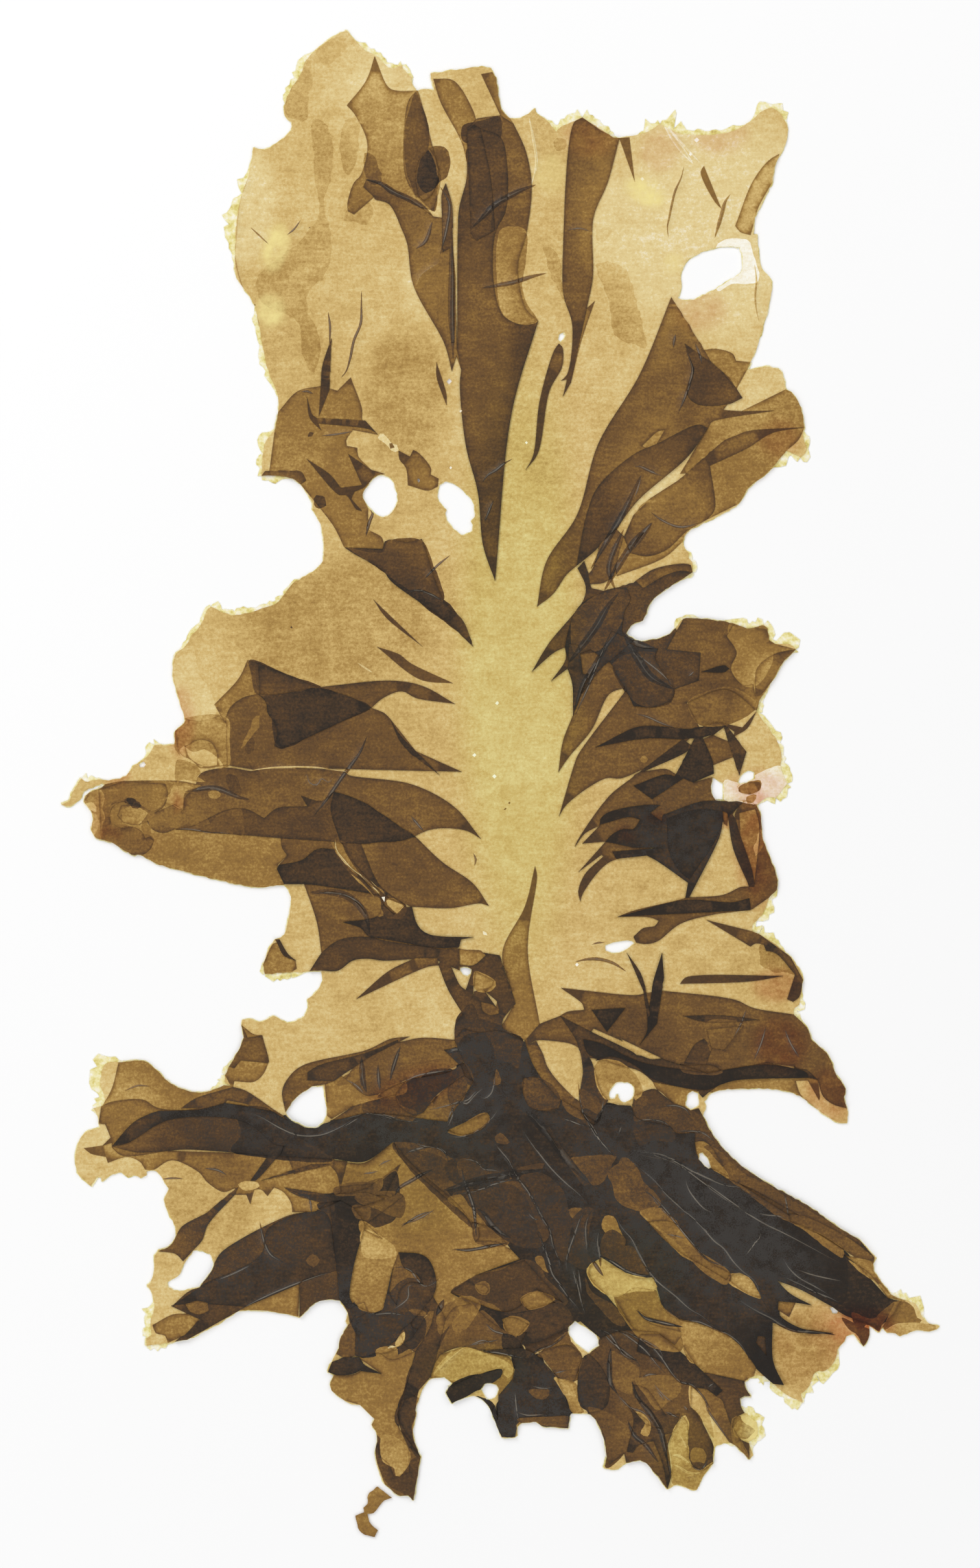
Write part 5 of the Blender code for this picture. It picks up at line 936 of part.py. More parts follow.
def settle(corners, faces, layers):
    """Changes small cells until the sheet touches itself nowhere at a single corner."""
    around = {}
    for f, face in enumerate(faces):
        for n in face:
            around.setdefault(n, []).append(f)
    rings = {}
    for n, near in around.items():
        x, y = corners[n]
        def turn(f):
            cx = sum(corners[m][0] for m in faces[f]) / 3 - x
            cy = sum(corners[m][1] for m in faces[f]) / 3 - y
            return math.atan2(cy, cx)
        rings[n] = sorted(near, key=turn)
    size = [area(corners, face) for face in faces]
    for _ in range(40):
        changed = 0
        for n, ring in rings.items():
            for level in sorted({layers[f] for f in ring} - {0} | {1}):
                high = [layers[f] >= level for f in ring]
                starts = [m for m in range(len(ring)) if high[m] != high[m - 1]]
                if len(starts) < 4:
                    continue
                arcs = []
                for a, b in zip(starts, starts[1:] + [starts[0] + len(ring)]):
                    arc = [ring[m % len(ring)] for m in range(a, b)]
                    arcs.append((sum(size[f] for f in arc), high[a], arc))
                _, was_high, arc = min(arcs, key=lambda item: item[0])
                for f in arc:
                    layers[f] = level - 1 if was_high else max(level, layers[f])
                changed += 1
        if not changed:
            return
    raise ValueError("the cells never settled")


def stepped(name, corners, faces, layers, height):
    """One closed body: each face's top at its layers' height, walls between, and a flat bottom."""
    kept = [f for f in range(len(faces)) if layers[f] > 0]
    levels, sides = {}, {}
    for f in kept:
        face = faces[f]
        for n in face:
            levels.setdefault(n, set()).add(layers[f])
        for a, b in zip(face, face[1:] + face[:1]):
            sides[(a, b)] = f
    for a, b in list(sides):
        if (b, a) not in sides:
            levels[a].add(0)
            levels[b].add(0)
    points, place = [], {}

    def point(n, level):
        if (n, level) not in place:
            place[(n, level)] = len(points)
            x, y = corners[n]
            points.append((x * MM, (y - MIDDLE) * MM, height(level) * MM))
        return place[(n, level)]

    made = [tuple(point(n, layers[f]) for n in faces[f]) for f in kept]
    rim = []
    for (a, b), f in sides.items():
        low = layers[sides[(b, a)]] if (b, a) in sides else 0
        if low == 0 and (b, a) not in sides:
            rim.append((b, a))
        if low >= layers[f]:
            continue
        left = [level for level in sorted(levels[a]) if low <= level <= layers[f]]
        right = [level for level in sorted(levels[b]) if low <= level <= layers[f]]
        m = n = 0
        while m < len(left) - 1 or n < len(right) - 1:
            if n == len(right) - 1 or (m < len(left) - 1 and left[m + 1] <= right[n + 1]):
                made.append((point(a, left[m]), point(b, right[n]), point(a, left[m + 1])))
                m += 1
            else:
                made.append((point(a, left[m]), point(b, right[n]), point(b, right[n + 1])))
                n += 1
    # the bottom is cut only along the rim
    ends = sorted({n for side in rim for n in side})
    local = {n: m for m, n in enumerate(ends)}
    floor = delaunay_2d_cdt(
        [Vector(corners[n]) for n in ends], [(local[a], local[b]) for a, b in rim], [], 0, 1e-6
    )
    for face in floor[2]:
        x = sum(floor[0][m].x for m in face) / 3
        y = sum(floor[0][m].y for m in face) / 3
        crossed = 0
        for a, b in rim:
            (ax, ay), (bx, by) = corners[a], corners[b]
            if (ay > y) != (by > y) and x < (bx - ax) * (y - ay) / (by - ay) + ax:
                crossed += 1
        if crossed % 2:
            made.append(tuple(point(ends[floor[3][m][0]], 0) for m in reversed(face)))
    mesh = bpy.data.meshes.new(name)
    mesh.from_pydata(points, [], made)
    mesh.update()
    return bpy.data.objects.new(name, mesh)


def material(name, color):
    made = bpy.data.materials.new(name)
    made.use_nodes = True
    shader = made.node_tree.nodes["Principled BSDF"]
    shader.inputs["Base Color"].default_value = color
    shader.inputs["Roughness"].default_value = ROUGHNESS
    shader.inputs["Metallic"].default_value = 0.0
    return made


for old in list(bpy.data.objects):
    bpy.data.objects.remove(old, do_unlink=True)
collection = bpy.data.collections.new("laver_seaweed")
bpy.context.scene.collection.children.link(collection)

# The blade's faces are built by hand, because no tool makes a sheet that steps up where it is pleated.
margin = straightened(MARGIN, RIM_WITHIN)
holes = [straightened(points, RIM_WITHIN) for points in HOLES.values()]
folds = [(layers, straightened(points, FOLD_WITHIN)) for layers, points in FOLDS]
corners, faces = cells([margin] + holes + [points for _, points in folds], JOIN)
boxes = [
    (min(x for x, _ in p), max(x for x, _ in p), min(y for _, y in p), max(y for _, y in p))
    for _, p in folds
]
layers = []
for face in faces:
    x = sum(corners[n][0] for n in face) / 3
    y = sum(corners[n][1] for n in face) / 3
    if not inside(x, y, margin) or any(inside(x, y, hole) for hole in holes):
        layers.append(0)
        continue
    found = 1
    for (left, right, low, high), (count, points) in zip(boxes, folds):
        if left <= x <= right and low <= y <= high and inside(x, y, points):
            found = count
    layers.append(found)
settle(corners, faces, layers)
blade = stepped(
    "blade", corners, faces, layers, lambda level: SHEET + LAYER * (level - 1) if level else 0.0
)
blade.data.materials.append(material("blade_tissue", BLADE_COLOR))
collection.objects.link(blade)

# The scrap is one flat outline of even thickness.
curve = bpy.data.curves.new("torn_scrap", "CURVE")
curve.dimensions = "2D"
curve.fill_mode = "BOTH"
curve.extrude = SCRAP_SHEET / 2 * MM
spline = curve.splines.new("POLY")
spline.points.add(len(SCRAP) - 1)
for n, (x, y) in enumerate(SCRAP):
    spline.points[n].co = (x * MM, (y - MIDDLE) * MM, 0.0, 1.0)
spline.use_cyclic_u = True
scrap = bpy.data.objects.new("torn_scrap", curve)
scrap.location = (0.0, 0.0, SCRAP_SHEET / 2 * MM)
curve.materials.append(material("scrap_tissue", SCRAP_COLOR))
collection.objects.link(scrap)
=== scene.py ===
# Laver seaweed, pressed flat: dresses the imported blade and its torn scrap, and lights them on white paper.
import math
import random

import bmesh
import bpy
import numpy as np
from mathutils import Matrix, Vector, noise
from mathutils.bvhtree import BVHTree
from mathutils.geometry import delaunay_2d_cdt


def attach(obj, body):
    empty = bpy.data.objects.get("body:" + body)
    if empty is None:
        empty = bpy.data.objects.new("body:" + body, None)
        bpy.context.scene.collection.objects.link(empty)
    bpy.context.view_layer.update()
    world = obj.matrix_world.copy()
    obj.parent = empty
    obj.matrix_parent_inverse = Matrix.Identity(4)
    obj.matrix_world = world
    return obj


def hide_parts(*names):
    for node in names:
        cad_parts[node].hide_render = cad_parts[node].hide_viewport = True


mm = 0.001
sheetMiddle = 0.2  # mm in Y from the line that the outlines are drawn about to the part's own
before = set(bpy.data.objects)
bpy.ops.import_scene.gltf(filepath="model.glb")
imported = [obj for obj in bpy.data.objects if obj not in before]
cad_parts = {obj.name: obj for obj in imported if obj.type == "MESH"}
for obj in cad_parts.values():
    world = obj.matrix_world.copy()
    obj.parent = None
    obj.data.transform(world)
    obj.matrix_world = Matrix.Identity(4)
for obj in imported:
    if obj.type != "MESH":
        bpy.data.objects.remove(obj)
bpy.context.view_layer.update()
bpy.ops.object.select_all(action="DESELECT")


def linear(red, green, blue):
    # a screen colour as the shader wants it
    return tuple(
        c / 255 / 12.92 if c / 255 <= 0.04045 else ((c / 255 + 0.055) / 1.055) ** 2.4
        for c in (red, green, blue)
    ) + (1.0,)


def sway(near, far):
    # slow noise with a finer one on it; uneven factors keep the two apart
    return noise.noise(near) + 0.6 * noise.noise(far)


def newObject(name, data):
    made = bpy.data.objects.new(name, data)
    bpy.context.scene.collection.objects.link(made)
    return made


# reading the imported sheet, mm
sheet = {
    "thickness": 0.30,  # one layer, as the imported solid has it
    "layer": 0.12,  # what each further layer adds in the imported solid
    "weld": 0.002,  # corners closer than this are one
    "lowest": 0.1,  # top faces lie above this
    "sharp": 55,  # a fold's line that turns more than this many degrees keeps its corner
}


def layerCount(height):
    return max(1, 1 + round((height - sheet["thickness"]) / sheet["layer"]))


def readLayers(name):
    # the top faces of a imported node: their corners in mm and how many layers lie there
    copy = bmesh.new()
    copy.from_mesh(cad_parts[name].data)
    bmesh.ops.remove_doubles(copy, verts=copy.verts, dist=sheet["weld"] * mm)
    tree = BVHTree.FromBMesh(copy)
    place, corners, tops = {}, [], []
    for face in copy.faces:
        height = face.calc_center_median().z / mm
        if face.normal.z < 0.99 or height < sheet["lowest"]:
            continue
        points = []
        for vert in face.verts:
            key = (round(vert.co.x * 1e6), round(vert.co.y * 1e6))
            if key not in place:
                place[key] = len(corners)
                corners.append((vert.co.x / mm, vert.co.y / mm))
            points.append(place[key])
        tops.append((points, layerCount(height)))
    copy.free()
    return corners, tops, tree


def layersAt(tree, x, y):
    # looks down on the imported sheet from 10 mm up
    hit = tree.ray_cast(Vector((x * mm, y * mm, 10 * mm)), Vector((0, 0, -1)))
    if hit[0] is None or hit[0].z < sheet["lowest"] * mm:
        return 0
    return layerCount(hit[0].z / mm)


def foldLines(corners, tops):
    # every line where the number of layers changes, as chains of corners
    sides = {}
    for points, layers in tops:
        for a, b in zip(points, points[1:] + points[:1]):
            sides.setdefault((min(a, b), max(a, b)), []).append(layers)
    lines = {}
    for edge, found in sides.items():
        if len(found) == 1:
            lines[edge] = "rim"
        elif found[0] != found[1]:
            lines[edge] = "fold"
    near = {}
    for a, b in lines:
        near.setdefault(a, []).append(b)
        near.setdefault(b, []).append(a)

    def isEnd(n):
        if len(near[n]) != 2:
            return True
        a, b = near[n]
        one = Vector(corners[n]) - Vector(corners[a])
        two = Vector(corners[b]) - Vector(corners[n])
        kinds = {lines[(min(n, m), max(n, m))] for m in (a, b)}
        return len(kinds) > 1 or one.angle(two, 0.0) > math.radians(sheet["sharp"])

    ends = {n for n in near if isEnd(n)}
    done, chains = set(), []

    def follow(start, following):
        chain = [start, following]
        done.add((min(start, following), max(start, following)))
        while chain[-1] not in ends and chain[-1] != chain[0]:
            a, b = near[chain[-1]]
            nextOne = b if a == chain[-2] else a
            done.add((min(chain[-1], nextOne), max(chain[-1], nextOne)))
            chain.append(nextOne)
        return chain

    for start in sorted(ends):
        for following in near[start]:
            if (min(start, following), max(start, following)) not in done:
                chains.append(follow(start, following))
    for a, b in sorted(lines):
        if (a, b) not in done:
            chains.append(follow(a, b))
    return [(chain, lines[(min(chain[:2]), max(chain[:2]))]) for chain in chains]


def smoothLine(points, step, closed):
    # an even curve through the points, cut into short steps
    count = len(points)
    if count < 3:
        a, b = Vector(points[0]), Vector(points[1])
        cuts = max(1, round((b - a).length / step))
        return [tuple(a.lerp(b, n / cuts)) for n in range(cuts)] + [tuple(b)]
    made = []
    for n in range(count - 1):
        b, c = Vector(points[n]), Vector(points[n + 1])
        a = Vector(points[n - 1]) if n else (Vector(points[-2]) if closed else b * 2 - c)
        d = Vector(points[n + 2]) if n + 2 < count else (Vector(points[1]) if closed else c * 2 - b)
        cuts = max(1, round((c - b).length / step))
        ta, tb, tc = (max(1e-6, v.length) ** 0.5 for v in (b - a, c - b, d - c))
        for m in range(cuts):
            t = m / cuts * tb
            a1 = a.lerp(b, (t + ta) / ta)
            a2 = b.lerp(c, t / tb)
            a3 = c.lerp(d, (t - tb) / tc)
            b1 = a1.lerp(a2, (t + ta) / (ta + tb))
            b2 = a2.lerp(a3, t / (tb + tc))
            made.append(tuple(b1.lerp(b2, t / tb)))
    made.append(tuple(points[-1]))
    return made


# how lines and the points between them are laid out, mm
layout = {
    "creaseStep": 0.5,  # between the points along a crease
    "swell": 2.6,  # how soon a crease reaches its full width
    "tip": 0.2,  # the share of its width that it starts with
    "climb": 3.5,  # how soon it reaches its full height
    "highest": 0.6,  # a crease wider than this gets no higher
    "fine": 0.5,  # a crease wider than this gets a fainter painted highlight
    "fineFall": 1.3,  # and how quickly its painted highlight fades
    "clear": 0.52,  # the share of the grid that stays free beside a line
    "row": 0.87,  # the distance of the rows over that of the columns
    "shuffle": 0.12,  # how far a point strays from its row
    "merge": 0.004,  # points closer than this are one
    "samples": 12,  # places looked at in a patch to count its layers
}


def lensOutline(width, points):
    # a crease as its middle line and the two sides that meet at its ends
    middle = smoothLine(points, layout["creaseStep"], False)
    count = len(middle)
    left, right = [], []
    for n in range(1, count - 1):
        along = Vector(middle[n + 1]) - Vector(middle[n - 1])
        across = Vector((-along.y, along.x)).normalized()
        swell = layout["swell"] * min(n, count - 1 - n) / count + layout["tip"]
        reach = width / 2 * min(1.0, swell)
        left.append(tuple(Vector(middle[n]) + across * reach))
        right.append(tuple(Vector(middle[n]) - across * reach))
    return middle, left, right


def frayed(line, reach):
    # strays a closed line a little, as the edge of a stain does
    made = []
    for x, y in line:
        at = Vector((x * 0.9, y * 0.9, 7.0))
        made.append((x + reach * sway(at, at * 2.7), y + reach * sway(at * 1.1, at * 3.1)))
    return made


def ragged(line, reach, seed):
    # strays a torn rim, all but its two ends
    wobble = Vector((seed, 3.1, 0.7))
    made = [line[0]]
    for x, y in line[1:-1]:
        at = Vector((x, y, 0.0)) * 1.7 + wobble
        made.append((x + reach * sway(at, at * 3), y + reach * sway(at * 1.1 + wobble, at * 2.9)))
    return made + [line[-1]]


def counterClockwise(points, region):
    turned = 0.0
    for a, b in zip(region, region[1:] + region[:1]):
        turned += points[a][0] * points[b][1] - points[b][0] * points[a][1]
    return region if turned > 0 else region[::-1]


def lifted(points):
    # outlines are drawn about the sheet's middle line, which lies a little below the part's own
    return [(x, y + sheetMiddle) for x, y in points]


def field(points, blobs, base=0.0):
    # soft ellipses summed over the sheet: x, y, half length, half width, turn in degrees, amount
    outer, soft = 1.35, 0.7  # where an ellipse ends and how wide its soft edge is, in radii
    points = np.asarray(points)
    total = np.full(len(points), base)
    for x, y, length, width, turn, amount in blobs:
        angle = math.radians(turn)
        dx, dy = points[:, 0] - x, points[:, 1] - y - sheetMiddle
        u = (dx * math.cos(angle) + dy * math.sin(angle)) / length
        v = (dy * math.cos(angle) - dx * math.sin(angle)) / width
        r = np.sqrt(u * u + v * v)
        s = np.clip((outer - r) / soft, 0, 1)
        total += amount * s * s * (3 - 2 * s)
    return total


def addPoints(plan, line, heights=None, lights=None):
    plan["points"].extend(line)
    plan["ridge"].extend(heights or [0.0] * len(line))
    plan["glint"].extend(lights or [0.0] * len(line))


def addLine(plan, line, heights=None, lights=None):
    first = len(plan["points"])
    addPoints(plan, line, heights, lights)
    plan["edges"].extend((n, n + 1) for n in range(first, len(plan["points"]) - 1))


def addRegion(plan, region, extra):
    plan["regions"].append(region)
    plan["extras"].append(extra)


def drawFolds(plan, corners, tops, options):
    # every fold line and the torn rim, which comes back for the fringe
    margins = []
    for chain, kind in foldLines(corners, tops):
        line = smoothLine([corners[n] for n in chain], options["curveStep"], chain[0] == chain[-1])
        if kind == "rim":
            line = ragged(line, options["ragged"], options["seed"])
            margins.append(line)
        addLine(plan, line)
    plan["foldEdges"] = len(plan["edges"])
    return margins


def drawCreases(plan, options):
    for width, extra, path in options["creases"]:
        middle, left, right = lensOutline(width, lifted(path))
        count = len(middle)
        taper = [min(1.0, layout["climb"] * min(n, count - 1 - n) / count) for n in range(count)]
        height = min(width, layout["highest"])
        # lit is the painted highlight on the middle line, weaker on wide creases; sideLit, below zero at the
        # sides, ends it glint mm from the middle
        lit = min(1.0, (layout["fine"] / width) ** layout["fineFall"])
        sideLit = min(0.0, lit * (1 - width / 2 / options["glint"]))
        first = len(plan["points"])
        addLine(plan, middle, [height * part for part in taper], [lit * part for part in taper])
        last = len(plan["points"]) - 1
        addPoints(plan, left + right[::-1], None, [sideLit] * (2 * count - 4))
        turn = last + count - 1
        region = [first, *range(last + 1, turn), last, *range(turn, len(plan["points"]))]
        addRegion(plan, region, extra)


def drawPatches(plan, options):
    # a stain adds to the layers under it, and a tone takes their place
    plan["firstTone"] = len(plan["extras"]) + len(options["stains"])
    for extra, outline in options["stains"] + options["tones"]:
        isTone = len(plan["extras"]) >= plan["firstTone"]
        closed = smoothLine(lifted(outline + outline[:1]), options["curveStep"], True)[:-1]
        closed = frayed(closed, options["fray"][isTone])
        first = len(plan["points"])
        addPoints(plan, closed)
        addRegion(plan, list(range(first, len(plan["points"]))), extra)


def scatterPoints(plan, options):
    # points inside, kept off the lines so that no triangle is a sliver
    grid, taken = options["grid"], set()
    half = grid * layout["clear"]
    step = grid * layout["row"]
    stray = layout["shuffle"]
    for x, y in plan["points"]:
        taken.add((math.floor(x / half), math.floor(y / half)))
    low, high = np.min(plan["points"], axis=0), np.max(plan["points"], axis=0)
    shuffle = random.Random(options["seed"])
    for row in range(int((high[1] - low[1]) / step) + 1):
        for column in range(int((high[0] - low[0]) / grid) + 1):
            x = low[0] + (column + (row % 2) / 2) * grid + shuffle.uniform(-stray, stray)
            y = low[1] + row * grid * layout["row"] + shuffle.uniform(-stray, stray)
            cell = (math.floor(x / half), math.floor(y / half))
            if any((cell[0] + i, cell[1] + j) in taken for i in (-1, 0, 1) for j in (-1, 0, 1)):
                continue
            addPoints(plan, [(x, y)])


def cutSheet(plan):
    # the drawing as triangles, with the fold lines between them and the regions over each
    points = plan["points"]
    regions = [counterClockwise(points, region) for region in plan["regions"]]
    corners = [Vector(p) for p in points]
    cut = delaunay_2d_cdt(corners, plan["edges"], regions, 0, layout["merge"], True)
    return {
        "flat": [(p.x, p.y) for p in cut[0]],
        "faces": [tuple(f) for f in cut[2]],
        "ridge": [max((plan["ridge"][m] for m in ids), default=0.0) for ids in cut[3]],
        "glint": [max((plan["glint"][m] for m in ids), default=0.0) for ids in cut[3]],
        "walls": {
            (min(a, b), max(a, b))
            for (a, b), ids in zip(cut[1], cut[4])
            if any(m < plan["foldEdges"] for m in ids)
        },
        "covers": cut[5],
    }


def findPatches(cut):
    # groups of faces that no fold line parts
    faces = cut["faces"]
    parent = list(range(len(faces)))

    def root(n):
        while parent[n] != n:
            parent[n] = parent[parent[n]]
            n = parent[n]
        return n

    seen = {}
    for f, face in enumerate(faces):
        for a, b in zip(face, face[1:] + face[:1]):
            edge = (min(a, b), max(a, b))
            if edge in cut["walls"]:
                continue
            if edge in seen:
                parent[root(f)] = root(seen[edge])
            else:
                seen[edge] = f
    patches = {}
    for f in range(len(faces)):
        patches.setdefault(root(f), []).append(f)
    return list(patches.values())


def countLayers(cut, patches, tree):
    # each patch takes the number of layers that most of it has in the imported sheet
    flat, faces = cut["flat"], cut["faces"]
    layers = [0] * len(faces)
    for members in patches:
        votes = {}
        for f in members[:: max(1, len(members) // layout["samples"])]:
            (ax, ay), (bx, by), (cx, cy) = (flat[n] for n in faces[f])
            size = abs((bx - ax) * (cy - ay) - (by - ay) * (cx - ax)) + 1e-6
            found = layersAt(tree, (ax + bx + cx) / 3, (ay + by + cy) / 3)
            votes[found] = votes.get(found, 0.0) + size
        best = max(votes, key=votes.get)
        for f in members:
            layers[f] = best
    return layers


def shownDepth(plan, cut, layers, options):
    # the layers that each face shows; a tone of 0 cuts a hole
    extras, firstTone = plan["extras"], plan["firstTone"]
    depth = [float(count) for count in layers]
    for f, ids in enumerate(cut["covers"]):
        tones = [m for m in ids if m >= firstTone]
        if tones and layers[f]:
            depth[f] = extras[max(tones)]
            layers[f] = layers[f] if depth[f] else 0
        added = depth[f] + sum(extras[m] for m in ids if m < firstTone)
        depth[f] = max(min(options["palest"], depth[f]), added)
    return depth


def waveHeights(cut, options):
    # the sheet's slow waves and the creases' height, mm
    waves = []
    for (x, y), top in zip(cut["flat"], cut["ridge"]):
        at = Vector((x * options["waveTurns"], y * options["waveTurns"], 1.3))
        slow = sway(at, at * 2.7) + 0.35 * noise.noise(at * 6.5)
        waves.append(options["waves"] * (slow + 0.6) + options["crest"] * top)
    return waves


def underside(flat, rim):
    # the faces of the flat underside, which ends at the rim and at the holes
    ends = sorted({n for side in rim for n in side})
    local = {n: m for m, n in enumerate(ends)}
    sides = [(local[a], local[b]) for a, b in rim]
    cut = delaunay_2d_cdt([Vector(flat[n]) for n in ends], sides, [], 0, 1e-6, True)
    made = []
    for face in cut[2]:
        x = sum(cut[0][m].x for m in face) / 3
        y = sum(cut[0][m].y for m in face) / 3
        crossed = 0
        for a, b in rim:
            (ax, ay), (bx, by) = flat[a], flat[b]
            if (ay > y) != (by > y) and x < (bx - ax) * (y - ay) / (by - ay) + ax:
                crossed += 1
        if crossed % 2:
            made.append([ends[cut[3][m][0]] for m in reversed(face)])
    return made


def stepFaces(a, b, left, right):
    # the wall between two neighbouring corners, each with the levels that meet there
    made = []
    m = n = 0
    while m < len(left) - 1 or n < len(right) - 1:
        if n == len(right) - 1 or (m < len(left) - 1 and left[m + 1] <= right[n + 1]):
            made.append([(a, left[m]), (b, right[n]), (a, left[m + 1])])
            m += 1
        else:
            made.append([(a, left[m]), (b, right[n]), (b, right[n + 1])])
            n += 1
    return made


def raiseSheet(cut, layers, depth, options):
    # the closed sheet: its stepped top, the walls at the steps and rim, and the flat underside
    flat, faces = cut["flat"], cut["faces"]
    waves = waveHeights(cut, options)
    levels, sides = {}, {}
    for f, face in enumerate(faces):
        if not layers[f]:
            continue
        for n in face:
            levels.setdefault(n, set()).add(layers[f])
        for a, b in zip(face, face[1:] + face[:1]):
            sides[(a, b)] = f
    rim = []
    for a, b in sides:
        if (b, a) not in sides:
            levels[a].add(0)
            levels[b].add(0)
            rim.append((b, a))
    place, made = {}, {"verts": [], "source": [], "hem": [], "faces": [], "depth": []}

    def point(n, level):
        if (n, level) not in place:
            place[(n, level)] = len(place)
            x, y = flat[n]
            z = 0.0
            if level:
                z = options["base"] + options["rise"] * (level - 1) + waves[n]
                z = max(options["lowest"], z)
            made["verts"].append((x * mm, y * mm, z * mm))
            made["source"].append(n)
            hem = options["rimHem"] if 0 in levels[n] else 1.0
            made["hem"].append(hem if level > min(levels[n]) else 0.0)
        return place[(n, level)]

    def addFace(corners, value):
        made["faces"].append([point(n, level) for n, level in corners])
        made["depth"].append(value)

    for f, face in enumerate(faces):
        if layers[f]:
            addFace([(n, layers[f]) for n in face], depth[f])
    for (a, b), f in sides.items():
        under = layers[sides[(b, a)]] if (b, a) in sides else 0
        if under >= layers[f]:
            continue
        left = [level for level in sorted(levels[a]) if under <= level <= layers[f]]
        right = [level for level in sorted(levels[b]) if under <= level <= layers[f]]
        for corners in stepFaces(a, b, left, right):
            addFace(corners, depth[f])
    for face in underside(flat, rim):
        addFace([(n, 0) for n in face], 1)
    return made


def writeValues(mesh, label, values, domain="POINT"):
    written = mesh.attributes.new(label, "FLOAT", domain)
    written.data.foreach_set("value", np.asarray(values, np.float32))


def buildSheet(name, node, options):
    corners, tops, tree = readLayers(node)
    plan = {"points": [], "edges": [], "ridge": [], "glint": [], "regions": [], "extras": []}
    margins = drawFolds(plan, corners, tops, options)
    drawCreases(plan, options)
    drawPatches(plan, options)
    scatterPoints(plan, options)
    cut = cutSheet(plan)
    patches = findPatches(cut)
    layers = countLayers(cut, patches, tree)
    depth = shownDepth(plan, cut, layers, options)
    made = raiseSheet(cut, layers, depth, options)
    mesh = bpy.data.meshes.new(name)
    mesh.from_pydata(made["verts"], [], made["faces"])
    mesh.update()
    obj = newObject(name, mesh)
    writeValues(mesh, "layers", np.repeat(np.array(made["depth"], np.float32), 3), "CORNER")
    writeValues(mesh, "ridge", np.array(cut["ridge"])[made["source"]])
    # glint: how strongly each point gets the painted highlight
    writeValues(mesh, "glint", np.array(cut["glint"])[made["source"]])
    writeValues(mesh, "hem", made["hem"])
    spots = np.array(cut["flat"])[made["source"]]
    for label, blobs in options["tints"].items():
        writeValues(mesh, label, field(spots, blobs, 1.0 if label == "thick" else 0.0))
    print(name, len(made["faces"]), "faces,", len(patches), "patches,", len(cut["walls"]), "fold edges")
    return obj, margins, tree


# the tissue's colour and surface
tissue = {
    # effective layers and the colour that they show
    "stops": [
        (0.0, (255, 252, 240)),
        (0.5, (232, 211, 152)),
        (1.0, (212, 180, 112)),
        (1.5, (180, 144, 78)),
        (2.0, (150, 113, 54)),
        (3.0, (112, 80, 40)),
        (4.0, (85, 60, 34)),
        (5.0, (65, 48, 31)),
        (6.0, (44, 34, 24)),
        (8.0, (32, 26, 20)),
    ],
    "stretch": 8.0,  # the layers at the ramp's end
    "oliveTint": (249, 255, 236),
    "redTint": (215, 140, 112),
    "pale": (243, 226, 150),
    "slate": (56, 52, 48),
    # the pale grey of the painted highlight along the creases
    "paintedShineTint": (150, 140, 124),
    # noises: scale, detail, roughness
    "cloudNoise": (60, 4, 0.6),
    "mottleNoise": (420, 5, 0.65),
    "grainNoise": (2600, 3, 0.7),
    "fibreNoise": (1900, 3, 0.6),
    "speckNoises": ((5200, 2, 0.6), (520, 3, 0.6)),
    "fibreSqueeze": (0.18, 1.0, 1.0),  # fibres run along X
    # how much each one swings the depth of colour, and how much the depth itself does
    "clouds": 1.1,
    "mottle": 0.8,
    "grain": 1.5,
    "fibre": 0.7,
    "swing": (0.5, 0.4),  # for each layer, and for any
    # dark lines, in layers
    "ridgeDark": 0.8,
    "hemDark": 1.3,
    "hemEdge": 3.0,  # how close to the fold the dark hem keeps
    # where the slate, the painted highlight and the pale film start, in layers, and over how many layers each
    # comes in
    "slateOver": (3.0, 3.0),
    "paintedShineOver": (1.6, 2.0),
    "paleUnder": (2.6, 1.2),
    "slateSpread": 2.0,
    "pepper": 5.0,
    "redMottle": 1.6,
    "paleMottle": (0.2, 2.4),
    # the painted highlight along the creases: its strength, and how much the mottle swings it
    "paintedShine": 0.65,
    "paintedShineMottle": 2.0,
    "roughness": (0.3, 0.25),  # the least, and what the mottle adds
    "gloss": 0.3,
    "bump": (0.5, 0.0001),  # strength, and height in m
    "bumpMottle": 1.6,
}


def mathNode(tree, operation, a, b, clamp=False):
    made = tree.nodes.new("ShaderNodeMath")
    made.operation = operation
    made.use_clamp = clamp
    for socket, value in zip(made.inputs, (a, b)):
        if isinstance(value, (int, float)):
            socket.default_value = value
        else:
            tree.links.new(value, socket)
    return made.outputs[0]


def mixColour(tree, blend, factor, a, b):
    made = tree.nodes.new("ShaderNodeMix")
    made.data_type = "RGBA"
    made.blend_type = blend
    for socket, value in ((made.inputs[0], factor), (made.inputs[6], a), (made.inputs[7], b)):
        if isinstance(value, (int, float, tuple)):
            socket.default_value = value
        else:
            tree.links.new(value, socket)
    return made.outputs[2]


def noiseAt(tree, coords, scale, detail, rough):
    made = tree.nodes.new("ShaderNodeTexNoise")
    made.inputs["Scale"].default_value = scale
    made.inputs["Detail"].default_value = detail
    made.inputs["Roughness"].default_value = rough
    tree.links.new(coords, made.inputs["Vector"])
    return made.outputs["Fac"]


def attribute(tree, name):
    made = tree.nodes.new("ShaderNodeAttribute")
    made.attribute_name = name
    return made.outputs["Fac"]


def colourRamp(tree, stops, stretch, value):
    made = tree.nodes.new("ShaderNodeValToRGB")
    ramp = made.color_ramp
    while len(ramp.elements) < len(stops):
        ramp.elements.new(0.5)
    for element, (at, colour) in zip(ramp.elements, stops):
        element.position = at / stretch
    for element, (at, colour) in zip(ramp.elements, stops):
        element.color = linear(*colour)
    tree.links.new(value, made.inputs[0])
    return made.outputs[0]


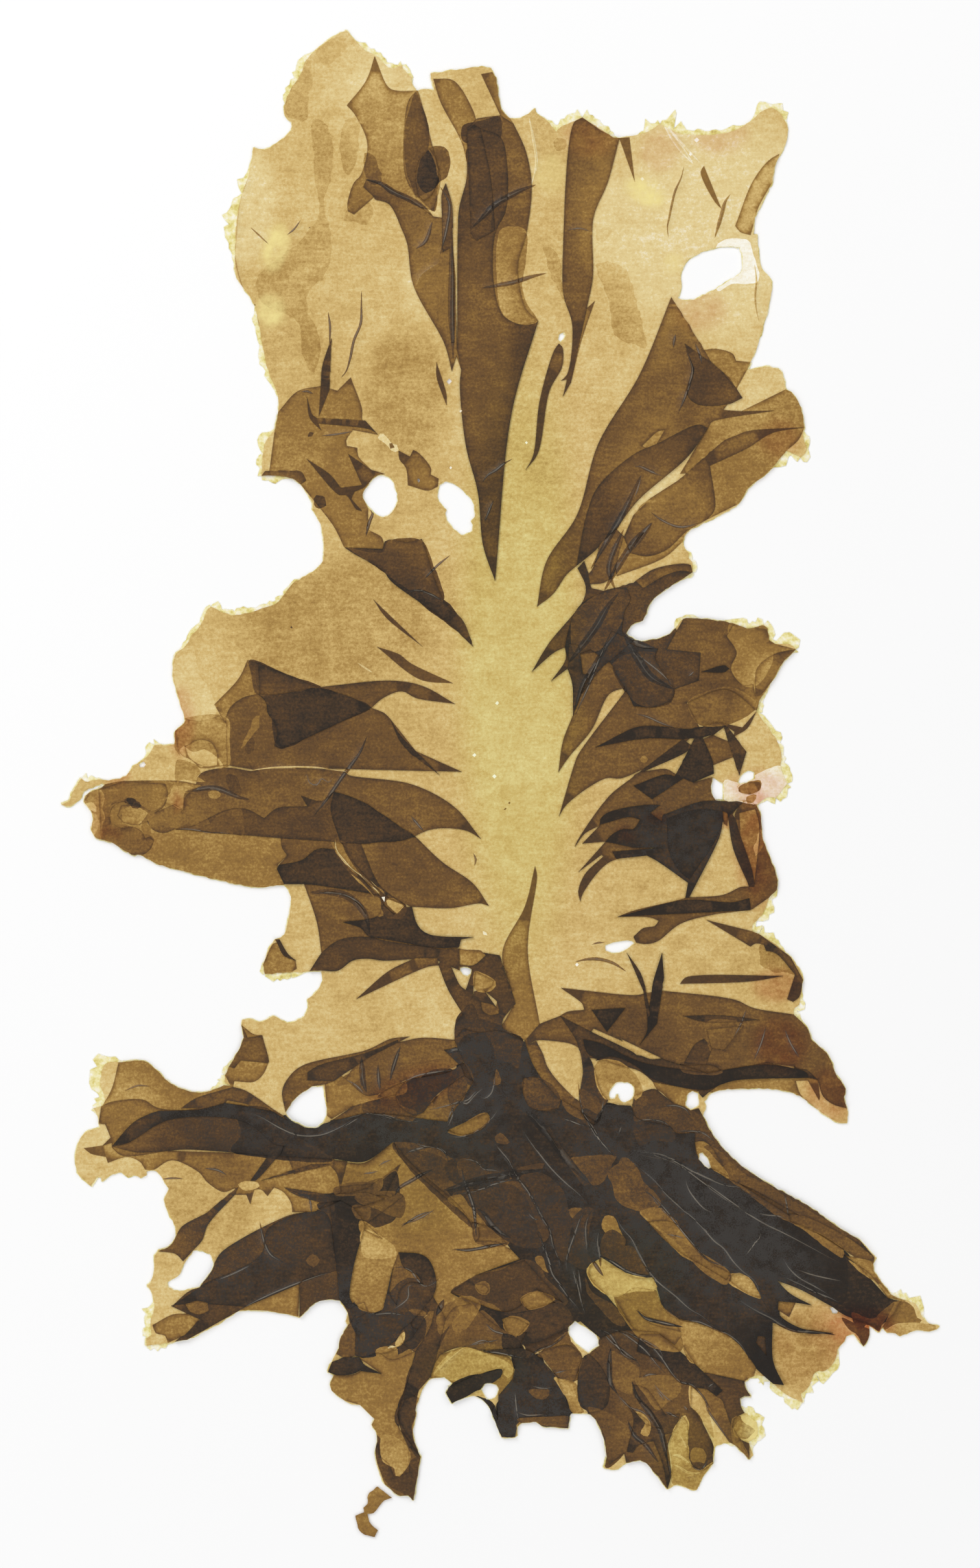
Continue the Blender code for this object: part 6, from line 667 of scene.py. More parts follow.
def tissueGroup(options):
    # the tissue's colour, roughness and height, which the blade and the scrap share
    tree = bpy.data.node_groups.new("laverTissue", "ShaderNodeTree")
    # Shine sets the strength of the painted highlight along the creases
    for label in ("Clouds", "Shine"):
        tree.interface.new_socket(label, in_out="INPUT", socket_type="NodeSocketFloat")
    tree.interface.new_socket("Colour", in_out="OUTPUT", socket_type="NodeSocketColor")
    for label in ("Roughness", "Height"):
        tree.interface.new_socket(label, in_out="OUTPUT", socket_type="NodeSocketFloat")
    given = tree.nodes.new("NodeGroupInput").outputs
    result = tree.nodes.new("NodeGroupOutput").inputs

    def add(a, b, clamp=False):
        return mathNode(tree, "ADD", a, b, clamp)

    def less(a, b):
        return mathNode(tree, "SUBTRACT", a, b)

    def times(a, b, clamp=False):
        return mathNode(tree, "MULTIPLY", a, b, clamp)

    def comesIn(value, span):
        return mathNode(tree, "DIVIDE", value, span, True)

    coords = tree.nodes.new("ShaderNodeTexCoord").outputs["Object"]
    squeeze = tree.nodes.new("ShaderNodeVectorMath")
    squeeze.operation = "MULTIPLY"
    squeeze.inputs[1].default_value = options["fibreSqueeze"]
    tree.links.new(coords, squeeze.inputs[0])
    cloud = noiseAt(tree, coords, *options["cloudNoise"])
    mottle = noiseAt(tree, coords, *options["mottleNoise"])
    grain = noiseAt(tree, coords, *options["grainNoise"])
    fibre = noiseAt(tree, squeeze.outputs[0], *options["fibreNoise"])

    # how deep the colour is, in layers
    depth = times(attribute(tree, "layers"), attribute(tree, "thick"))
    swing = 0.0
    for texture, amount in (
        (cloud, given["Clouds"]),
        (mottle, options["mottle"]),
        (grain, options["grain"]),
        (fibre, options["fibre"]),
    ):
        swing = add(times(less(texture, 0.5), amount), swing)
    perLayer, always = options["swing"]
    depth = add(depth, times(swing, add(times(depth, perLayer), always)))
    depth = add(depth, times(attribute(tree, "ridge"), options["ridgeDark"]))
    hem = mathNode(tree, "POWER", attribute(tree, "hem"), options["hemEdge"])
    depth = add(depth, times(hem, options["hemDark"]))
    shown = comesIn(depth, options["stretch"])
    colour = colourRamp(tree, options["stops"], options["stretch"], shown)

    # a blue-grey mixed over the deepest gathers, peppered
    start, span = options["slateOver"]
    dark = comesIn(less(depth, start), span)
    slate = attribute(tree, "slate")
    fine, coarse = (noiseAt(tree, coords, *texture) for texture in options["speckNoises"])
    speck = times(less(add(fine, coarse), 1.0), options["pepper"])
    covered = times(times(slate, options["slateSpread"], True), dark)
    slate = times(add(slate, speck, True), covered)
    colour = mixColour(tree, "MIX", slate, colour, linear(*options["slate"]))

    # olive and red casts
    olive = times(attribute(tree, "olive"), 1.0, True)
    colour = mixColour(tree, "MULTIPLY", olive, colour, linear(*options["oliveTint"]))
    red = times(attribute(tree, "red"), times(mottle, options["redMottle"]), True)
    colour = mixColour(tree, "MULTIPLY", red, colour, linear(*options["redTint"]))

    # pale places in thin film
    end, span = options["paleUnder"]
    thin = comesIn(less(end, depth), span)
    start, gain = options["paleMottle"]
    cloudy = times(less(mottle, start), gain, True)
    pale = times(times(attribute(tree, "pale"), thin), cloudy, True)
    colour = mixColour(tree, "MIX", pale, colour, linear(*options["pale"]))

    # painted highlight: the fine creases' middle lines are mixed towards a pale grey, standing in for light
    # caught on their crests
    start, span = options["paintedShineOver"]
    over = comesIn(less(depth, start), span)
    paintedShine = times(times(times(attribute(tree, "glint"), 1.0, True), over), given["Shine"])
    paintedShine = times(paintedShine, times(mottle, options["paintedShineMottle"]), True)
    colour = mixColour(tree, "MIX", paintedShine, colour, linear(*options["paintedShineTint"]))

    least, added = options["roughness"]
    tree.links.new(colour, result["Colour"])
    tree.links.new(add(times(mottle, added), least), result["Roughness"])
    tree.links.new(add(grain, times(mottle, options["bumpMottle"])), result["Height"])
    return tree


def newMaterial(name):
    material = bpy.data.materials.new(name)
    material.use_nodes = True
    return material, material.node_tree, material.node_tree.nodes["Principled BSDF"]


def tissueMaterial(name, group, options):
    material, tree, shader = newMaterial(name)
    placed = tree.nodes.new("ShaderNodeGroup")
    placed.node_tree = group
    placed.inputs["Clouds"].default_value = options["clouds"]
    placed.inputs["Shine"].default_value = options["paintedShine"]
    bump = tree.nodes.new("ShaderNodeBump")
    strength, distance = options["bump"]
    bump.inputs["Strength"].default_value = strength
    bump.inputs["Distance"].default_value = distance
    tree.links.new(placed.outputs["Colour"], shader.inputs["Base Color"])
    tree.links.new(placed.outputs["Roughness"], shader.inputs["Roughness"])
    tree.links.new(placed.outputs["Height"], bump.inputs["Height"])
    tree.links.new(bump.outputs[0], shader.inputs["Normal"])
    shader.inputs["Specular IOR Level"].default_value = options["gloss"]
    return material


laverTissue = tissueGroup(tissue)
print("tissue ready")

# the blade, mm
blade = {
    "base": 0.17,  # height of one layer
    "rise": 0.07,  # how much higher each further layer lies
    "waves": 0.05,  # height of the sheet's slow waves
    "waveTurns": 0.09,  # how many of them there are to a mm
    "lowest": 0.05,  # the top lies nowhere under this
    "grid": 0.85,  # between the points inside the sheet
    "curveStep": 0.55,  # between the points along a fold
    "ragged": 0.12,  # how far the torn rim strays
    "seed": 11,
    "crest": 0.35,  # height of a crease over its width
    "glint": 0.12,  # how far from its middle line a crease's painted highlight reaches
    "fray": (0.3, 0.1),  # how far the edges of stains and of tones stray
    "palest": 0.4,  # a stain leaves at least this many layers to be seen
    "rimHem": 0.3,  # how dark the rim's hem is beside a fold's
    # small folds and needles: width in mm, layers added, points along the middle; layers below zero draw a
    # lighter line, and along the right dark gather such lines are a painted sheen
    "creases": [
        (0.25, 1, [(-20.7, -49.9), (-18.2, -50), (-16.2, -50.5), (-14.4, -50.9), (-13.2, -51),
            (-11.7, -50.7)]),
        (0.3, 1, [(-15.6, -45.6), (-14.2, -44.9), (-12.5, -44.1), (-10, -43.6), (-7.7, -43.3), (-6, -43)]),
        (0.3, 1, [(-7.5, -48.4), (-7.1, -49.6), (-7.6, -51.1), (-7.9, -51.8)]),
        (0.3, 1, [(-7.2, -48.6), (-5.7, -48), (-4.7, -47.6), (-3.8, -46.6), (-3.3, -46.4)]),
        (0.3, 1, [(-13.2, -54.1), (-11.5, -54.6), (-9.5, -55), (-8.5, -55.6), (-7.7, -56.8)]),
        (0.3, 1, [(-8, -53.2), (-6.2, -53.3), (-4.3, -52.8), (-2.8, -52), (-1.3, -50.5), (0, -48.7)]),
        (0.4, 1, [(-3.3, -47.1), (-2.4, -47.5), (-1.5, -46.9), (-1, -45.6), (-0.8, -43.6)]),
        (0.5, 1, [(-0.8, -54.8), (0.5, -56.3), (1.7, -57.8), (2.7, -59.6), (4.2, -61.5), (5.2, -63.3),
            (6.2, -65.3), (7.4, -67.3), (7.9, -69.5), (8.7, -71.5), (9.7, -74.2)]),
        (0.3, 1, [(-1, -54.1), (0, -55.3), (1.2, -56.8), (2.2, -58.6)]),
        (0.3, 1, [(3.2, -51.8), (4.2, -53.6), (5.7, -55.6), (7.7, -58.1), (9.7, -60.1), (11.9, -62),
            (13.2, -63.5)]),
        (1.3, 1.5, [(2.7, -48.1), (4.2, -49.6), (5.7, -51.3), (7.2, -52.8), (8.4, -54.6), (9.7, -56.3),
            (11.7, -58.6), (13.4, -60.3)]),
        (0.35, 1, [(11.7, -45.1), (11.9, -47.1), (12.4, -49.6), (13.7, -51.6), (14.9, -53.6), (16.1, -55.1),
            (17.4, -56.6)]),
        (0.3, 1, [(9.2, -50.4), (10.7, -51), (12.4, -51.6)]),
        (0.3, 1, [(14.1, -50.9), (15.1, -49.9), (15.4, -48.4), (15.6, -47.4)]),
        (0.5, 2, [(-5.7, -58.1), (-5.5, -59.6), (-4.7, -61.8), (-4, -64), (-3.8, -66), (-3.6, -68.5)]),
        (0.8, 1.5, [(-3.5, -64), (-2.3, -65), (-1.3, -66.5), (0.2, -67.8), (1.7, -68.5)]),
        (1.2, 1.5, [(-8.5, -61.3), (-5.7, -60.5), (-2.3, -59.6), (0.7, -59.1), (3.2, -58.6), (5.7, -58.4)]),
        (0.3, 1, [(-6.7, -62), (-3.3, -61.3), (0, -60.1), (2.7, -59.6)]),
        (0.3, 1, [(4.2, -64.7), (4.9, -65.5), (5.7, -65.8)]),
        (0.4, 1, [(5.7, -67.3), (6.2, -68.5), (6.4, -69.7), (7.4, -72), (7.9, -74), (9.7, -76.2),
            (10.4, -77.7)]),
        (0.4, 1, [(12.9, -64), (11.9, -65.8), (11.2, -67.8), (10.4, -70), (9.9, -72), (10.2, -74)]),
        (0.5, 1, [(13.7, -64.3), (12.9, -66.3), (12.9, -69), (13.2, -71)]),
        (0.6, 1.5, [(14.9, -67), (14.6, -69), (14.9, -71), (15.1, -73)]),
        (0.4, 1, [(10.7, -72.5), (11.4, -75.2), (12.2, -78.2), (12.4, -79.9)]),
        (0.3, 1, [(11.7, -73), (11.9, -74.5), (12.2, -77)]),
        (0.45, 2, [(-7.1, -70.1), (-5.2, -70.4), (-3.3, -70.1), (-1.3, -69.6), (0.7, -69.4)]),
        (0.35, 2, [(-14.9, -66.8), (-13.4, -65.8), (-12, -65), (-10.5, -64.5)]),
        (0.6, 2, [(-15.9, -62.2), (-15.2, -61), (-13.4, -59.9), (-11.5, -58.8), (-10, -58.1)]),
        (0.25, 1.5, [(-18.4, -57.7), (-17.4, -57.1), (-16.3, -56.7)]),
        (0.25, 1.5, [(-20.7, -58.8), (-19.4, -58.7), (-18.2, -58.4)]),
        (0.4, 1.5, [(-14.2, -55.7), (-12.5, -55.1), (-10.7, -54.8)]),
        (0.35, 1, [(-16.2, -73), (-14.7, -72.9), (-13.4, -73.5), (-12.5, -74.7), (-11.5, -75.7), (-10, -75.3),
            (-9, -74.3)]),
        (0.3, 1, [(-16.2, -79.4), (-13.9, -77.5), (-13.7, -75.7), (-12.7, -75.6)]),
        (0.3, 1, [(-20.7, -79.4), (-18.7, -79.9), (-16.2, -79.8), (-13.9, -80.3)]),
        (0.9, 2, [(-9.7, -80.2), (-9, -78.9), (-8.5, -77.7)]),
        (0.3, 1, [(-6, -56.8), (-4.7, -56.7), (-3.5, -57.1), (-2.5, -58.1), (-1, -58.3), (0.5, -58.6)]),
        (0.35, 1, [(12.5, -50), (13.7, -52), (15, -54), (16.5, -55.5), (17.6, -56.6)]),
        (0.5, 1, [(19.1, -55), (20.9, -55.5), (22.9, -55.7), (24.9, -56.2), (26.4, -57), (28.4, -58.2),
            (30.9, -59.4), (33.9, -60.6), (35.9, -60.9), (37.3, -61.9), (39.2, -62.9)]),
        # a lighter line along the dark band: painted sheen where glare lies along it
        (0.3, -1, [(19.7, -55.5), (22.4, -56.3), (24.9, -56.7), (27.4, -57.9), (29.9, -59.7), (32.4, -61.4),
            (34.9, -63.2), (37.3, -64.9), (39.8, -66.4), (42.3, -67.6), (44.8, -68.9), (48.5, -70.9),
            (51.5, -72.5)]),
        (0.5, 1, [(18.7, -56), (20.9, -57.9), (23.2, -59.9), (24.9, -61.9), (27.4, -64.2), (29.9, -66.4),
            (32.1, -68.9), (33.6, -70.1), (34.9, -71.9), (36.3, -73.4), (38.3, -75.1), (39.3, -77.6),
            (40.6, -79.8)]),
        (0.4, 1, [(21.4, -61.2), (22.9, -62.2), (24.4, -63.7), (26.4, -66.2), (27.9, -68.1), (29.9, -70.6),
            (31.4, -71.9), (33.1, -72.5), (35.9, -73.6)]),
        (0.5, 1, [(17.2, -63.4), (17.5, -65.4), (18.4, -67.1), (19.7, -68.6), (20.9, -70.9), (22.4, -73.6),
            (23.7, -75.1), (26.4, -77.3), (28.4, -79.1), (30.4, -80.3), (32.4, -82.1), (33.4, -82.8)]),
        (0.4, 1, [(24.2, -78.8), (25.4, -79.7), (27.4, -80.8), (29.9, -81.1), (32.1, -82.1), (34.4, -83.1),
            (36.1, -84.5), (37.6, -87)]),
        (0.6, 2, [(34.6, -76.8), (36.3, -78.1), (38.8, -79.6), (40.8, -80.6), (42.3, -81.6), (44.3, -82.4),
            (47.3, -82.6), (50.5, -83.1)]),
        (0.5, 1.5, [(42.2, -74.1), (44.3, -75.1), (47.3, -76.6), (49.8, -77.6), (51.5, -78.6)]),
        (0.4, 1, [(42.3, -71.1), (43.3, -72.9), (44.8, -74.4), (47.3, -75.8), (49.8, -77.3)]),
        (0.25, -1, [(44.3, -73.1), (46.5, -73.9), (48.5, -74.4), (51.5, -75)]),
        (0.3, 1, [(38.5, -64.7), (39.8, -65), (41.8, -65.2), (43.2, -65.7)]),
        (0.25, 1.5, [(42.7, -61.9), (43.1, -63.9), (43.3, -65.4)]),
        (0.25, 1, [(24.9, -67.9), (26.9, -68.3), (27.6, -68.6)]),
        (0.5, 2, [(20.4, -79.3), (21.9, -80.6), (24.4, -81.2), (27.4, -81.9)]),
        (0.4, 1, [(15.2, -71.4), (17, -72.1), (18.9, -73.4), (20.9, -74.1), (22.7, -74.4)]),
        (0.25, 1, [(36.7, -71.4), (37.6, -70.1), (38.8, -68.6), (39.3, -67.1)]),
        (0.4, 1, [(15, -82.1), (16.2, -83.6), (17.5, -84.8), (18.9, -86.3), (20.7, -87)]),
        (0.4, 1, [(17.7, -82.1), (19.9, -83.1), (22.4, -84.3), (23.9, -85.3), (24.7, -87)]),
        (0.35, 1, [(26.4, -52.5), (28.4, -52.4), (30.4, -52.7), (32.4, -54.2)]),
        (0.35, 1.5, [(24.5, -48.7), (26.4, -48.6), (27.9, -49.2), (28.6, -50.2)]),
        (0.3, 1, [(19.9, -51), (22.4, -50.7), (24.4, -51), (25.9, -52.2)]),
        (0.4, 1, [(5.4, -67.5), (6.9, -70.5), (7.6, -73.5), (8.9, -75.5), (10.1, -77.2), (11.4, -78.7),
            (12.4, -79.9)]),
        (0.5, 1, [(14.1, -82.2), (16.1, -82.7), (17.8, -84.9), (19.3, -86.1), (20.6, -87.1), (21.1, -88.1)]),
        (0.4, 1, [(15.4, -82.2), (17.6, -82.4), (19.3, -83.4), (21.8, -85.4), (23.6, -87.6), (25.1, -89.1)]),
        (0.4, 1, [(17.6, -82.4), (20.3, -83.4), (22.8, -84.9), (24.3, -86.6), (25.8, -88.9), (27, -90.1),
            (28.8, -90.6), (30.3, -92.1), (32, -94.8)]),
        (0.5, 1, [(4.2, -86.4), (5.7, -85.4), (7.4, -84.7), (9.1, -83.7), (10.1, -82.7)]),
        (0.4, 1, [(-2.8, -85.8), (-0.8, -85.7), (1.2, -86.1), (3.9, -86.6)]),
        (0.35, 1.5, [(-2.3, -81.2), (-1.1, -82.4), (0.4, -82.9), (1.4, -83.4)]),
        (0.25, 1, [(-4.8, -84.7), (-2.5, -84.2), (-0.1, -83.8)]),
        (0.4, 1, [(17.1, -91.4), (18.1, -92.6), (19.8, -94.1), (21.3, -94.6), (22.3, -95.6), (23.6, -97.3)]),
        (0.9, 2, [(19.7, -89.9), (20.6, -92.4), (22.3, -94.6), (23.8, -96.8), (24.6, -99.3), (25.3, -102.3),
            (25.6, -104.8)]),
        (0.8, 2, [(16.6, -84.9), (16.4, -87.4), (16.6, -90.4), (17.6, -91.9)]),
        (0.35, 1, [(21.1, -89.6), (22.3, -89), (23.8, -89.1)]),
        (0.25, -1, [(2.4, -94.6), (3.9, -95.1), (6.7, -95)]),
        (0.35, 1, [(4.4, -90.6), (6.4, -91.1), (7.9, -90.9)]),
        (0.3, 1.5, [(7.9, -88.9), (9.9, -88.4)]),
        (0.3, 1, [(24.8, -94.8), (26.8, -95.5)]),
        (0.3, 1, [(27.5, -93.6), (28.3, -94.6)]),
        (0.6, 2, [(13.6, -71.5), (14.4, -72.7), (15.5, -74.3)]),
        (0.6, 2, [(20.6, -79.4), (21.6, -80.4), (24.1, -81.2), (27.5, -81.9)]),
        (0.3, 1, [(2.2, -91.4), (2.4, -93.9), (2.7, -96.1)]),
        (0.7, 2, [(19.1, -95.8), (20.1, -98.1), (21.8, -99.6), (23.8, -102.3)]),
        (0.9, 2, [(-20.4, 90.7), (-17.9, 90), (-16.3, 88.9), (-13.9, 87.8), (-11.8, 86.6), (-10.1, 85.1)]),
        (0.9, 1.6, [(5.4, 89.9), (2.8, 88.9), (0.7, 87.8), (-1, 86.7), (-2.6, 85), (-4.3, 83.3)]),
        (0.7, 1.6, [(7, 76.6), (4.5, 76), (2, 75.2), (0, 74.8), (-2.8, 74.3)]),
        (0.3, 1, [(10, 83), (12, 83.3), (13.8, 82.7)]),
        (0.35, 2, [(27.6, 92.7), (27.2, 91), (26.3, 89), (25.8, 87), (25.4, 85), (25.1, 83.5), (25.3, 81.8)]),
        (0.6, 2, [(34.6, 88.5), (33.8, 87.3), (33.3, 85.5), (32.2, 81.8)]),
        (0.3, 1, [(38.2, 78), (38.5, 75.5), (38.3, 73), (38.5, 71), (38.9, 69.3)]),
        (0.25, 2, [(-37.6, 83.5), (-36.3, 82.3), (-34.8, 80.9)]),
        (0.25, 2, [(-30, 84.6), (-31, 83.2), (-32.1, 82.3)]),
        (0.35, 2, [(-25.9, 70.8), (-25.6, 68.4), (-25.7, 65.9)]),
        (0.4, 2, [(-20.9, 74), (-20.9, 71.5), (-21, 69), (-22, 66.5), (-22.6, 63.7), (-23.2, 61.8),
            (-24, 60.8)]),
        (0.25, -0.6, [(24.8, 99), (27.4, 96), (30, 93.2)]),
        (0.4, -1, [(4.3, 100), (5, 96.5), (5.4, 93), (4.7, 90)]),
        (0.4, 1.5, [(-30, 58.7), (-29, 58.8), (-28.1, 58.4)]),
        (0.3, 1.5, [(-27, 52.1), (-25, 52.3), (-22, 52.8)]),
        (0.4, 2, [(-2.7, 45.1), (-1.9, 46.2), (-0.7, 46.9), (0.5, 47.9), (1.9, 48.7)]),
        (0.4, 2, [(-2.4, 39.1), (-1.6, 41.1), (-1, 42.4)]),
        (0.5, 2, [(-19.7, 41.3), (-19.2, 40.5), (-19.6, 39.4), (-19.9, 38.4), (-20.2, 37)]),
        (0.35, 2, [(-11.4, 30.6), (-9.5, 32.6), (-7.5, 34.2)]),
        (0.35, 1.5, [(-13.9, 28.6), (-12.4, 28.9), (-10.5, 28.3), (-8.8, 27.3)]),
        (0.35, 1.5, [(-6.6, 44.6), (-5.6, 43.4), (-4.5, 42.8)]),
        (0.5, 1.5, [(27.8, 65.3), (28.9, 62.3), (28.9, 61.8), (28, 58.6), (26.7, 55.4)]),
        (0.5, 1.5, [(26.4, 67.5), (26.1, 66.4), (26, 65.3)]),
        (0.4, 1.5, [(29.2, 66.1), (29.9, 64.5), (30.3, 62.9)]),
        (0.5, 1, [(20, 47.4), (20.9, 47.5), (22.5, 46.8), (24.3, 46)]),
        (0.3, 1, [(21.2, 46.4), (20.6, 44), (20, 42.5)]),
        (0.4, 1.5, [(22.5, 40.7), (24, 39.6), (25.8, 38.7), (27.3, 38.4), (29.2, 38.8), (30.1, 39.1)]),
        (0.8, 1, [(22.9, 39.1), (21.4, 37.2), (20, 35)]),
        (0.6, 1.6, [(-20, 7), (-21.1, 4.5), (-22.6, 2.4), (-24, 0.5), (-26, -2.4), (-28, -5)]),
        (0.4, 1.5, [(-13.5, -5), (-12.5, -6.2), (-11.4, -7.5)]),
        (0.8, 1.5, [(-47.4, -1.4), (-45.6, -1.1), (-43.7, -0.8), (-42.5, -0.9), (-41, -1.5), (-39.4, -2.2),
            (-37.6, -2.6)]),
        (0.35, 1.5, [(-4.1, -10.6), (-3.7, -11.6), (-3.9, -12.6)]),
        (0.4, 1, [(-28.5, -16.8), (-25, -16.6), (-22.5, -17.3), (-21, -18.4), (-20, -20)]),
        (0.3, 1, [(20, 19.7), (25, 15.6), (26.1, 14)]),
        (0.3, 1, [(29.2, 16.8), (28.6, 16.2), (28.1, 15.9)]),
        (0.4, 1, [(20, 10.4), (22, 9.9), (24, 9), (26.4, 8.1)]),
        (0.35, 1.5, [(16.7, 22.8), (15, 19), (13.3, 14.6), (11.2, 10)]),
        (0.3, -1.6, [(-24.8, -8.3), (-24.7, -10), (-23.5, -11.8), (-22, -13.4), (-20.6, -14.3),
            (-18.5, -16.4), (-17.9, -17.2)]),
        (0.3, 1.5, [(13.7, -24.4), (14.7, -24.1), (15.7, -24.1)]),
        (0.5, 1.5, [(11.2, -27), (13, -26.6), (14.9, -26.6), (17, -27.2), (19, -28.5)]),
        (0.35, 1, [(37, -34), (36.2, -36.2), (35, -38.5)]),
        (0.35, 1, [(40, -36.5), (39.2, -39.2), (38, -42)]),
        (0.35, 1, [(42.7, -37), (43.6, -39.2), (45, -41.5)]),
        (0.4, 1, [(-39, -49.2), (-36, -50.3), (-33, -52), (-30.5, -53), (-27, -53), (-24, -51.8),
            (-21, -50)]),
        (0.35, 1, [(-15, -66.5), (-12.5, -65.7), (-9.8, -64.2)]),
        (0.35, 1.5, [(-44.5, -58), (-42.5, -58.3), (-41, -59.1)]),
        (0.35, 1.5, [(-28.9, -62), (-28.5, -63.4), (-28.4, -64.8)]),
        (0.3, 1.5, [(-51, -59.7), (-49.3, -59.5), (-47.6, -59.6)]),
        (0.3, 1.5, [(-56.5, -46.4), (-54.5, -45.6), (-52.7, -45.7)]),
        (0.35, 1, [(-43, -75), (-40, -73.8), (-37, -72.3)]),
        (0.5, 1.5, [(-36.2, -66), (-35.5, -69), (-34.5, -71), (-32.5, -72.2)]),
        (0.4, 1, [(-40, -79.7), (-36.4, -77.8), (-32.1, -75.9), (-27.8, -74.3), (-24.4, -73.3)]),
        (0.5, 1.5, [(-7.5, -70.3), (-4, -70.2), (-1, -69.7), (1.1, -69.2)]),
        (1.1, 1.5, [(10.2, 17.9), (12.4, 20.7), (14.5, 23.6), (16.1, 26.4), (17.8, 28.5)]),
        (0.9, 1.5, [(11, 10.5), (12.4, 14.6), (14.1, 17.4), (16.1, 20.7), (17.8, 22.8)]),
        (1.2, 1.6, [(18.4, 22.6), (20.6, 18.7), (22.7, 15.8), (26.1, 14)]),
        (1, 1.6, [(18.4, 22.6), (20.6, 20.9), (23.7, 19.9)]),
        (0.2, 0.4, [(-37.3, 95.4), (-38, 90.9), (-39.1, 87.5), (-39.7, 82.5), (-39.8, 78.5), (-38.8, 74.6),
            (-36.6, 70.1), (-36, 66.2), (-34.9, 61.1)]),
        (0.6, 1.5, [(-10.2, 84.4), (-11.3, 81.3), (-12.7, 80.2)]),
        (0.5, 1.5, [(-9.1, 89.7), (-7.7, 86.9), (-8, 83.6), (-9.1, 79.1)]),
        (0.2, -0.5, [(-12.7, 74.6), (-11.9, 76.3), (-9.1, 78.2)]),
        (0.8, 1.5, [(-7.3, 81.3), (-7.1, 75.7), (-7.2, 70.1), (-7.1, 63.4)]),
        (0.8, -0.7, [(24.5, 99), (27, 95.5), (29, 93)]),
        (0.9, 1.5, [(13.6, 32.1), (16.3, 36.8), (18.6, 40.8), (21.1, 46.2)]),
        (1, 1.5, [(15.6, 28.8), (18.3, 33.5), (20.6, 36.8), (22.8, 39.1)]),
        (0.8, 1.3, [(17.3, 28.8), (16.3, 32.1), (17.6, 36.1), (18.6, 38.1)]),
        (0.28, -2.2, [(-37.7, 1.8), (-34.3, 2.2), (-31, 2.3), (-27.6, 2.2), (-23.1, 1.6)]),
        (0.18, 0.9, [(-29.6, 0.8), (-29.1, 1.2), (-28.7, 0), (-27.6, -0.4), (-26.8, 0.6), (-25.9, 0),
            (-24.8, 0.9)]),
        (1.1, 1.2, [(-28.7, -16.5), (-25.4, -16.5), (-22.5, -17.4), (-20.3, -19.9), (-19.6, -22.7)]),
        (0.8, 2, [(-8, -40.7), (-6.7, -40.2), (-5.5, -40.4)]),
        (0.25, -0.7, [(-21.5, 18), (-20.3, 17.2), (-19.2, 16.5)]),
        (0.9, 1.3, [(-20.9, -41.2), (-20.8, -43), (-20.6, -45), (-20.1, -46.7)]),
        (0.55, 1.5, [(-18.4, -42.4), (-18.3, -44.4), (-18.1, -46.4)]),
        (0.6, 2, [(-15, -39.6), (-15.7, -41.6), (-16.2, -43.2), (-16.6, -44.9)]),
        (0.25, 1, [(-23.3, -44.6), (-21.6, -45.6), (-20.4, -46.9)]),
        (0.3, 1, [(-24, -51), (-22, -50.2), (-20, -49.8), (-17.5, -50), (-15, -50.7), (-13, -51),
            (-11.6, -50.7)]),
        (0.25, 1, [(-24, -52), (-22.3, -51), (-21.2, -50.4)]),
        (0.3, 1, [(-13, -54), (-12, -54.6), (-10.8, -54.8), (-9.6, -54.9)]),
        (0.25, 1, [(-9.2, -54.8), (-8.3, -55.6), (-7.9, -56.8)]),
        (0.25, 1, [(-8, -51.5), (-7.6, -50), (-7, -48.8), (-6.2, -48)]),
        (0.25, 1, [(-11, -49.3), (-9.2, -48.9), (-7.3, -48.4), (-6, -48), (-5.1, -48.3), (-4, -47.2),
            (-2.9, -46.2), (-2.1, -45.8)]),
        (0.25, 1, [(-4.8, -84.7), (-3.6, -84.2), (-2.7, -83.9), (-1.6, -84.1), (-0.2, -83.7)]),
        (0.35, 1.2, [(-3, -85.6), (-1, -85.6), (1, -86), (2.5, -86.4), (4, -86.6)]),
        (0.3, 1.2, [(4.5, -86.4), (6, -85.3), (7.6, -84.7), (9, -83.7), (9.9, -82.2)]),
        (0.15, -0.5, [(-9.5, -88.6), (-8, -87), (-6.2, -85.5), (-5.6, -85)]),
        (0.15, -0.4, [(-10, -89), (-8.8, -87.6), (-7.2, -86)]),
        (0.5, 1.5, [(15, -71.3), (16.3, -71.8), (17.8, -72.8), (19.4, -73.6), (21.2, -74.1), (22.8, -74.2)]),
        (0.25, 1, [(10.9, -72.6), (11.4, -74.5), (11.8, -76.5), (12.3, -78.6), (12.8, -80.1)]),
        (0.25, 1, [(19.8, -55.2), (21.8, -55.4), (24, -56.4), (26.2, -57), (28.4, -58.6), (31, -60.6),
            (34, -62.8), (37.6, -65)]),
        (0.25, 1, [(27.8, -59.4), (28.2, -61), (29.4, -62.8), (30.8, -64.2), (32, -64.7)]),
        (0.3, 1, [(21.3, -61.1), (22.6, -62), (23.8, -63.6), (25.6, -65.4), (27.4, -67.6), (29.4, -69.8),
            (31.2, -71.8), (33, -72.6)]),
        (0.25, 1, [(36.9, -71.2), (37.6, -70.2), (38.2, -69.2), (38.9, -68.6), (39.2, -67.4)]),
        (0.25, 1, [(10, -50.6), (11.4, -51.2), (12.8, -51.7)]),
        (0.25, 1, [(17.8, -52.8), (18.2, -51.6)]),
        (0.35, -0.7, [(25.8, -101.2), (26.6, -101.2), (27.6, -101.7), (28.4, -102.4)]),
        (0.35, -0.7, [(26, -102.6), (27, -103), (28, -103.7), (29.4, -103.9), (30.2, -103.7)]),
        (0.2, -0.6, [(27, -98.2), (27.6, -99.2), (28, -100.2)]),
        (0.2, -0.4, [(27.6, -104.5), (28.6, -104.3), (29.6, -104.2)]),
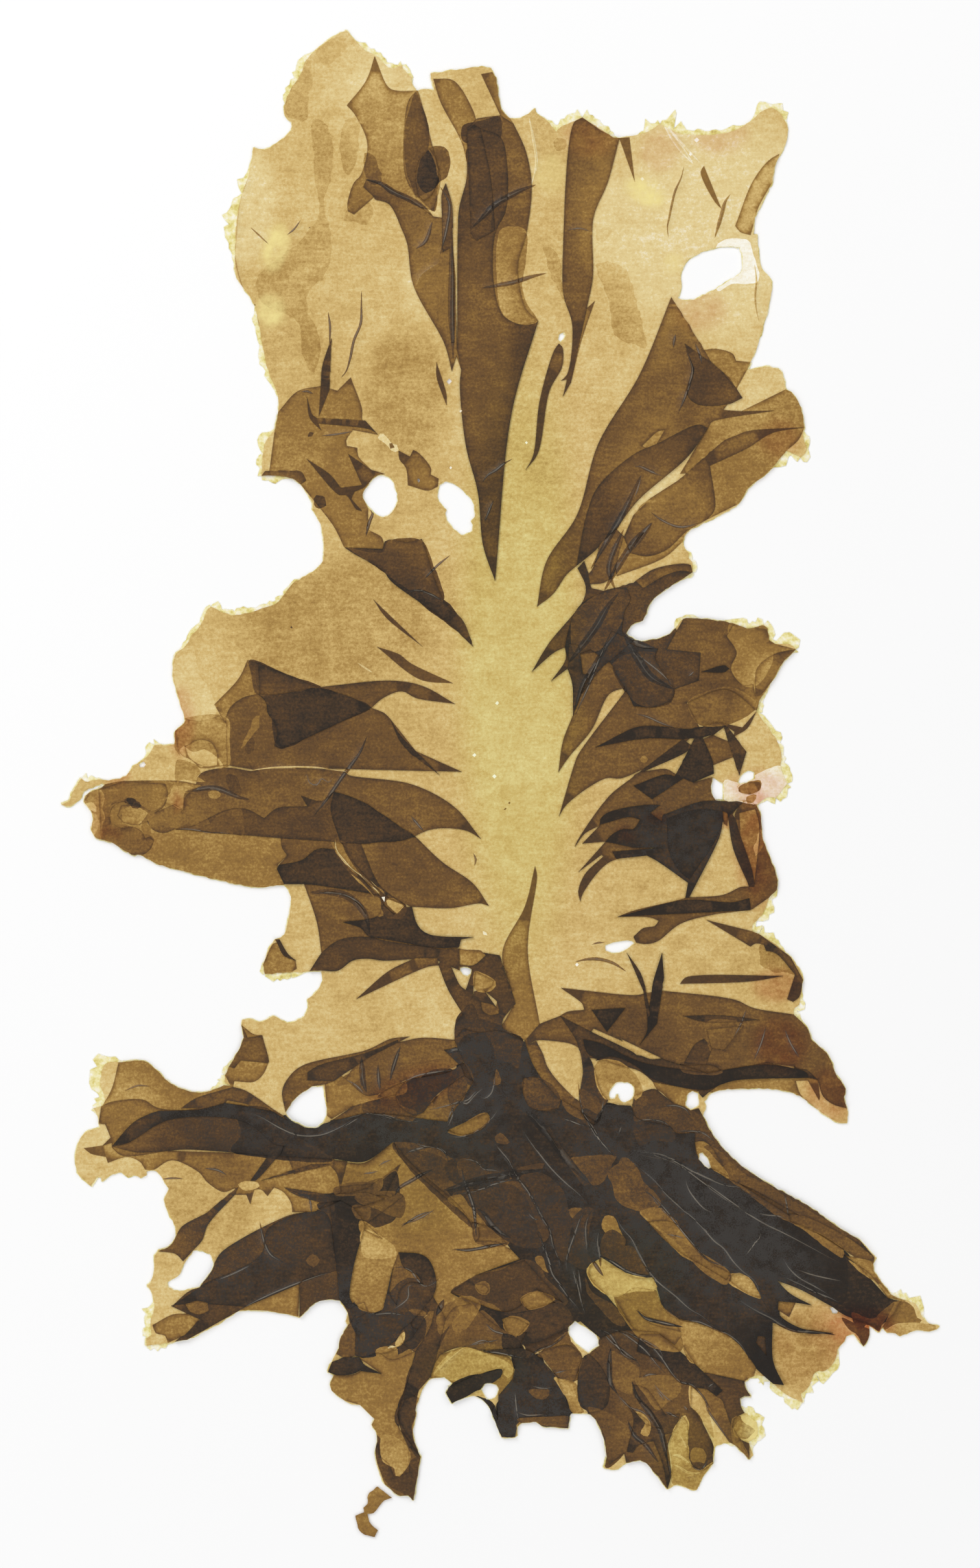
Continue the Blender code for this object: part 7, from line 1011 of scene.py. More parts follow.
        (0.35, 1.5, [(28.6, -102.6), (29, -103), (29.8, -103.3), (30.5, -103), (31, -102.2), (31.3, -101.6)]),
        (0.35, 1.2, [(26.8, -90.2), (28.5, -90.6), (29.4, -91.3), (30.4, -92.3), (31, -93.4), (31.2, -94.4),
            (32, -95.6), (33, -97), (34, -98.4), (34.6, -99)]),
        (0.3, 1.2, [(31.1, -91), (31.6, -90.6), (32.2, -90.2)]),
        (0.3, 1.2, [(23.3, -91.2), (24, -92), (24.8, -93)]),
        (0.25, 1, [(23, -90.3), (24, -91.6), (25.2, -92.7), (25.9, -93.1)]),
        (0.3, 1.2, [(24.6, -94.6), (25.6, -94.9), (26.9, -95.6)]),
        (0.2, 1, [(-53.1, -5.6), (-52.9, -6.1), (-52.7, -6.7)]),
        (0.3, 1, [(-48.9, -7.1), (-47.5, -7), (-46.2, -7.1), (-44, -7.5), (-42, -7.6), (-40, -7.8)]),
    ],
    # stains: layers added, outline
    "stains": [
        (1, [(-20.2, 94.7), (-19.2, 94.4), (-18.3, 92.5), (-17.8, 91), (-18, 90.1), (-20, 90.4)]),
        (2, [(-28.1, 42.8), (-27.2, 43.3), (-26.3, 42.6), (-26.2, 41.7), (-27.1, 41.3), (-28, 41.8)]),
        (-0.6, [(-18, 52.5), (-16.9, 51.4), (-15.6, 50.6), (-15.2, 49.9), (-16, 49.7), (-17.3, 50.9),
            (-18.3, 51.9)]),
        (1.6, [(-16.8, 50.9), (-16.2, 51), (-15.9, 50.4), (-16.5, 50.2)]),
        (-1.6, [(-17.2, -17.4), (-14.6, -18.5), (-15.7, -19.7)]),
        (2, [(-56.1, -2.3), (-55, -2.5), (-53.9, -3.4), (-54.6, -3.9), (-55.8, -3.3)]),
        (-1.5, [(-13.7, -79.3), (-12.4, -80.2), (-11, -80.2), (-11.2, -79.7), (-12.6, -79.2)]),
        (-1.5, [(-17, -85), (-15.6, -84.1), (-14.6, -82.5), (-14.2, -82.9), (-15.4, -84.9)]),
        (0.3, [(-28.8, 108.5), (-28.3, 105), (-28.8, 103), (-29.3, 99.5), (-32.3, 100.5), (-32.2, 103.5),
            (-30.5, 106)]),
        (0.32, [(-28.2, 99.6), (-26.2, 99), (-25.2, 95.9), (-25.4, 91.4), (-26.5, 86.9), (-25.6, 83.6),
            (-25.6, 78.5), (-26.8, 75.7), (-28.8, 73.8), (-29, 70.7), (-27.6, 68.4), (-27, 64.5),
            (-28.2, 61.7), (-29.8, 64.5), (-30.4, 69), (-36, 72.4), (-36.6, 75.7), (-33.8, 78.5),
            (-31.5, 80.2), (-28.7, 83), (-27.2, 85.8), (-27.9, 90.3), (-28.2, 95.4)]),
        (0.35, [(-23.4, 99.6), (-21.2, 99.6), (-21.4, 96.5), (-21.7, 93.1), (-23.1, 91.4), (-24, 93.7),
            (-24, 97)]),
        (0.2, [(-25.9, 111.6), (-23.4, 112.2), (-23.1, 110.5), (-24.8, 108.8), (-26.5, 107.7),
            (-28.2, 108.8)]),
        (0.32, [(-20.9, 87.5), (-19.2, 86.4), (-20.3, 83.9), (-22.6, 84.4), (-23.7, 84.7), (-22.8, 86.4)]),
        (0.42, [(14.5, 78), (18.9, 77.2), (19.6, 75.4), (20.7, 71.8), (21.7, 65.2), (20.4, 65.7),
            (17.3, 67.2), (16.3, 72.3)]),
        (0.35, [(14.5, 83.1), (16.6, 83.3), (16.6, 82.3), (15.3, 81.3), (14.5, 81.5)]),
        (0.35, [(6.6, 80.5), (8.7, 79.5), (9.2, 75.4), (9.9, 72.3), (8.2, 74.9), (6.9, 78.5)]),
        (0.1, [(17.1, 86.9), (18.9, 86.6), (18.4, 84.6), (16.8, 85.6)]),
        (0.4, [(8.2, 96.6), (9.9, 96.6), (9.7, 95.3), (8.4, 95.1)]),
        (-0.2, [(-48.9, 18.3), (-46.1, 19.4), (-45.6, 16.6), (-43.9, 14.3), (-42.7, 10.4), (-43.9, 9.3),
            (-47.2, 9.6), (-48.4, 12.7), (-48.9, 15.5)]),
        (-0.9, [(-36.2, 10), (-36.4, 8.2), (-37.2, 7.3), (-38.4, 5.6), (-39, 5.2), (-38.3, 7), (-37.5, 8.4),
            (-37.2, 9.6)]),
        (0.7, [(-37.4, 6.8), (-36.9, 5.4), (-37.7, 4), (-38.3, 4.8)]),
        (-0.9, [(39.1, -7.1), (39.6, -8.2), (39.2, -9.9), (38.3, -11), (38, -9.9), (38.6, -8.4)]),
        (0.5, [(39, -24.5), (40.5, -24), (42.8, -26.5), (44.6, -29.1), (43.6, -28.6), (41.5, -28.6),
            (39.5, -27.6)]),
        (2, [(-29, 52.5), (-28, 52.6), (-28.2, 52), (-29, 52)]),
        (-1.3, [(-2.7, -22.4), (-2.1, -22.4), (-2.1, -23), (-2.7, -23)]),
        (2, [(-28.9, 83.3), (-28.7, 83.5), (-28.5, 83.3), (-28.7, 83.1)]),
        (2, [(-37.2, 71.8), (-37, 72), (-36.8, 71.8), (-37, 71.6)]),
        (2, [(-31.7, 23.2), (-31.5, 23.4), (-31.3, 23.2), (-31.5, 23)]),
        (2, [(1.2, -3.2), (1.4, -3), (1.6, -3.2), (1.4, -3.4)]),
        (2, [(0.5, -3.9), (0.7, -3.7), (0.9, -3.9), (0.7, -4.1)]),
    ],
    # places with a tone of their own, 0 for a hole: layers shown, outline
    "tones": [
        (3.7, [(-16.2, -54.3), (-13.7, -54.1), (-9.5, -55), (-7.7, -56.3), (-5.7, -56.8), (-3.3, -57.1),
            (0.5, -58.6), (1.7, -59.6), (-2.3, -59.6), (-5.7, -60.5), (-8.5, -61.3), (-10, -60.1),
            (-12, -58.8), (-13.7, -57.1), (-15.4, -56.1)]),
        (4.1, [(-7.2, -62), (-3.3, -61.3), (0.7, -60.1), (3.2, -60.1), (4.5, -62), (6.2, -65.3), (7.4, -67.3),
            (6.7, -69), (4.2, -68.5), (1.7, -68.5), (-0.3, -67), (-2.3, -65), (-4.3, -63.5), (-5.7, -63)]),
        (2.9, [(-6.9, -62.3), (-5.5, -62), (-4.3, -63.8), (-4.1, -65.8), (-4.7, -65.3), (-5.7, -64)]),
        (2.8, [(-3.5, -64.5), (-2.3, -65.3), (-0.8, -67.8), (0.5, -68.5), (-2.5, -68.5), (-3.3, -67)]),
        (4, [(3.5, -44.6), (5.7, -44.4), (7.9, -45.6), (8.9, -47.1), (8.7, -48.6), (7.4, -49.4), (5.7, -49.1),
            (4.2, -47.9), (3.3, -46.1)]),
        (2.4, [(-8, -52.6), (-6.7, -52.1), (-4.7, -50.7), (-2.3, -49.6), (-1.5, -50.7), (-2.3, -51.6),
            (-3.8, -52.6), (-5.2, -53.1), (-6.7, -53)]),
        (3.1, [(-10.5, -48), (-8.7, -46.6), (-6.7, -45.1), (-5.2, -44.3), (-4.9, -45.4), (-5.7, -47.1),
            (-6.7, -48.1), (-8.7, -48.1)]),
        (3.7, [(-20.7, -48.4), (-18.7, -47.7), (-15.7, -47.2), (-15.1, -48.4), (-12.5, -49.6), (-13.2, -50.9),
            (-15.7, -50.6), (-18.2, -49.9), (-20.7, -49.6)]),
        (3.2, [(11.9, -46.1), (13.7, -46.9), (15.1, -48.1), (15, -49.9), (14.1, -50.1), (12.4, -48.6)]),
        (4, [(10.5, -56.7), (14.1, -56.3), (16.4, -56.4), (16.6, -58.1), (14.1, -58.3), (12.2, -58.1)]),
        (3.6, [(-0.8, -53.3), (0, -52.7), (1.2, -53.8), (1.5, -54.3), (-0.5, -54.2)]),
        (3.1, [(10.2, -64.3), (11.2, -63.9), (12.2, -64), (12.4, -64.5), (11.7, -65.8), (10.9, -65.6),
            (10.3, -64.8)]),
        (2.6, [(5.2, -71.4), (6.2, -71.2), (6.9, -73), (7.2, -73.7), (5.7, -72.7)]),
        (5.6, [(-0.8, -54.6), (0.5, -54.6), (3.2, -53.3), (5.2, -55.6), (6.4, -57.6), (3.2, -57.9),
            (1.7, -58.1), (0.5, -56.6)]),
        (4.6, [(2.7, -59.6), (5.7, -58.6), (9.2, -61), (10.2, -64), (10.7, -66.5), (10.2, -69.5), (9.9, -72),
            (8.7, -71.5), (7.4, -67.3), (5.2, -63.3)]),
        (4.9, [(10.7, -65.8), (12.7, -64), (13.9, -64), (13.4, -67), (13.2, -71), (14.1, -72), (12.9, -73.2),
            (10.9, -72.5), (10.2, -72), (11.2, -68)]),
        (4.3, [(-7.5, -76.6), (-5.7, -75.2), (-3.3, -74), (0.5, -73.1), (3.2, -71.7), (4.9, -72), (6.2, -73),
            (6.7, -74.2), (7.9, -75.5), (10.2, -78), (9.2, -78.9), (5.2, -79.2), (0.7, -79.7), (-0.8, -78.7),
            (-3.3, -77.7), (-5.2, -77.2)]),
        (2.6, [(-3.8, -75.5), (-2.3, -75), (-1.5, -76), (-2, -77), (-3.3, -76.8)]),
        (2.3, [(3, -77.7), (4.5, -76.7), (6.2, -76.6), (8.2, -77.7), (6.7, -78.7), (4.2, -79.2)]),
        (7, [(19.2, -55.5), (22.9, -55.5), (26.4, -56.7), (29.9, -58.7), (33.9, -60.6), (37.3, -61.9),
            (43.3, -65.9), (47.3, -67.9), (51.5, -70.4), (51.5, -78.3), (47.3, -76.6), (42.3, -74.4),
            (38.8, -73.9), (35.9, -71.4), (34.4, -69.9), (29.9, -66.4), (25.4, -62.2), (20.9, -57.9)]),
        (2.2, [(20.9, -64.5), (22.4, -64.2), (24.2, -63.9), (25.2, -65.2), (26.4, -66.6), (27.9, -68.4),
            (29.9, -70.6), (32.1, -72.2), (34.4, -73.6), (34.1, -74.9), (32.4, -73.9), (29.9, -72.5),
            (27.9, -71.6), (25.9, -69.9), (24.4, -67.9), (22.4, -66.2)]),
        (1.6, [(34.4, -73.9), (36.3, -73.9), (37.8, -74.9), (39.1, -77.6), (37.6, -77.1), (35.9, -76.3),
            (34.2, -75.1)]),
        (3.5, [(16.2, -58.4), (17.9, -57.8), (19.9, -58.2), (20.9, -59.4), (23.2, -61.7), (24.2, -63.4),
            (22.4, -64.3), (20.7, -64.4), (17.5, -62.9), (16.8, -60.4)]),
        (3.9, [(20.2, -50), (22.9, -48.7), (26.4, -49.5), (29.6, -50.5), (30.6, -52.2), (27.9, -52),
            (25.9, -52.2), (24.4, -51), (21.9, -50.5)]),
        (4.3, [(15.2, -69.1), (17.5, -69.9), (19.7, -69.6), (21.2, -71.9), (22.4, -73.9), (19.9, -73.6),
            (17, -71.9), (15.1, -70.9)]),
        (2.2, [(15.7, -65.2), (17, -65.2), (17.8, -66.9), (18.4, -68.1), (17.7, -69.1), (15.7, -67.6),
            (15.2, -66.4)]),
        (4.9, [(0.4, -79.9), (3.4, -79.7), (6.9, -78.7), (8.9, -78.2), (10.4, -79.4), (10.9, -80.9),
            (10.1, -82.7), (7.9, -84.4), (5.7, -85.4), (4.2, -86.4), (3.7, -84.9), (2.4, -83.4),
            (4.2, -81.4)]),
        (2.3, [(0.4, -81.4), (1.4, -80.2), (4.4, -81.2), (2.7, -83.2), (0.7, -82.4)]),
        (3.2, [(-2.8, -79.4), (0.4, -82.7), (0.4, -84.7), (-2.5, -84.2), (-4.8, -84.7), (-5.5, -83.4),
            (-4.5, -81.4)]),
        (2.4, [(28.2, 12.1), (34.1, 14.4), (36.1, 13.8), (38.6, 11.5), (34.9, 8.9), (30.4, 8.5),
            (29.2, 9.3)]),
        (4, [(10.8, 24.8), (12.4, 26.8), (16.1, 28.9), (19.6, 29.3), (19.2, 26.8), (17.8, 23.2), (14.9, 19.9),
            (11.2, 19.5), (10.6, 22.8)]),
        (4.3, [(16.9, 17.9), (23.5, 19.5), (26.1, 14.6), (25.7, 12.1), (22.7, 11.3), (20.2, 12.1)]),
        (2, [(34.5, 24), (40.2, 23.2), (41, 18.7), (38.6, 14.6), (36.5, 14.6), (35.3, 17.4), (38.6, 17.9),
            (37.8, 20.7), (34.5, 21.5)]),
        (0, [(-7.25, 60.3), (-7.7, 60.75), (-8.15, 60.3), (-7.7, 59.85)]),
        (0.05, [(-5.68, 55.8), (-5.9, 56.02), (-6.12, 55.8), (-5.9, 55.58)]),
        (0.05, [(-7.28, 47.3), (-7.5, 47.52), (-7.72, 47.3), (-7.5, 47.08)]),
        (0.05, [(4.12, 51.1), (3.9, 51.32), (3.68, 51.1), (3.9, 50.88)]),
        (0.05, [(29.9, 96.6), (29.5, 97), (29.1, 96.6), (29.5, 96.2)]),
        (0.05, [(28.9, 94.5), (28.6, 94.8), (28.3, 94.5), (28.6, 94.2)]),
        (0.05, [(21.6, 90.7), (21.3, 91), (21, 90.7), (21.3, 90.4)]),
        (0.05, [(-0.2, 11.9), (-0.5, 12.2), (-0.8, 11.9), (-0.5, 11.6)]),
        (0.05, [(-3.6, 4.1), (-3.9, 4.4), (-4.2, 4.1), (-3.9, 3.8)]),
        (0.05, [(-0.6, 0.9), (-0.9, 1.2), (-1.2, 0.9), (-0.9, 0.6)]),
        (0.05, [(11.8, -27.4), (11.5, -27.1), (11.2, -27.4), (11.5, -27.7)]),
        (2, [(22.2, 3.5), (21.6, 4.1), (21, 3.5), (21.6, 2.9)]),
        (3.2, [(-12.7, 103.8), (-11.9, 102.1), (-10.8, 98.7), (-10.8, 95.4), (-9.1, 95.6), (-7.7, 94.5),
            (-7.7, 92.6), (-8.2, 90.9), (-9.1, 90.3), (-9.9, 85.8), (-11.3, 86.9), (-12.5, 88.1),
            (-13.6, 90.3), (-14.4, 93.7), (-14.4, 98.2), (-13.6, 101.5)]),
        (5.2, [(-11.9, 93.7), (-10.2, 95.4), (-9.6, 91.4), (-9.1, 90.3), (-11.3, 88.6), (-12.5, 90.3)]),
        (2.6, [(-10.8, 95.4), (-8.5, 95.6), (-7.5, 93.7), (-8.2, 90.9), (-9.4, 92), (-10.5, 94.2)]),
        (4.5, [(-5.7, 98.7), (-2.4, 99.6), (-0.1, 100.1), (-0.1, 96.5), (-2.4, 95.4), (-4.6, 95.9),
            (-5.7, 96.5)]),
        (4.2, [(-4.9, 95.4), (-2.4, 95.4), (-2.1, 81.3), (-4, 81.3), (-4.6, 86.9), (-4.9, 91.4)]),
        (1.9, [(2, 83.6), (3.8, 83.1), (3.8, 78.5), (3.3, 74.4), (4.1, 71.8), (5.6, 69.3), (3.1, 68.8),
            (1, 69.8), (0, 71.3), (0, 83.1)]),
        (0.1, [(32.7, 81), (37.2, 81.5), (38, 79.5), (38.8, 75.4), (34.7, 74.9), (32.7, 73.9)]),
        (3.1, [(-22.8, 35.3), (-20.3, 34.7), (-17.5, 34.7), (-16.9, 36.2), (-11.9, 36.4), (-10.2, 33.1),
            (-8.5, 27.5), (-10.8, 28.6), (-13.6, 28.9), (-16.4, 30.8), (-19.7, 33.1)]),
        (3.9, [(-13.6, 28.9), (-8.5, 27.5), (-5.7, 24.1), (-4.3, 20.7), (-6.8, 23), (-11.3, 26.3)]),
        (5.5, [(2.4, -83.4), (3.9, -86.4), (1.2, -86), (0.2, -84.7), (0.4, -82.9)]),
        (6, [(1.7, -86.4), (3.9, -86.6), (5.9, -85.9), (6.9, -87.9), (8.9, -89.9), (10.4, -92.9),
            (10.9, -94.6), (10.1, -97.1), (6.4, -96.8), (2.4, -96.1), (2.2, -98.3), (0.2, -98.3),
            (-0.3, -96.1), (-0.6, -93.4), (1.2, -91.4), (2.2, -88.9)]),
        (3.6, [(4.2, -91.4), (7.4, -91.4), (6.9, -92.6), (5.4, -92.6)]),
        (1.5, [(2.4, -96.6), (5.4, -95.6), (6.4, -96.6), (5.9, -96.8), (2.9, -97.8)]),
        (3.2, [(6.7, -85.9), (9.9, -83.7), (11.9, -85.9), (11.6, -89.9), (8.4, -89.1), (7.2, -87.4)]),
        (1.9, [(8.9, -89.9), (11.4, -90.4), (11.9, -93.4), (12.6, -94.7), (10.9, -94.7), (10.4, -92.6)]),
        (5, [(12.9, -86), (14.6, -87.6), (16.1, -89.9), (16.4, -91.9), (15.9, -93.9), (13.9, -94.6),
            (12.1, -93.9), (11.6, -91.4), (11.9, -88.1)]),
        (3, [(16.6, -85.4), (19.3, -86.9), (20.8, -88.1), (20.6, -89.9), (19.8, -89.9), (19.8, -91.9),
            (17.8, -91.4), (16.8, -89.9)]),
        (3, [(20.3, -89.9), (23.8, -89.1), (27, -89.9), (26.8, -92.1), (25.3, -93.1), (23.6, -94.4),
            (21.6, -91.9)]),
        (3.4, [(13.1, -93.9), (15.4, -94.4), (17.6, -95.6), (19.3, -97.3), (18.8, -100.6), (15.9, -103.1),
            (15.7, -98.3), (14.4, -96.1)]),
        (1.6, [(26, -97.3), (27.8, -95.1), (28.3, -97.3), (28.5, -102.1), (25.6, -101.1)]),
        (1.5, [(28.5, -90.6), (30.3, -92.4), (31.3, -94.6), (32, -98.6), (29.8, -95.1), (28.5, -93.6)]),
        (2.4, [(28.5, -99.8), (31, -100.1), (30.8, -102.3), (29, -102.3)]),
        (2, [(20.3, -94.6), (21.8, -95.1), (22.6, -96.8), (22.1, -98.3), (21.1, -97.8), (21.8, -96.1)]),
        (2.3, [(-7, -77.9), (-4.5, -77.2), (-3, -78.4), (-3.8, -80.4), (-5.5, -82.4), (-7, -82.4)]),
        (3.3, [(31.1, -54.5), (33.1, -55.5), (34.9, -57.4), (37.3, -59.2), (39.8, -60.2), (42.3, -61.9),
            (44.6, -63.2), (47.3, -64.9), (51.5, -67.4), (51.5, -70.4), (47.3, -67.6), (44.1, -66.4),
            (41.1, -64.9), (38.6, -62.9), (36.3, -61.2), (34.4, -59.7), (32.4, -56.7), (30.6, -54.7)]),
        # a lighter strip along the dark gather: partly lighter tissue, partly a painted highlight for the
        # glare band there
        (2.5, [(44.1, -66.4), (47.3, -67.4), (49.8, -68.9), (51.5, -70.1), (51.5, -71.4), (48.5, -69.6),
            (46, -67.6)]),
        (2, [(29.6, -55.2), (30.9, -55.2), (32.4, -56.7), (34.1, -58.7), (34.4, -59.6), (33.1, -58.9),
            (31.6, -57.9)]),
        (1.3, [(13, -73.1), (15.2, -71.9), (17.5, -72.9), (19.4, -74.1), (22.4, -74.6), (23.2, -75.1),
            (23.3, -76.3), (19.9, -76.1), (18.7, -77), (16.2, -77.1), (14, -75.6)]),
        (2.1, [(17.2, -77.3), (20.7, -76.1), (23.4, -76.6), (24.2, -78.6), (26.4, -80.3), (27.4, -81.1),
            (27.1, -82.8), (27.4, -85.3), (22.4, -84.8), (18.9, -81.1)]),
        (1.8, [(27.4, -81.3), (29.9, -81.6), (33.1, -82.8), (35.6, -84.3), (37.3, -87), (28.4, -87),
            (27.4, -84.1)]),
        (3.3, [(-37.7, 18.4), (-32.1, 16.3), (-27, 14.3), (-32.1, 13.5), (-36.6, 13.2), (-37.4, 16)]),
        (4.7, [(-35.7, 12.9), (-32.1, 13.3), (-27, 14.2), (-23.1, 12.9), (-19.5, 11.3), (-26.5, 8.2),
            (-33.2, 5.1), (-34.3, 8.2), (-34.3, 11)]),
        (1.65, [(-48.6, 9), (-41.1, 9.8), (-40.7, 6.5), (-41, 2.3), (-43.9, 2.7), (-42.7, 4.2), (-45.6, 5.6),
            (-48.6, 5.4)]),
        (1.25, [(-48.4, 5.4), (-45.6, 5.6), (-42.7, 4.2), (-43.8, 2.7), (-45.6, 2.6), (-47.2, 3.7)]),
        (1.9, [(-24.9, -9), (-23.9, -11.5), (-22.5, -13.7), (-21.1, -15.1), (-18.6, -16.8), (-17.5, -16.5),
            (-19.5, -15.1), (-21.1, -13.4), (-22.8, -10.9), (-23.9, -9)]),
        (0.5, [(-17.9, -17.2), (-17, -17.6), (-16.3, -19.3), (-16.8, -19.7), (-17.5, -18.8)]),
        (0.85, [(31.8, -20.5), (35.4, -20), (38, -19.4), (38.1, -20.4), (37.4, -21.8), (34.9, -21.2)]),
        (2.8, [(31.1, -36), (36.7, -36.5), (35.7, -40.6), (31.8, -40.6)]),
        (3.5, [(27, -42.2), (32.9, -42.4), (33.4, -43.6), (30.8, -44), (27.2, -43.4)]),
        (5.4, [(-39.5, -49.7), (-34.4, -50.2), (-30.3, -53.3), (-25.2, -56.8), (-37.4, -56.2), (-40.5, -55.3),
            (-39, -52.8)]),
        (1.05, [(-39.4, -60.4), (-38.4, -60), (-36.4, -60.2), (-36.2, -60.7), (-37.2, -61.2),
            (-38.7, -61.3)]),
        (5.2, [(-32.1, -61), (-29.3, -61.9), (-25.2, -61.7), (-21.6, -61.2), (-18, -59.9), (-15.7, -58.4),
            (-15.7, -64), (-20.1, -64.2), (-24.2, -63.7), (-28.2, -62.8)]),
        (4.6, [(-21.1, -64), (-15.7, -62.4), (-15.7, -65.5), (-19.1, -67), (-20.6, -66.5)]),
        (3.4, [(-29.2, -71.9), (-28.2, -70.9), (-27.1, -71.7), (-28.1, -72.9)]),
        (5.8, [(-22.6, -80.3), (-21.1, -79.8), (-15.7, -79.8), (-15.7, -84.4), (-18.6, -86.2), (-21.1, -86.4),
            (-21.6, -83.4)]),
        (1.7, [(-17.8, -84.5), (-15.7, -84.1), (-15.7, -85.9), (-17, -85.9)]),
        (3.5, [(35.9, -60.3), (39.6, -61.8), (44.7, -64.7), (43.5, -65.3), (39.6, -63.5), (36.7, -61.4)]),
        (2.7, [(21, -64.2), (23.9, -64), (26.9, -66.7), (26.4, -68.4), (28.3, -69.6), (34.7, -74),
            (34, -75.5), (29.8, -73), (26.9, -69.6), (22.9, -66.2)]),
        (2.6, [(58.7, -78.4), (60.6, -78), (62.1, -78.9), (62.6, -80.4), (63.3, -80.9), (62.6, -81.6),
            (60.2, -81.3), (58.7, -81.8), (57.7, -82.4), (57, -82.9), (58.2, -80.4)]),
        (1.5, [(57.7, -82.6), (60.2, -81.3), (63.1, -81.3), (65.5, -81.8), (65.1, -82.6), (62.1, -82.6),
            (60.2, -83.2), (58.2, -82.9)]),
        (3.3, [(51.3, -80.5), (54.3, -81.8), (56.3, -82.6), (55.4, -83.8), (54.5, -84.9), (53.8, -83.3),
            (52.3, -82.1)]),
        (1.9, [(52.3, -71.8), (54.3, -72.8), (56.5, -73.8), (60.9, -78), (59.2, -77.7), (56.2, -75),
            (54.3, -73.8)]),
        (4.4, [(-16.6, -76.7), (-13.8, -74.5), (-11, -75.6), (-10.7, -79.5), (-13.2, -81.2), (-16, -80.1),
            (-16.9, -78.4)]),
        (5, [(-22.8, -79.8), (-17.7, -80.4), (-13.8, -79.5), (-11.3, -80.7), (-11.5, -83.5), (-13.8, -85.7),
            (-16, -86.3), (-16.6, -85.2), (-21.6, -86.3), (-21.1, -82.9)]),
        (2.6, [(-15.7, -84), (-14.3, -82.6), (-14.6, -84.3), (-15.7, -85)]),
        (4.3, [(-7.6, -81.5), (-8.7, -84), (-10.1, -86.8), (-11.3, -89.4), (-12.4, -91.9), (-12.8, -95.3),
            (-13.3, -96.9), (-12.9, -99.2), (-12, -101.3), (-12.5, -101.5), (-14.1, -99.2), (-15.2, -96.7),
            (-15.5, -94.1), (-14.5, -91.3), (-13.8, -88.5), (-12.4, -86.3), (-10.4, -84), (-8.7, -82.1)]),
        (4, [(-18.7, -98.1), (-17.8, -99.2), (-17.7, -102), (-16, -103.2), (-15.5, -104.3), (-13.5, -102),
            (-12.2, -101.4), (-12, -103.7), (-12.8, -107.9), (-14.9, -106.8), (-17.1, -105.4),
            (-18.4, -102.5), (-18.9, -100.3)]),
        (1.6, [(-17.7, -98.1), (-15.5, -98.6), (-13.8, -100.3), (-13.5, -102), (-15.2, -104.3),
            (-15.7, -104.2), (-16, -103.1), (-17.7, -102)]),
        (1.4, [(-10.1, -89.1), (-8.2, -86.3), (-5.9, -84.9), (-2.6, -85.7), (0.3, -86.8), (1.9, -88),
            (1.4, -89.6), (-0.3, -88.5), (-3.7, -89.6), (-6.5, -90.2), (-8.7, -89.4)]),
        (5.6, [(-8.2, -91.3), (-5.9, -89.6), (-2.6, -88.8), (0.3, -88.2), (0, -89.4), (-2.6, -91),
            (-5.4, -92.4), (-7.2, -93.5), (-8.2, -92.4)]),
        (6, [(-3.7, -92.3), (-2, -92.7), (-0.9, -93.6), (-0.3, -96.4), (0.4, -98.3), (-0.6, -97.2),
            (-2, -94.7)]),
        (1.65, [(8.1, -89.4), (10.1, -89.9), (11.5, -92.4), (12.1, -94.9), (10.9, -94.9), (9.8, -92.4)]),
        (3.4, [(5.6, -86.3), (8.7, -83.5), (10.1, -82.6), (10.9, -84.6), (12.3, -86.3), (11.2, -89.1),
            (8.7, -89.6), (7, -86.8)]),
        (1.15, [(13.2, -72.8), (14.6, -72), (17.6, -73.4), (23.3, -75.1), (23.4, -76.3), (19.9, -76.6),
            (16.8, -77.3), (14.8, -75.6)]),
        (1.8, [(-3.8, -28.4), (-2.7, -28.7), (-0.7, -29.9), (-1, -31.1), (-2.7, -31.6), (-3.9, -31)]),
        (4.8, [(-6.2, -34.8), (-4.2, -33.3), (-3.2, -35.3), (-0.6, -36.3), (0.9, -37.6), (-3.2, -37.6),
            (-5.2, -37.9), (-6.6, -39.4), (-6.8, -36.3)]),
        (4.6, [(12.4, -40.4), (13.7, -41.9), (14.2, -44), (14.7, -46.5), (15.2, -48.6), (12.7, -49.1),
            (11.9, -47.6), (12.4, -44.5)]),
        (1.5, [(14.7, -41.9), (17.8, -41.9), (20.3, -44), (21.4, -46.5), (20.4, -47.9), (19.3, -45.5),
            (17.8, -45), (16.3, -46.5), (16.5, -47.8), (15.7, -47.6), (14.2, -44.5)]),
        (4, [(-15.7, -55.2), (-13.8, -56.3), (-5.9, -63.6), (-3.4, -66.4), (-4.1, -67), (-7, -64.7),
            (-13.8, -58)]),
        (3, [(-4, -67.2), (1.4, -67.2), (1.1, -69.5), (-3.7, -69.2)]),
        (3.2, [(-21.9, -62), (-14.6, -62), (-14.9, -65.5), (-18.8, -64.1), (-21.6, -63)]),
        (2.6, [(-24.4, -60.7), (-19.8, -60.2), (-19.7, -61.2), (-22.1, -62.1), (-24.6, -61.7)]),
        (4.8, [(-27.6, -63.5), (-25.2, -62.9), (-25, -64.5), (-26.8, -64.5)]),
        (2.2, [(-21.2, -65.9), (-19.7, -66.4), (-17.5, -68.6), (-18.3, -69), (-21, -67.7)]),
        (5, [(-22.6, -79), (-21.7, -77.9), (-20.2, -77.9), (-19.7, -79.9), (-22.3, -79.9)]),
        (2, [(-18.6, -85.2), (-15.7, -84.9), (-15.7, -87.4), (-18.3, -87.2)]),
        (3, [(-25, -60.9), (-21.6, -60.7), (-17.8, -59.5), (-17.8, -61), (-21.6, -62.1), (-25, -62)]),
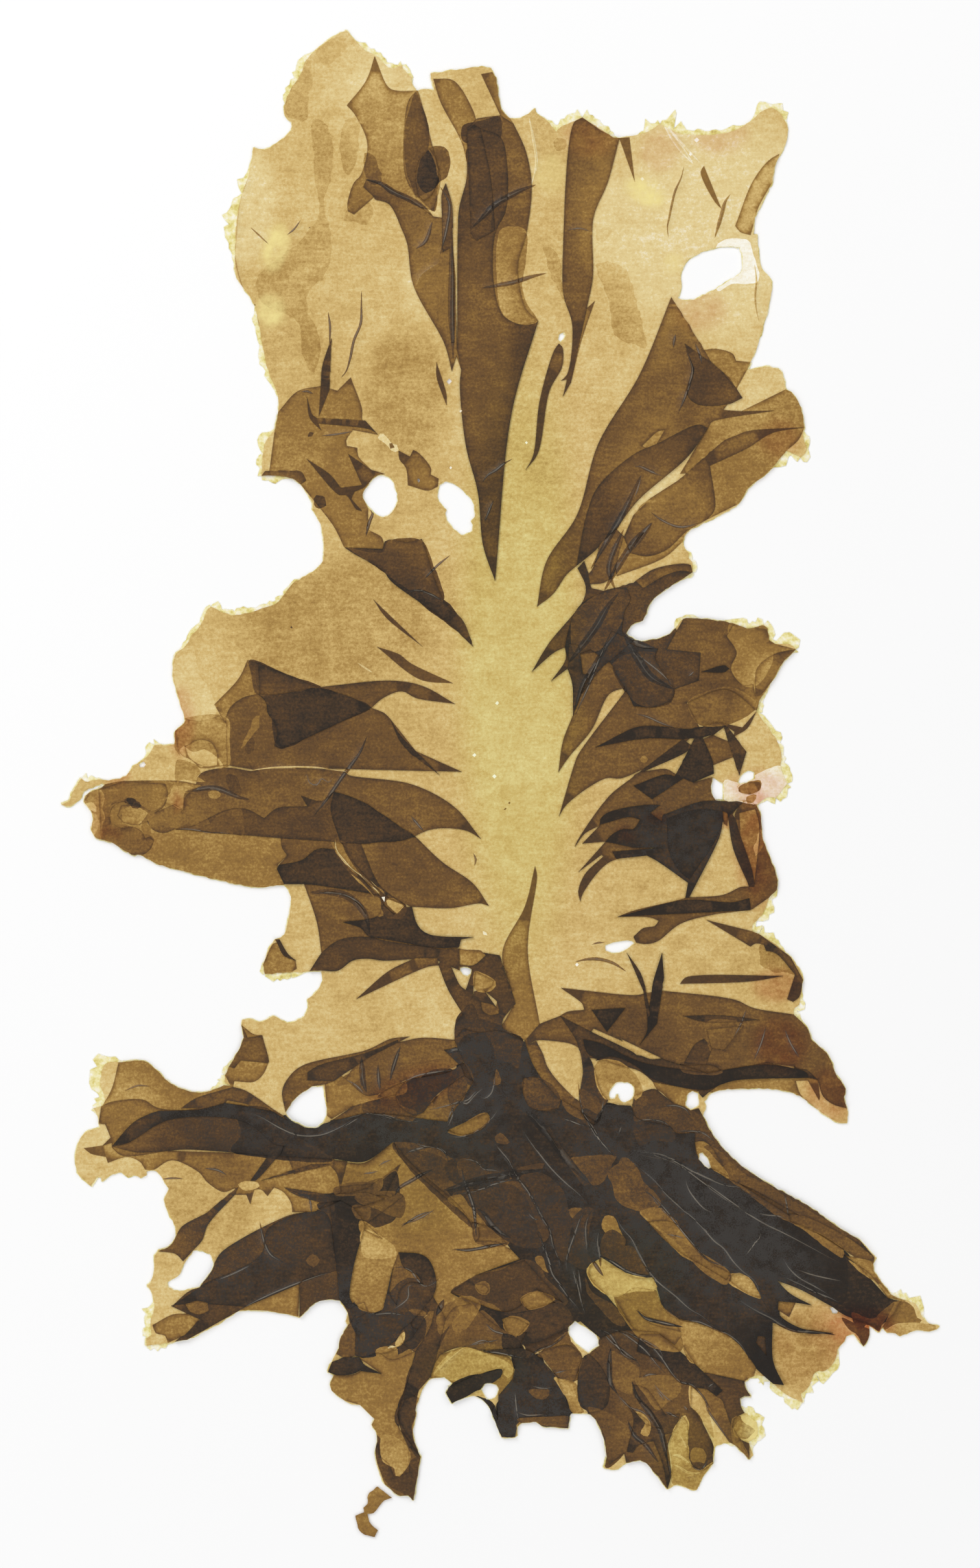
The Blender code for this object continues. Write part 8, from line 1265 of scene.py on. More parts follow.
        (3.2, [(-22.3, -63.7), (-19.5, -64), (-19.8, -65.7), (-21.7, -65.4)]),
        (1.95, [(-20.8, -67.3), (-19.1, -67.6), (-17.4, -68.6), (-15.9, -69.9), (-15.7, -71.4),
            (-16.6, -73.7), (-17.4, -77), (-17.8, -79.3), (-19.9, -79.7), (-21.6, -78.7), (-22.3, -75.9),
            (-21.7, -73.1), (-21, -70.3)]),
        (4.6, [(-6.6, -42.5), (-5.4, -42.1), (-4, -44.8), (-4.5, -45.6), (-6, -44.3)]),
        (3, [(-18.5, -47.4), (-16.6, -45.7), (-14.2, -45.1), (-14.2, -46.6), (-16.6, -47.3)]),
        (2.4, [(-24.8, -45.4), (-23.3, -44.1), (-21, -43), (-21.2, -44.6), (-23.6, -45.6)]),
        (5, [(11.4, -49.4), (14.4, -49.1), (15.1, -50.4), (14.3, -52), (12.5, -51.1)]),
        (2.2, [(-17.8, -85.3), (-16, -86.2), (-13.4, -85.2), (-13.3, -86.3), (-14.9, -87.1), (-17.3, -86.8)]),
        (1.9, [(-25.1, -8.7), (-23.7, -10.9), (-22.3, -13.2), (-20.3, -14.8), (-18.6, -16.2), (-17.2, -17.6),
            (-14.6, -18.5), (-14.9, -19.4), (-16.7, -20), (-18.1, -18.3), (-19.7, -16.4), (-21.7, -14.6),
            (-23.7, -12), (-24.9, -10.1)]),
        (1.4, [(-17.2, -18.1), (-14.7, -18.3), (-15, -19.3), (-16.5, -19.8)]),
        (0.45, [(-17.9, -17.1), (-17, -17.5), (-16.3, -19.1), (-16.8, -19.6), (-17.6, -18.7)]),
        (4.3, [(-12.7, 103.8), (-11.9, 102.1), (-10.8, 98.7), (-10.8, 95.4), (-11.3, 93.7), (-11.9, 91.4),
            (-11.3, 88.6), (-12.5, 88.1), (-13.6, 90.3), (-14.4, 93.7), (-14.4, 98.2), (-13.6, 101.5)]),
        (6.4, [(-11.9, 93.7), (-10.2, 95.4), (-9.5, 91.4), (-9.1, 90.3), (-11.2, 88.6), (-12.5, 90.3)]),
        (3.3, [(-10.8, 95.4), (-8.5, 95.6), (-7.5, 93.7), (-8.2, 90.9), (-9.3, 92), (-10.2, 94.1)]),
        (1.5, [(-20.8, -67.3), (-19.1, -67.6), (-17.4, -68.6), (-15.9, -69.9), (-15.7, -71.2), (-17.6, -71.6),
            (-20.4, -71.4), (-21, -69.6)]),
        (3.3, [(2.5, -95.7), (6.4, -95.4), (10.4, -95.5), (10.5, -96.9), (6.4, -96.7), (3.1, -96.4)]),
        (3.4, [(-0.6, -43), (0, -44.2), (0, -45.3), (-1, -45.4), (-0.9, -44.2)]),
        (4.4, [(-15.6, -55), (-13, -55.2), (-10, -55.8), (-8, -57), (-6.5, -58.8), (-8.2, -60.2),
            (-9.8, -59.8), (-11.8, -58.8), (-13.6, -57.3)]),
        (4.9, [(-7, -61.8), (-3, -61), (1, -60.3), (3.2, -61.5), (4.6, -64), (5.6, -67), (6.3, -69.6),
            (4, -70), (0.8, -68.8), (-1.8, -66.8), (-4, -64.2)]),
        (2.7, [(-8, -62.6), (-6, -61.9), (-5.2, -62.8), (-4.3, -64.6), (-3.2, -66.2), (-4, -66.2),
            (-5.6, -64.7)]),
        (4.1, [(15.5, -68), (16.8, -67.2), (18.8, -68.6), (18.4, -70), (16.2, -70.2), (15.2, -69.6)]),
        (3.9, [(12.8, -74.4), (13.6, -76.4), (15, -77.4), (16.8, -78.4), (18, -79.8), (18.8, -81.6),
            (17.2, -81.4), (15.6, -79.8), (14, -78), (13, -76.6)]),
        (2.7, [(-9.6, -80.5), (-8.2, -78.5), (-7, -78), (-6.2, -79.6), (-7.4, -81.3), (-9, -83)]),
        (3.5, [(16.2, -58.6), (17.2, -57.6), (18.6, -57.1), (20, -58.3), (21.2, -60.1), (22.6, -61.9),
            (23.8, -63.5), (22.2, -64), (20.8, -64.3), (19.2, -63), (17.4, -61.9), (16.9, -60.2)]),
        (0.25, [(33.7, 0.4), (35.5, 0), (37.8, 0.8), (40.1, 2), (42.1, 2.5), (43.7, -0.3), (41.4, -2.6),
            (38.6, -3.3), (35.5, -2.8), (33.7, -2.8)]),
        (1.9, [(35.8, -0.8), (37, 0), (39.1, 0.3), (39.2, -0.8), (38.1, -1.7), (36.9, -1.8), (35.8, -1.4)]),
        (1.5, [(37, -2.2), (38.5, -1.9), (38.1, -3), (37.1, -3.1)]),
        (5.2, [(-1.5, -55.4), (-0.8, -57.8), (1.6, -58.6), (1, -60), (-2.5, -60), (-5.6, -60.6),
            (-7.6, -59.8), (-8.4, -57.4), (-6, -56.2), (-3.6, -55.6)]),
        (3.9, [(21.2, -60.4), (22.6, -61.9), (23.8, -63.4), (22.2, -63.9), (20.4, -63.6), (19.4, -62),
            (20, -60.8)]),
        (4.1, [(-25.2, -8.8), (-23.6, -8.8), (-21, -12.8), (-18.4, -16), (-16.4, -17.4), (-14.2, -18.5),
            (-14.4, -20), (-17, -20.4), (-18.6, -17.6), (-20.8, -15), (-23.4, -12.8)]),
        (2.2, [(-25.4, -9.1), (-24.6, -10.7), (-23.8, -11.7), (-22.9, -12.6), (-21.5, -13.6), (-20.3, -14.7),
            (-18.6, -16.6), (-18, -16.7), (-20.1, -14.9), (-21.8, -12.8), (-22.6, -11.7), (-23.3, -10.4),
            (-24, -9.1)]),
        (2.9, [(-17.4, -18), (-16.9, -17.6), (-16.2, -17.9), (-14.5, -18.6), (-15.2, -19.3), (-15.7, -19.7),
            (-16.3, -19.5), (-16.9, -18.9), (-17.3, -18.4)]),
        (0.1, [(-17.9, -17.2), (-17.4, -17.2), (-17.4, -17.9), (-17.6, -17.7)]),
        (2.5, [(-22, -17.2), (-20, -17.2), (-18.2, -17.3), (-17.9, -18.8), (-17.6, -20), (-18.2, -20.2),
            (-19.4, -19.4), (-20.8, -18.3)]),
        (2.4, [(34.9, -95.6), (36, -95.2), (36.3, -96.2), (35.6, -97.6), (36.2, -98.8), (37.4, -101.6),
            (36, -100.6), (34.9, -99)]),
        (1.8, [(35, -97.2), (35.4, -96.4), (36.1, -95.8), (36.9, -96.4), (37.8, -97), (38.4, -97.4),
            (37.6, -98.2), (36.8, -98.8), (36, -98.6), (35.2, -98.2)]),
        (0.8, [(36.1, -95.3), (37, -95), (37.9, -95.6), (38.9, -96.2), (39, -98), (38.6, -99.2),
            (37.4, -99.2), (37, -98.8), (37.8, -98.1), (38.4, -97.4), (37.6, -96.8), (36.6, -96.2)]),
        (1.75, [(25.6, -100.8), (26, -100.2), (26.1, -98), (27, -96), (27.8, -95.3), (28.3, -96),
            (28.2, -98.2), (28.3, -100.4), (28.6, -102.4), (29.6, -103.1), (30.4, -103.2), (31.2, -102.6),
            (32, -102.2), (31.4, -103), (30.8, -104.2), (30.4, -105.6), (29.6, -106.4), (28.6, -106.2),
            (27.2, -105.8), (26.2, -105.8), (25.7, -105), (25.7, -103)]),
        (4.2, [(28.2, -93.6), (29, -94.2), (30, -95.3), (30.8, -97), (31.6, -98.8), (32.1, -100),
            (31.9, -101.4), (32, -102.2), (31.2, -101.9), (30.6, -103), (30, -103.2), (29, -102.9),
            (28.5, -102), (28.3, -100), (28.2, -98), (28.4, -96.4), (28.1, -95.2)]),
        (2.5, [(28.6, -100.6), (29.2, -100), (30.4, -100.2), (31, -101.2), (30.6, -102.4), (29.8, -102.2),
            (28.8, -102.2)]),
        (3.5, [(52.8, -79.6), (54.4, -80.2), (56, -80.6), (57.2, -79.6), (59.2, -78.2), (58.6, -79.6),
            (57.4, -81.4), (57, -82.6), (56, -81.9), (55, -81.6), (54.6, -82.4), (54.3, -83.6), (53.4, -82),
            (52.9, -80.6)]),
        (4.7, [(-2.2, -37.5), (0, -37.4), (1.8, -37.7), (3.4, -38.6), (3.2, -40), (3, -42), (2.6, -43),
            (1.6, -42.2), (0.2, -41.8), (-0.8, -41.5), (-0.9, -40.2), (-1.4, -39)]),
        (3.6, [(9.4, -46.8), (10.6, -47.2), (11.9, -48), (12.2, -49.4), (12.7, -50.7), (11.6, -50.5),
            (10.4, -49.8), (9.4, -48.4)]),
        (3.8, [(12.3, -46), (13.2, -46.6), (14.8, -47.6), (15, -49.9), (13.4, -49.2), (12.1, -48.4),
            (11.9, -47.2)]),
        (6.4, [(-0.4, -50.2), (3, -50), (4.4, -50.1), (6, -51.8), (7.6, -53.6), (9, -55.8), (9.8, -57),
            (8.4, -57), (6.6, -56.2), (5.2, -54.8), (3.8, -52.2), (2.6, -50.8), (0.2, -52.6), (-0.6, -51.4)]),
        (4.3, [(6.6, -51.6), (7.4, -52), (8.4, -53.4), (9.4, -55), (10.6, -56.6), (12, -58.6), (13.4, -60.4),
            (12.6, -60.6), (11.2, -59), (9.8, -57), (8.6, -54.8), (7.6, -53.2)]),
        (3.8, [(10.6, -56.5), (12, -56.2), (15.5, -56), (17.4, -56.2), (16.6, -57.6), (16.2, -58.6),
            (15.4, -60), (14, -60.6), (12.6, -59), (11.4, -57.6)]),
        (5.4, [(-4.5, -54), (-1, -54), (-1, -55.6), (-1.2, -58), (-3, -57.8), (-3.4, -56.8), (-4.6, -56.4)]),
        (4.3, [(-6.4, -56.8), (-4.4, -56.6), (-3.2, -57.4), (-1.8, -58.4), (0.4, -58.6), (0.6, -58.9),
            (-1, -59.4), (-4.6, -60), (-6, -59.4)]),
        (4.3, [(2.4, -58.2), (5, -57.4), (6.6, -57.3), (6.4, -58), (4.6, -58.1), (2.6, -58.6)]),
        (3.5, [(19.8, -48.4), (20.6, -47.6), (21.4, -47), (22.2, -47.6), (22, -48.4), (21.2, -49),
            (20, -49.4)]),
        (3.9, [(20, -50.2), (22, -49.4), (25, -48.9), (27, -49.4), (28.6, -50.2), (29.8, -51.2),
            (30.4, -52.6), (28.8, -52.3), (26.4, -52.4), (25.6, -51.4), (24.2, -50.7), (22.2, -50.8),
            (20.2, -51.1)]),
        (4.9, [(20, -51.3), (22.2, -50.9), (24.1, -50.8), (25.5, -51.5), (26.2, -52.6), (26, -54),
            (23, -53.8), (21, -54.6)]),
        (6.2, [(15.2, -49.2), (16, -48.2), (18, -48.6), (19, -49.2), (19, -51), (18.4, -53.4), (17, -55),
            (15.4, -53.4), (14, -51.4)]),
        (3.7, [(18, -56.6), (18.8, -56.3), (20.2, -57.4), (21, -58.8), (21.6, -60.2), (23, -61.4),
            (24, -62.6), (22.4, -61.8), (21, -61.2), (19.6, -60.6), (17.4, -60.4), (16.2, -59.4), (16, -58.6),
            (17.6, -57.8)]),
        (3.9, [(-7.9, -45.8), (-6.8, -44.8), (-5.4, -43.8), (-5, -44.2), (-5.1, -46.2), (-5.6, -47.8),
            (-6.6, -48.4), (-7.6, -48.2)]),
        (4.6, [(-12, -44.6), (-10.6, -43.4), (-8.6, -43), (-7.2, -43.2), (-7.2, -44), (-8.4, -44.8),
            (-10, -45.6)]),
        (2.4, [(-62.4, -1.2), (-60.8, -0.8), (-59, -0.2), (-56.5, 0.2), (-54, 0.3), (-51, 0.1), (-49.3, -0.2),
            (-49.4, -1.2), (-50.2, -2.4), (-51, -3.6), (-52.4, -4.3), (-54, -3.4), (-56.2, -3), (-58.4, -3.2),
            (-58.8, -4.6), (-58.4, -6), (-57.6, -6.8), (-59, -7.6), (-60.8, -8.6), (-61.8, -7.6), (-61.6, -5),
            (-62, -4), (-62.8, -3)]),
        (1.65, [(-62.4, -1.2), (-61.2, -0.9), (-60, -1.2), (-59.5, -2.4), (-59.8, -3.8), (-59.4, -5.2),
            (-59.9, -6.6), (-59.7, -8.5), (-60.8, -8.6), (-61.8, -7.6), (-61.6, -5), (-62, -4), (-62.8, -3)]),
        (1.25, [(-61.7, -4.6), (-60.8, -4.8), (-60.3, -5.8), (-60.5, -7), (-61.1, -8), (-61.8, -7.6)]),
        (0.95, [(-62.4, -3.2), (-61.4, -3), (-60.7, -3.7), (-60.8, -4.4), (-61.6, -4.1), (-62.4, -3.7)]),
        (2.1, [(-58.6, -3.6), (-57.6, -3.1), (-56.4, -3.1), (-56.2, -3.6), (-56.8, -4.4), (-56.9, -5.4),
            (-56.2, -6.2), (-57, -6.8), (-58, -6.6), (-58.6, -5.6), (-58.8, -4.4)]),
        (2.45, [(-54, -6.5), (-53.2, -5.8), (-52.6, -6.6), (-52.5, -7.6), (-53.6, -7.5)]),
        (1.75, [(-56.9, -4.6), (-56.2, -3.7), (-55, -3.5), (-53.8, -4), (-53, -4.6), (-53.6, -5.6),
            (-54.4, -6.4), (-55.4, -6.6), (-56.4, -6.2), (-56.9, -5.4)]),
        (2.6, [(-59, -7), (-58.2, -7), (-57.4, -6.9), (-56.2, -6.5), (-55, -6.8), (-53.8, -7.6), (-52.4, -8),
            (-52, -8.6), (-52.5, -9.4), (-53.2, -10.2), (-54.6, -10.6), (-56, -10.6), (-57.2, -9.8),
            (-58.6, -9.1), (-60, -8.6), (-59.8, -7.6)]),
        (2.7, [(-53, -4.7), (-51.8, -4.4), (-50.4, -3.9), (-49, -3.5), (-48, -4.2), (-47.8, -5.4),
            (-48, -6.4), (-48.8, -6.9), (-50.6, -6.5), (-51.8, -6.3), (-52.6, -6.4), (-53.4, -5.8)]),
        (3, [(-47.4, -1.6), (-46.4, -1.4), (-44.8, -1.9), (-43.6, -2.3), (-42, -2.2), (-41.6, -3), (-42, -4),
            (-43.4, -4.6), (-44, -5.4), (-43.6, -6.2), (-45.6, -6.4), (-47.4, -6.3), (-47.9, -5.4),
            (-47.7, -3.4)]),
        (3.4, [(-48.9, -7.1), (-48.2, -6.7), (-47.2, -6.3), (-45.4, -6.4), (-43.6, -6.2), (-42.8, -5.2),
            (-42, -4.6), (-40.4, -4.1), (-39, -4), (-38.6, -6), (-38.6, -7.9), (-41, -7.7), (-44, -7.5),
            (-46.6, -7.1)]),
        (1.6, [(-49.4, -0.9), (-48.4, -0.5), (-47, -0.5), (-46.2, -0.8), (-47.2, -1.2), (-47.6, -2),
            (-47.7, -3.2), (-48, -4), (-49, -3.5), (-50.2, -3), (-50.2, -2.4), (-49.6, -1.6)]),
        (1.9, [(-44, -1.5), (-43.4, -1.2), (-42.4, -1.3), (-41.9, -1.8), (-42.6, -2.4), (-43.6, -2.3)]),
        (3.6, [(-56.5, -2.6), (-55.9, -2.3), (-55.2, -2.4), (-54.6, -3), (-53.6, -3.8), (-54.6, -3.7),
            (-55.8, -3.3), (-56.4, -3.1)]),
        (1.65, [(-48.9, 6.4), (-48.2, 8.6), (-46.8, 9.4), (-44.6, 9.4), (-42.4, 9.8), (-41.4, 9), (-41, 7),
            (-40.9, 5), (-41, 2.4), (-43, 2.2), (-45.4, 2.2), (-46.8, 3.2), (-48.2, 4), (-49, 5.4)]),
        (0.95, [(-48.3, 4.6), (-47.6, 5.4), (-46.8, 4.8), (-45.8, 4.6), (-44.6, 5), (-43.4, 4.4),
            (-42.2, 3.4), (-41.6, 2.3), (-43, 2.1), (-45, 2.2), (-45.6, 2.6), (-46.4, 2.9), (-47.4, 3.2),
            (-48, 3.8)]),
        (1.6, [(-48.6, 3.4), (-47.2, 3.2), (-46, 2.7), (-45.2, 1.9), (-45, 1.4), (-45.6, 0.9), (-44.8, 0.5),
            (-44.4, 0.1), (-45.6, 0.1), (-47.4, 0.3), (-48.8, 0.3), (-48.9, 1.8)]),
        (3.6, [(-41.3, 1.1), (-39.8, 1.1), (-39, -1), (-39, -1.9), (-40.4, -1.6), (-40.9, -0.8)]),
        (0, [(-54.4, 2.8), (-54.1, 3.1), (-53.6, 3.1), (-53.3, 2.7), (-53.6, 2.3), (-54.2, 2.3)]),
        (0, [(-12.6, 45.5), (-12.3, 45.8), (-12, 45.5), (-12.3, 45.1)]),
    ],
    # soft places, each x, y, half length, half width, turn in degrees, amount
    "tints": {
        "thick": [
            (31, 84, 17, 18, 0, -0.42), (3, 10, 8, 30, 0, -0.17), (-38, 87, 4, 9, 0, -0.35),
            (-3, 66, 5, 16, 0, -0.26), (13, 98, 5, 4, 0, -0.2), (-31, 54, 6, 8, 0, -0.1),
            (32, 12, 4, 4, 0, 0.22), (40, 15, 3, 4, 0, -0.25), (-22, -62, 3, 4, 0, 0.2),
            (-32, -69, 5, 4, 0, -0.1), (-24, 108, 9, 6, 0, -0.15), (-17, 100, 7, 9, 0, -0.25),
            (-11, 80, 4, 14, 0, -0.2), (14, 88, 4, 9, 0, -0.12), (22, 48, 5, 8, -30, -0.25),
            (22, 60, 6, 6, 0, -0.12), (35, 55, 5, 5, 0, -0.12), (-40, -6, 7, 5, 0, -0.1),
            (-50, -4, 5, 4, 0, -0.1), (40, -43.6, 4, 4, 0, -0.15), (-12, -66, 4, 5, 0, 0.12),
            (20, -38, 6, 4, 0, 0.15), (2, -5, 5, 8, 0, -0.06), (34, 91, 6, 6, 0, -0.08),
            (-25, 5, 5, 5, 0, 0.1), (-24, 24, 16, 9, 15, 0.42), (-14, 58, 6, 10, 0, 0.38),
            (-31, 62, 6, 8, 0, 0.1), (5, -58, 24, 16, -30, -0.03), (26, 41, 6, 6, 0, -0.2),
            (-43, -62, 8, 7, 0, 0.22), (-15, -12, 4, 4, 0, 0.12), (-58, -50, 7, 7, 0, -0.22),
            (25, -94, 8, 8, 0, -0.18), (44, -85, 6, 6, 0, 0.5), (40, -28, 6, 5, 0, 0.12),
        ],
        "olive": [
            (28, -101, 5, 6, 0, 1), (37, -97.4, 3, 3, 0, 1), (3, 18, 9, 42, 0, 1), (18, -75, 9, 8, 0, 1),
            (-4, -88, 8, 4, 0, 1), (-13, -58, 12, 10, 0, 0.6),
        ],
        "slate": [
            (7, -54.4, 5.5, 1.8, -50, -0.3), (1.5, -51, 3, 1.6, 0, -0.25),
            (0.8, -39.6, 2.6, 2.4, 0, -0.12), (15, -60, 36, 16, -30, 0.42), (30, -66, 18, 7, -35, 0.5),
            (0, -42, 8, 8, 0, 0.3), (-38, -68, 14, 8, 30, 0.5), (-20, -80, 8, 8, 0, 0.5),
            (-30, -50, 26, 6, 0, 0.4), (20, 24, 10, 12, 0, 0.4), (27, -8, 8, 8, 0, 0.4),
            (6, -96, 10, 9, 0, 0.5),
        ],
        "red": [
            (-60.2, -5.6, 1.6, 3.4, 0, 0.3), (-58, -1.6, 3, 1.4, 0, 0.15), (-57, 0.7, 2.4, 0.7, 15, 0.5),
            (-47.9, 6.8, 1.5, 2.4, 0, 0.12), (-48.4, -3, 0.9, 1.4, 0, 0.5),
            (-58.4, -7.8, 1.8, 1, 0, 0.35), (56, -80.8, 3.5, 1.8, -20, 0.4), (51.5, -83, 5, 4, -35, 0.25),
            (38.5, -0.8, 4.5, 2.5, 0, 0.45), (24, 95, 3, 3, 0, 0.3), (33, 97.5, 4, 3, 0, 0.3),
            (30, 71, 4, 3, 0, 0.3), (-48, 9, 2, 5, 0, 0.5), (42, 51.5, 3, 3, 0, 0.35),
            (13.5, 97, 4, 3, 0, 0.35), (41.5, -30.5, 3.5, 2.5, 0, 0.5), (-55, -8.4, 4, 1.6, -20, 0.12),
            (38.5, -10, 3, 8, 0, 0.6), (42, -39.5, 4, 4, 0, 0.65), (49.5, -47, 4, 4, -40, 0.5),
            (48, -84.5, 8, 7, 0, 0.18), (54, -81.5, 5, 3, 0, 0.4), (18.8, -8, 1.5, 1, 0, 0.6),
            (23.4, -5.4, 1.6, 0.8, 0, 0.6), (33.8, -5.4, 1, 1.6, 0, 0.6), (-13, -46, 7, 3, 20, 0.5),
        ],
        "pale": [
            (38.2, -97, 1.6, 2.2, 0, 0.8), (-33.8, 80.5, 1.8, 3.4, -15, 0.9), (-34.6, 71, 2, 2.4, 0, 0.9),
            (21.8, 88.8, 3, 1.8, -25, 1), (7.5, 91.5, 2.5, 3, 0, 0.4), (26, 78, 1.5, 1.5, 0, 0.4),
        ],
    },
}

bladeSheet, bladeMargins, bladeTree = buildSheet("bladeSheet", "blade", blade)
bladeSheet.data.materials.append(tissueMaterial("bladeTissue", laverTissue, tissue))
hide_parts("blade")
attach(bladeSheet, "root")

# the decayed fringe, mm
fringe = {
    "least": 0.12,  # how far it hangs out where no place makes it wider
    "narrowest": 0.05,
    "under": 0.25,  # how far it reaches in under the sheet
    "innerHeight": 0.12,
    "outerHeight": 0.05,
    "probe": 0.5,  # how far from the rim the sheet is looked for
    "scallop": 0.55,  # how many scallops there are to a mm
    "scallops": (0.9, 0.8, 0.5),  # how uneven the large, middle and small ones are
    # where the film is wider: x, y, half length, half width, turn in degrees, width
    "places": [
        (-41, 88, 3, 9, 0, 1.2), (-31, 107, 3, 7, 25, 0.8), (13, 99.5, 5, 3, 0, 0.9),
        (24.5, 99.5, 3.5, 3, 0, 1.6), (-18, 108, 4, 4, 0, 0.7), (31, 98, 5, 2.5, 0, 0.6),
        (41, 101.5, 3, 2, 0, 0.8), (-37, 61, 3, 9, 0, 0.6), (-35, 49, 3, 4, 0, 0.6),
        (-40, 25, 9, 5, 20, 0.6), (44, 49.5, 3, 3, 0, 0.9), (29, 32.5, 2, 2, 0, 0.6),
        (27.5, 25, 2, 2, 0, 0.4), (38, 22.5, 4, 3, 0, 0.8), (43.5, 22, 2, 2, 0, 1.2),
        (40.5, 8, 4, 5, 0, 0.5), (42, 0, 3, 4, 0, 0.9), (41, -21, 3, 4, 0, 1),
        (44.5, -34, 2, 2, 0, 0.6), (-63.5, 1.5, 3, 2, 0, 0.6), (-53.4, 6.3, 2, 2, 0, 0.8),
        (-60, -45, 3, 4, 0, 1.2), (-38, -46.5, 5, 4, 0, 0.8), (-33, -29.5, 3, 3, 0, 0.7),
        (-52, -82, 3, 3, 0, 1), (45, -89, 6, 5, 0, 1), (37, -97, 3, 3, 0, 0.8),
        (62, -78, 3, 2, 0, 0.8),
    ],
    # the film's colours over its noise
    "film": [
        (0.32, (252, 249, 240)),
        (0.5, (240, 230, 170)),
        (0.62, (218, 202, 116)),
        (0.75, (176, 140, 90)),
    ],
    "filmNoise": (700, 6, 0.7),
    "roughness": 0.6,
    "gloss": 0.2,
}


def rimNormals(line, closed):
    # the way out or in, at right angles to the rim at each of its points
    count = len(line)
    normals = []
    for m in range(count):
        before = line[m - 1] if closed or m else line[m]
        after = line[(m + 1) % count] if closed or m < count - 1 else line[m]
        along = Vector(after) - Vector(before)
        across = Vector((along.y, -along.x))
        normals.append(across.normalized() if along.length else Vector((0, 0)))
    return normals


def outwards(tree, line, normals, probe):
    # 1 where the normals point away from the sheet, -1 where they point into it
    inside = 0
    for m in range(0, len(line), 3):
        x, y = line[m][0] + normals[m].x * probe, line[m][1] + normals[m].y * probe
        inside += 1 if layersAt(tree, x, y) else -1
    return -1.0 if inside > 0 else 1.0


def buildFringe(name, margins, tree, options):
    # a thin strip along the rim whose width the places give
    verts, faces = [], []
    large, middle, small = options["scallops"]
    low, high = options["outerHeight"], options["innerHeight"]
    for line in margins:
        closed = line[0] == line[-1]
        line = line[:-1] if closed else line
        count = len(line)
        normals = rimNormals(line, closed)
        side = outwards(tree, line, normals, options["probe"])
        widths = field(line, options["places"], options["least"])
        inner = -options["under"] * side
        first = len(verts)
        for m, (x, y) in enumerate(line):
            at = Vector((x * options["scallop"], y * options["scallop"], 4.0))
            uneven = 1.0 + large * noise.noise(at) + middle * noise.noise(at * 3.1)
            uneven += small * noise.noise(at * 7.3)
            reach = max(options["narrowest"], widths[m] * uneven) * side
            for out, z in ((inner, 0.0), (inner, high), (reach, low), (reach, 0.0)):
                verts.append(((x + normals[m].x * out) * mm, (y + normals[m].y * out) * mm, z * mm))
        for m in range(count if closed else count - 1):
            a, b = first + 4 * m, first + 4 * ((m + 1) % count)
            for k in range(4):
                quad = (a + k, b + k, b + (k + 1) % 4, a + (k + 1) % 4)
                faces.append(quad if side < 0 else quad[::-1])
        if not closed:
            last = first + 4 * (count - 1)
            ends = [(first, first + 1, first + 2, first + 3), (last + 3, last + 2, last + 1, last)]
            faces.extend(ends if side < 0 else [end[::-1] for end in ends])
    mesh = bpy.data.meshes.new(name)
    mesh.from_pydata(verts, [], faces)
    print(name, len(faces), "faces,", len(margins), "lines")
    return newObject(name, mesh)


def filmMaterial(options):
    material, tree, shader = newMaterial("decayedFilm")
    coords = tree.nodes.new("ShaderNodeTexCoord").outputs["Object"]
    clouds = noiseAt(tree, coords, *options["filmNoise"])
    colour = colourRamp(tree, options["film"], 1.0, clouds)
    tree.links.new(colour, shader.inputs["Base Color"])
    shader.inputs["Roughness"].default_value = options["roughness"]
    shader.inputs["Specular IOR Level"].default_value = options["gloss"]
    return material


bladeFringe = buildFringe("bladeFringe", bladeMargins, bladeTree, fringe)
bladeFringe.data.materials.append(filmMaterial(fringe))
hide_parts("blade")
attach(bladeFringe, "root")

# the torn scrap: the blade's tissue on a small plain sheet, mm
scrap = {
    "base": 0.2,
    "waves": 0.05,
    "grid": 0.5,
    "curveStep": 0.4,
    "ragged": 0.1,
    "seed": 5,
    "creases": [],
    "stains": [],
    "tones": [],
    "tints": dict(blade["tints"], thick=[(-19, -109, 9, 9, 0, 1.1)]),
}
scrapSheet = buildSheet("scrapSheet", "torn_scrap", dict(blade, **scrap))[0]
scrapSheet.data.materials.append(tissueMaterial("scrapTissue", laverTissue, tissue))
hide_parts("torn_scrap")
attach(scrapSheet, "root")

smoothUnder = 50  # edges that turn less than this many degrees are shaded smooth
for obj in (bladeSheet, scrapSheet):
    bpy.ops.object.select_all(action="DESELECT")
    obj.select_set(True)
    bpy.context.view_layer.objects.active = obj
    bpy.ops.object.shade_smooth_by_angle(angle=math.radians(smoothUnder))
print("sheets smoothed")

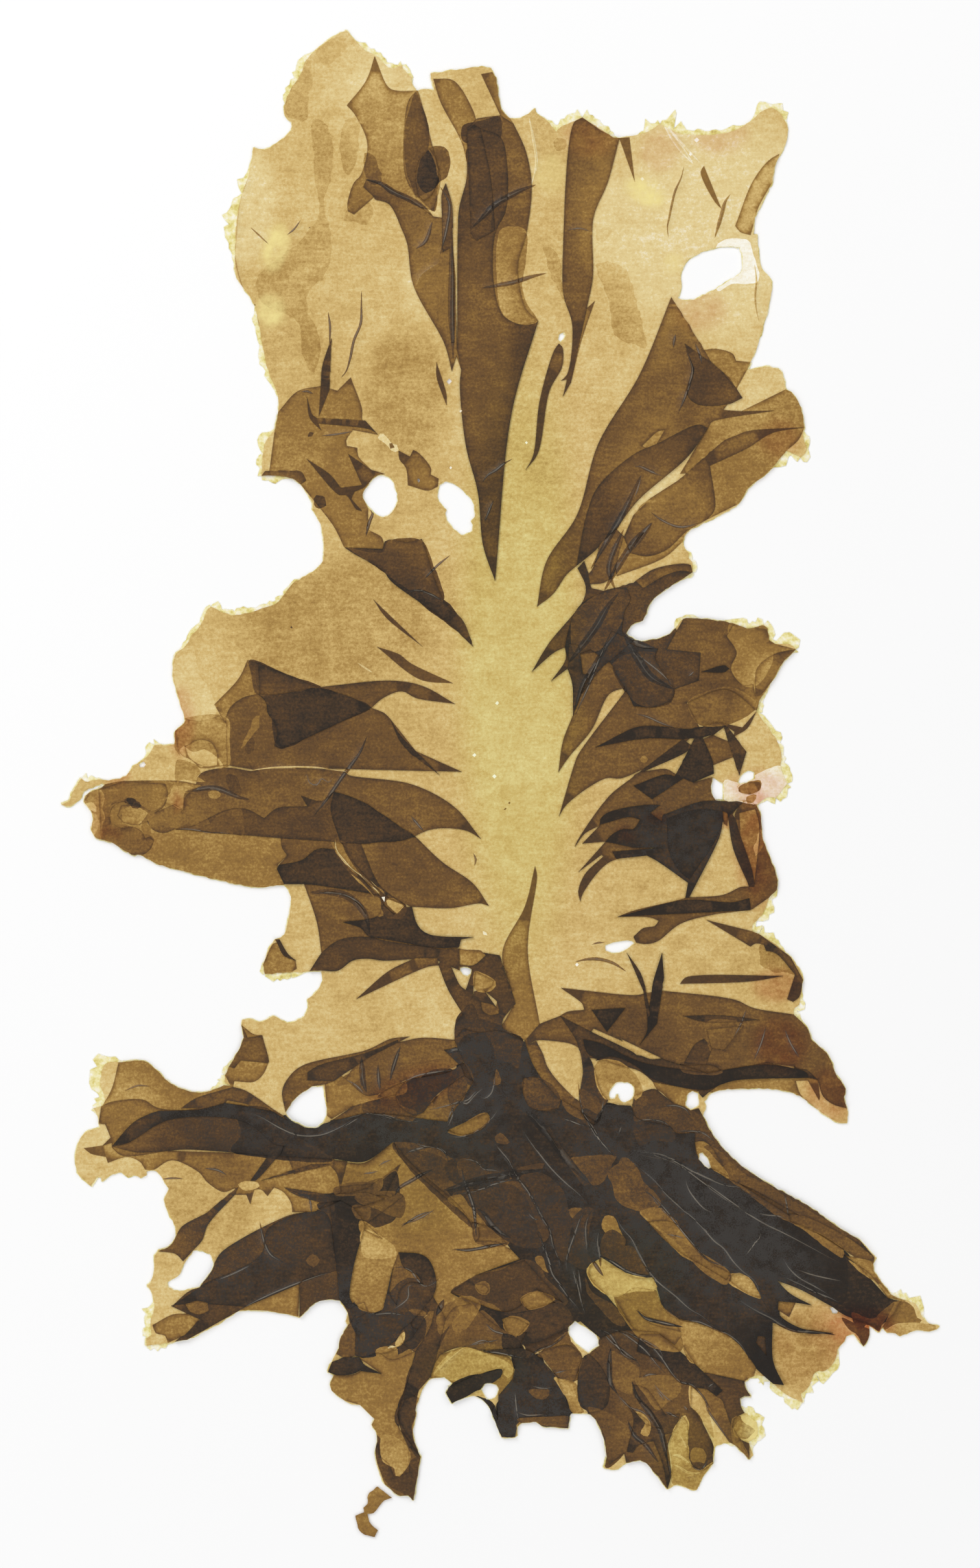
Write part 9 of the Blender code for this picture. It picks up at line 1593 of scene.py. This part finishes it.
# floor, light and camera, m
studio = {
    "floor": 2.4,
    "floorDrop": 0.00004,  # keeps the floor clear of the sheet's underside
    "paper": (255, 255, 255),
    "paperRoughness": 0.9,
    "paperGloss": 0.1,
    "sky": 0.42,
    "boxes": [(-0.45, 0.62, 3.6), (0.62, 0.45, 1.6), (0.45, -0.62, 1.6), (-0.62, -0.45, 2.2)],
    "boxHeight": 0.55,
    "boxSize": 0.5,
    "frameHeight": 235.87,  # mm of the floor that the view takes in from top to bottom
    "look": (-1.56, -0.04),  # the view's centre, mm
    "lens": 100,
    "sensor": 36,
}


def buildFloor(options):
    bpy.ops.mesh.primitive_plane_add(size=options["floor"], location=(0, 0, -options["floorDrop"]))
    floor = bpy.context.object
    floor.name = "paperFloor"
    material, tree, shader = newMaterial("whitePaper")
    shader.inputs["Base Color"].default_value = linear(*options["paper"])
    shader.inputs["Roughness"].default_value = options["paperRoughness"]
    shader.inputs["Specular IOR Level"].default_value = options["paperGloss"]
    floor.data.materials.append(material)


def softBox(name, place, size, power):
    # a square light that faces the middle of the sheet
    data = bpy.data.lights.new(name, "AREA")
    data.shape = "RECTANGLE"
    data.size = size
    data.size_y = size
    data.energy = power
    light = newObject(name, data)
    light.location = place
    light.rotation_euler = (-Vector(place)).to_track_quat("-Z", "Y").to_euler()


def buildCamera(options):
    data = bpy.data.cameras.new("scanCamera")
    data.lens = options["lens"]
    data.sensor_fit = "VERTICAL"
    data.sensor_height = options["sensor"]
    camera = newObject("scanCamera", data)
    x, y = options["look"]
    distance = options["lens"] / options["sensor"] * options["frameHeight"] * mm
    camera.location = (x * mm, y * mm, distance)
    bpy.context.scene.camera = camera


def buildStudio(options):
    buildFloor(options)
    world = bpy.data.worlds.new("softSky")
    bpy.context.scene.world = world
    world.use_nodes = True
    background = world.node_tree.nodes["Background"]
    background.inputs[0].default_value = (1, 1, 1, 1)
    background.inputs[1].default_value = options["sky"]
    for n, (x, y, power) in enumerate(options["boxes"]):
        softBox(f"softBox{n}", (x, y, options["boxHeight"]), options["boxSize"], power)
    buildCamera(options)
    bpy.context.scene.view_settings.view_transform = "Standard"
    bpy.context.scene.view_settings.look = "None"


buildStudio(studio)
print("studio ready")
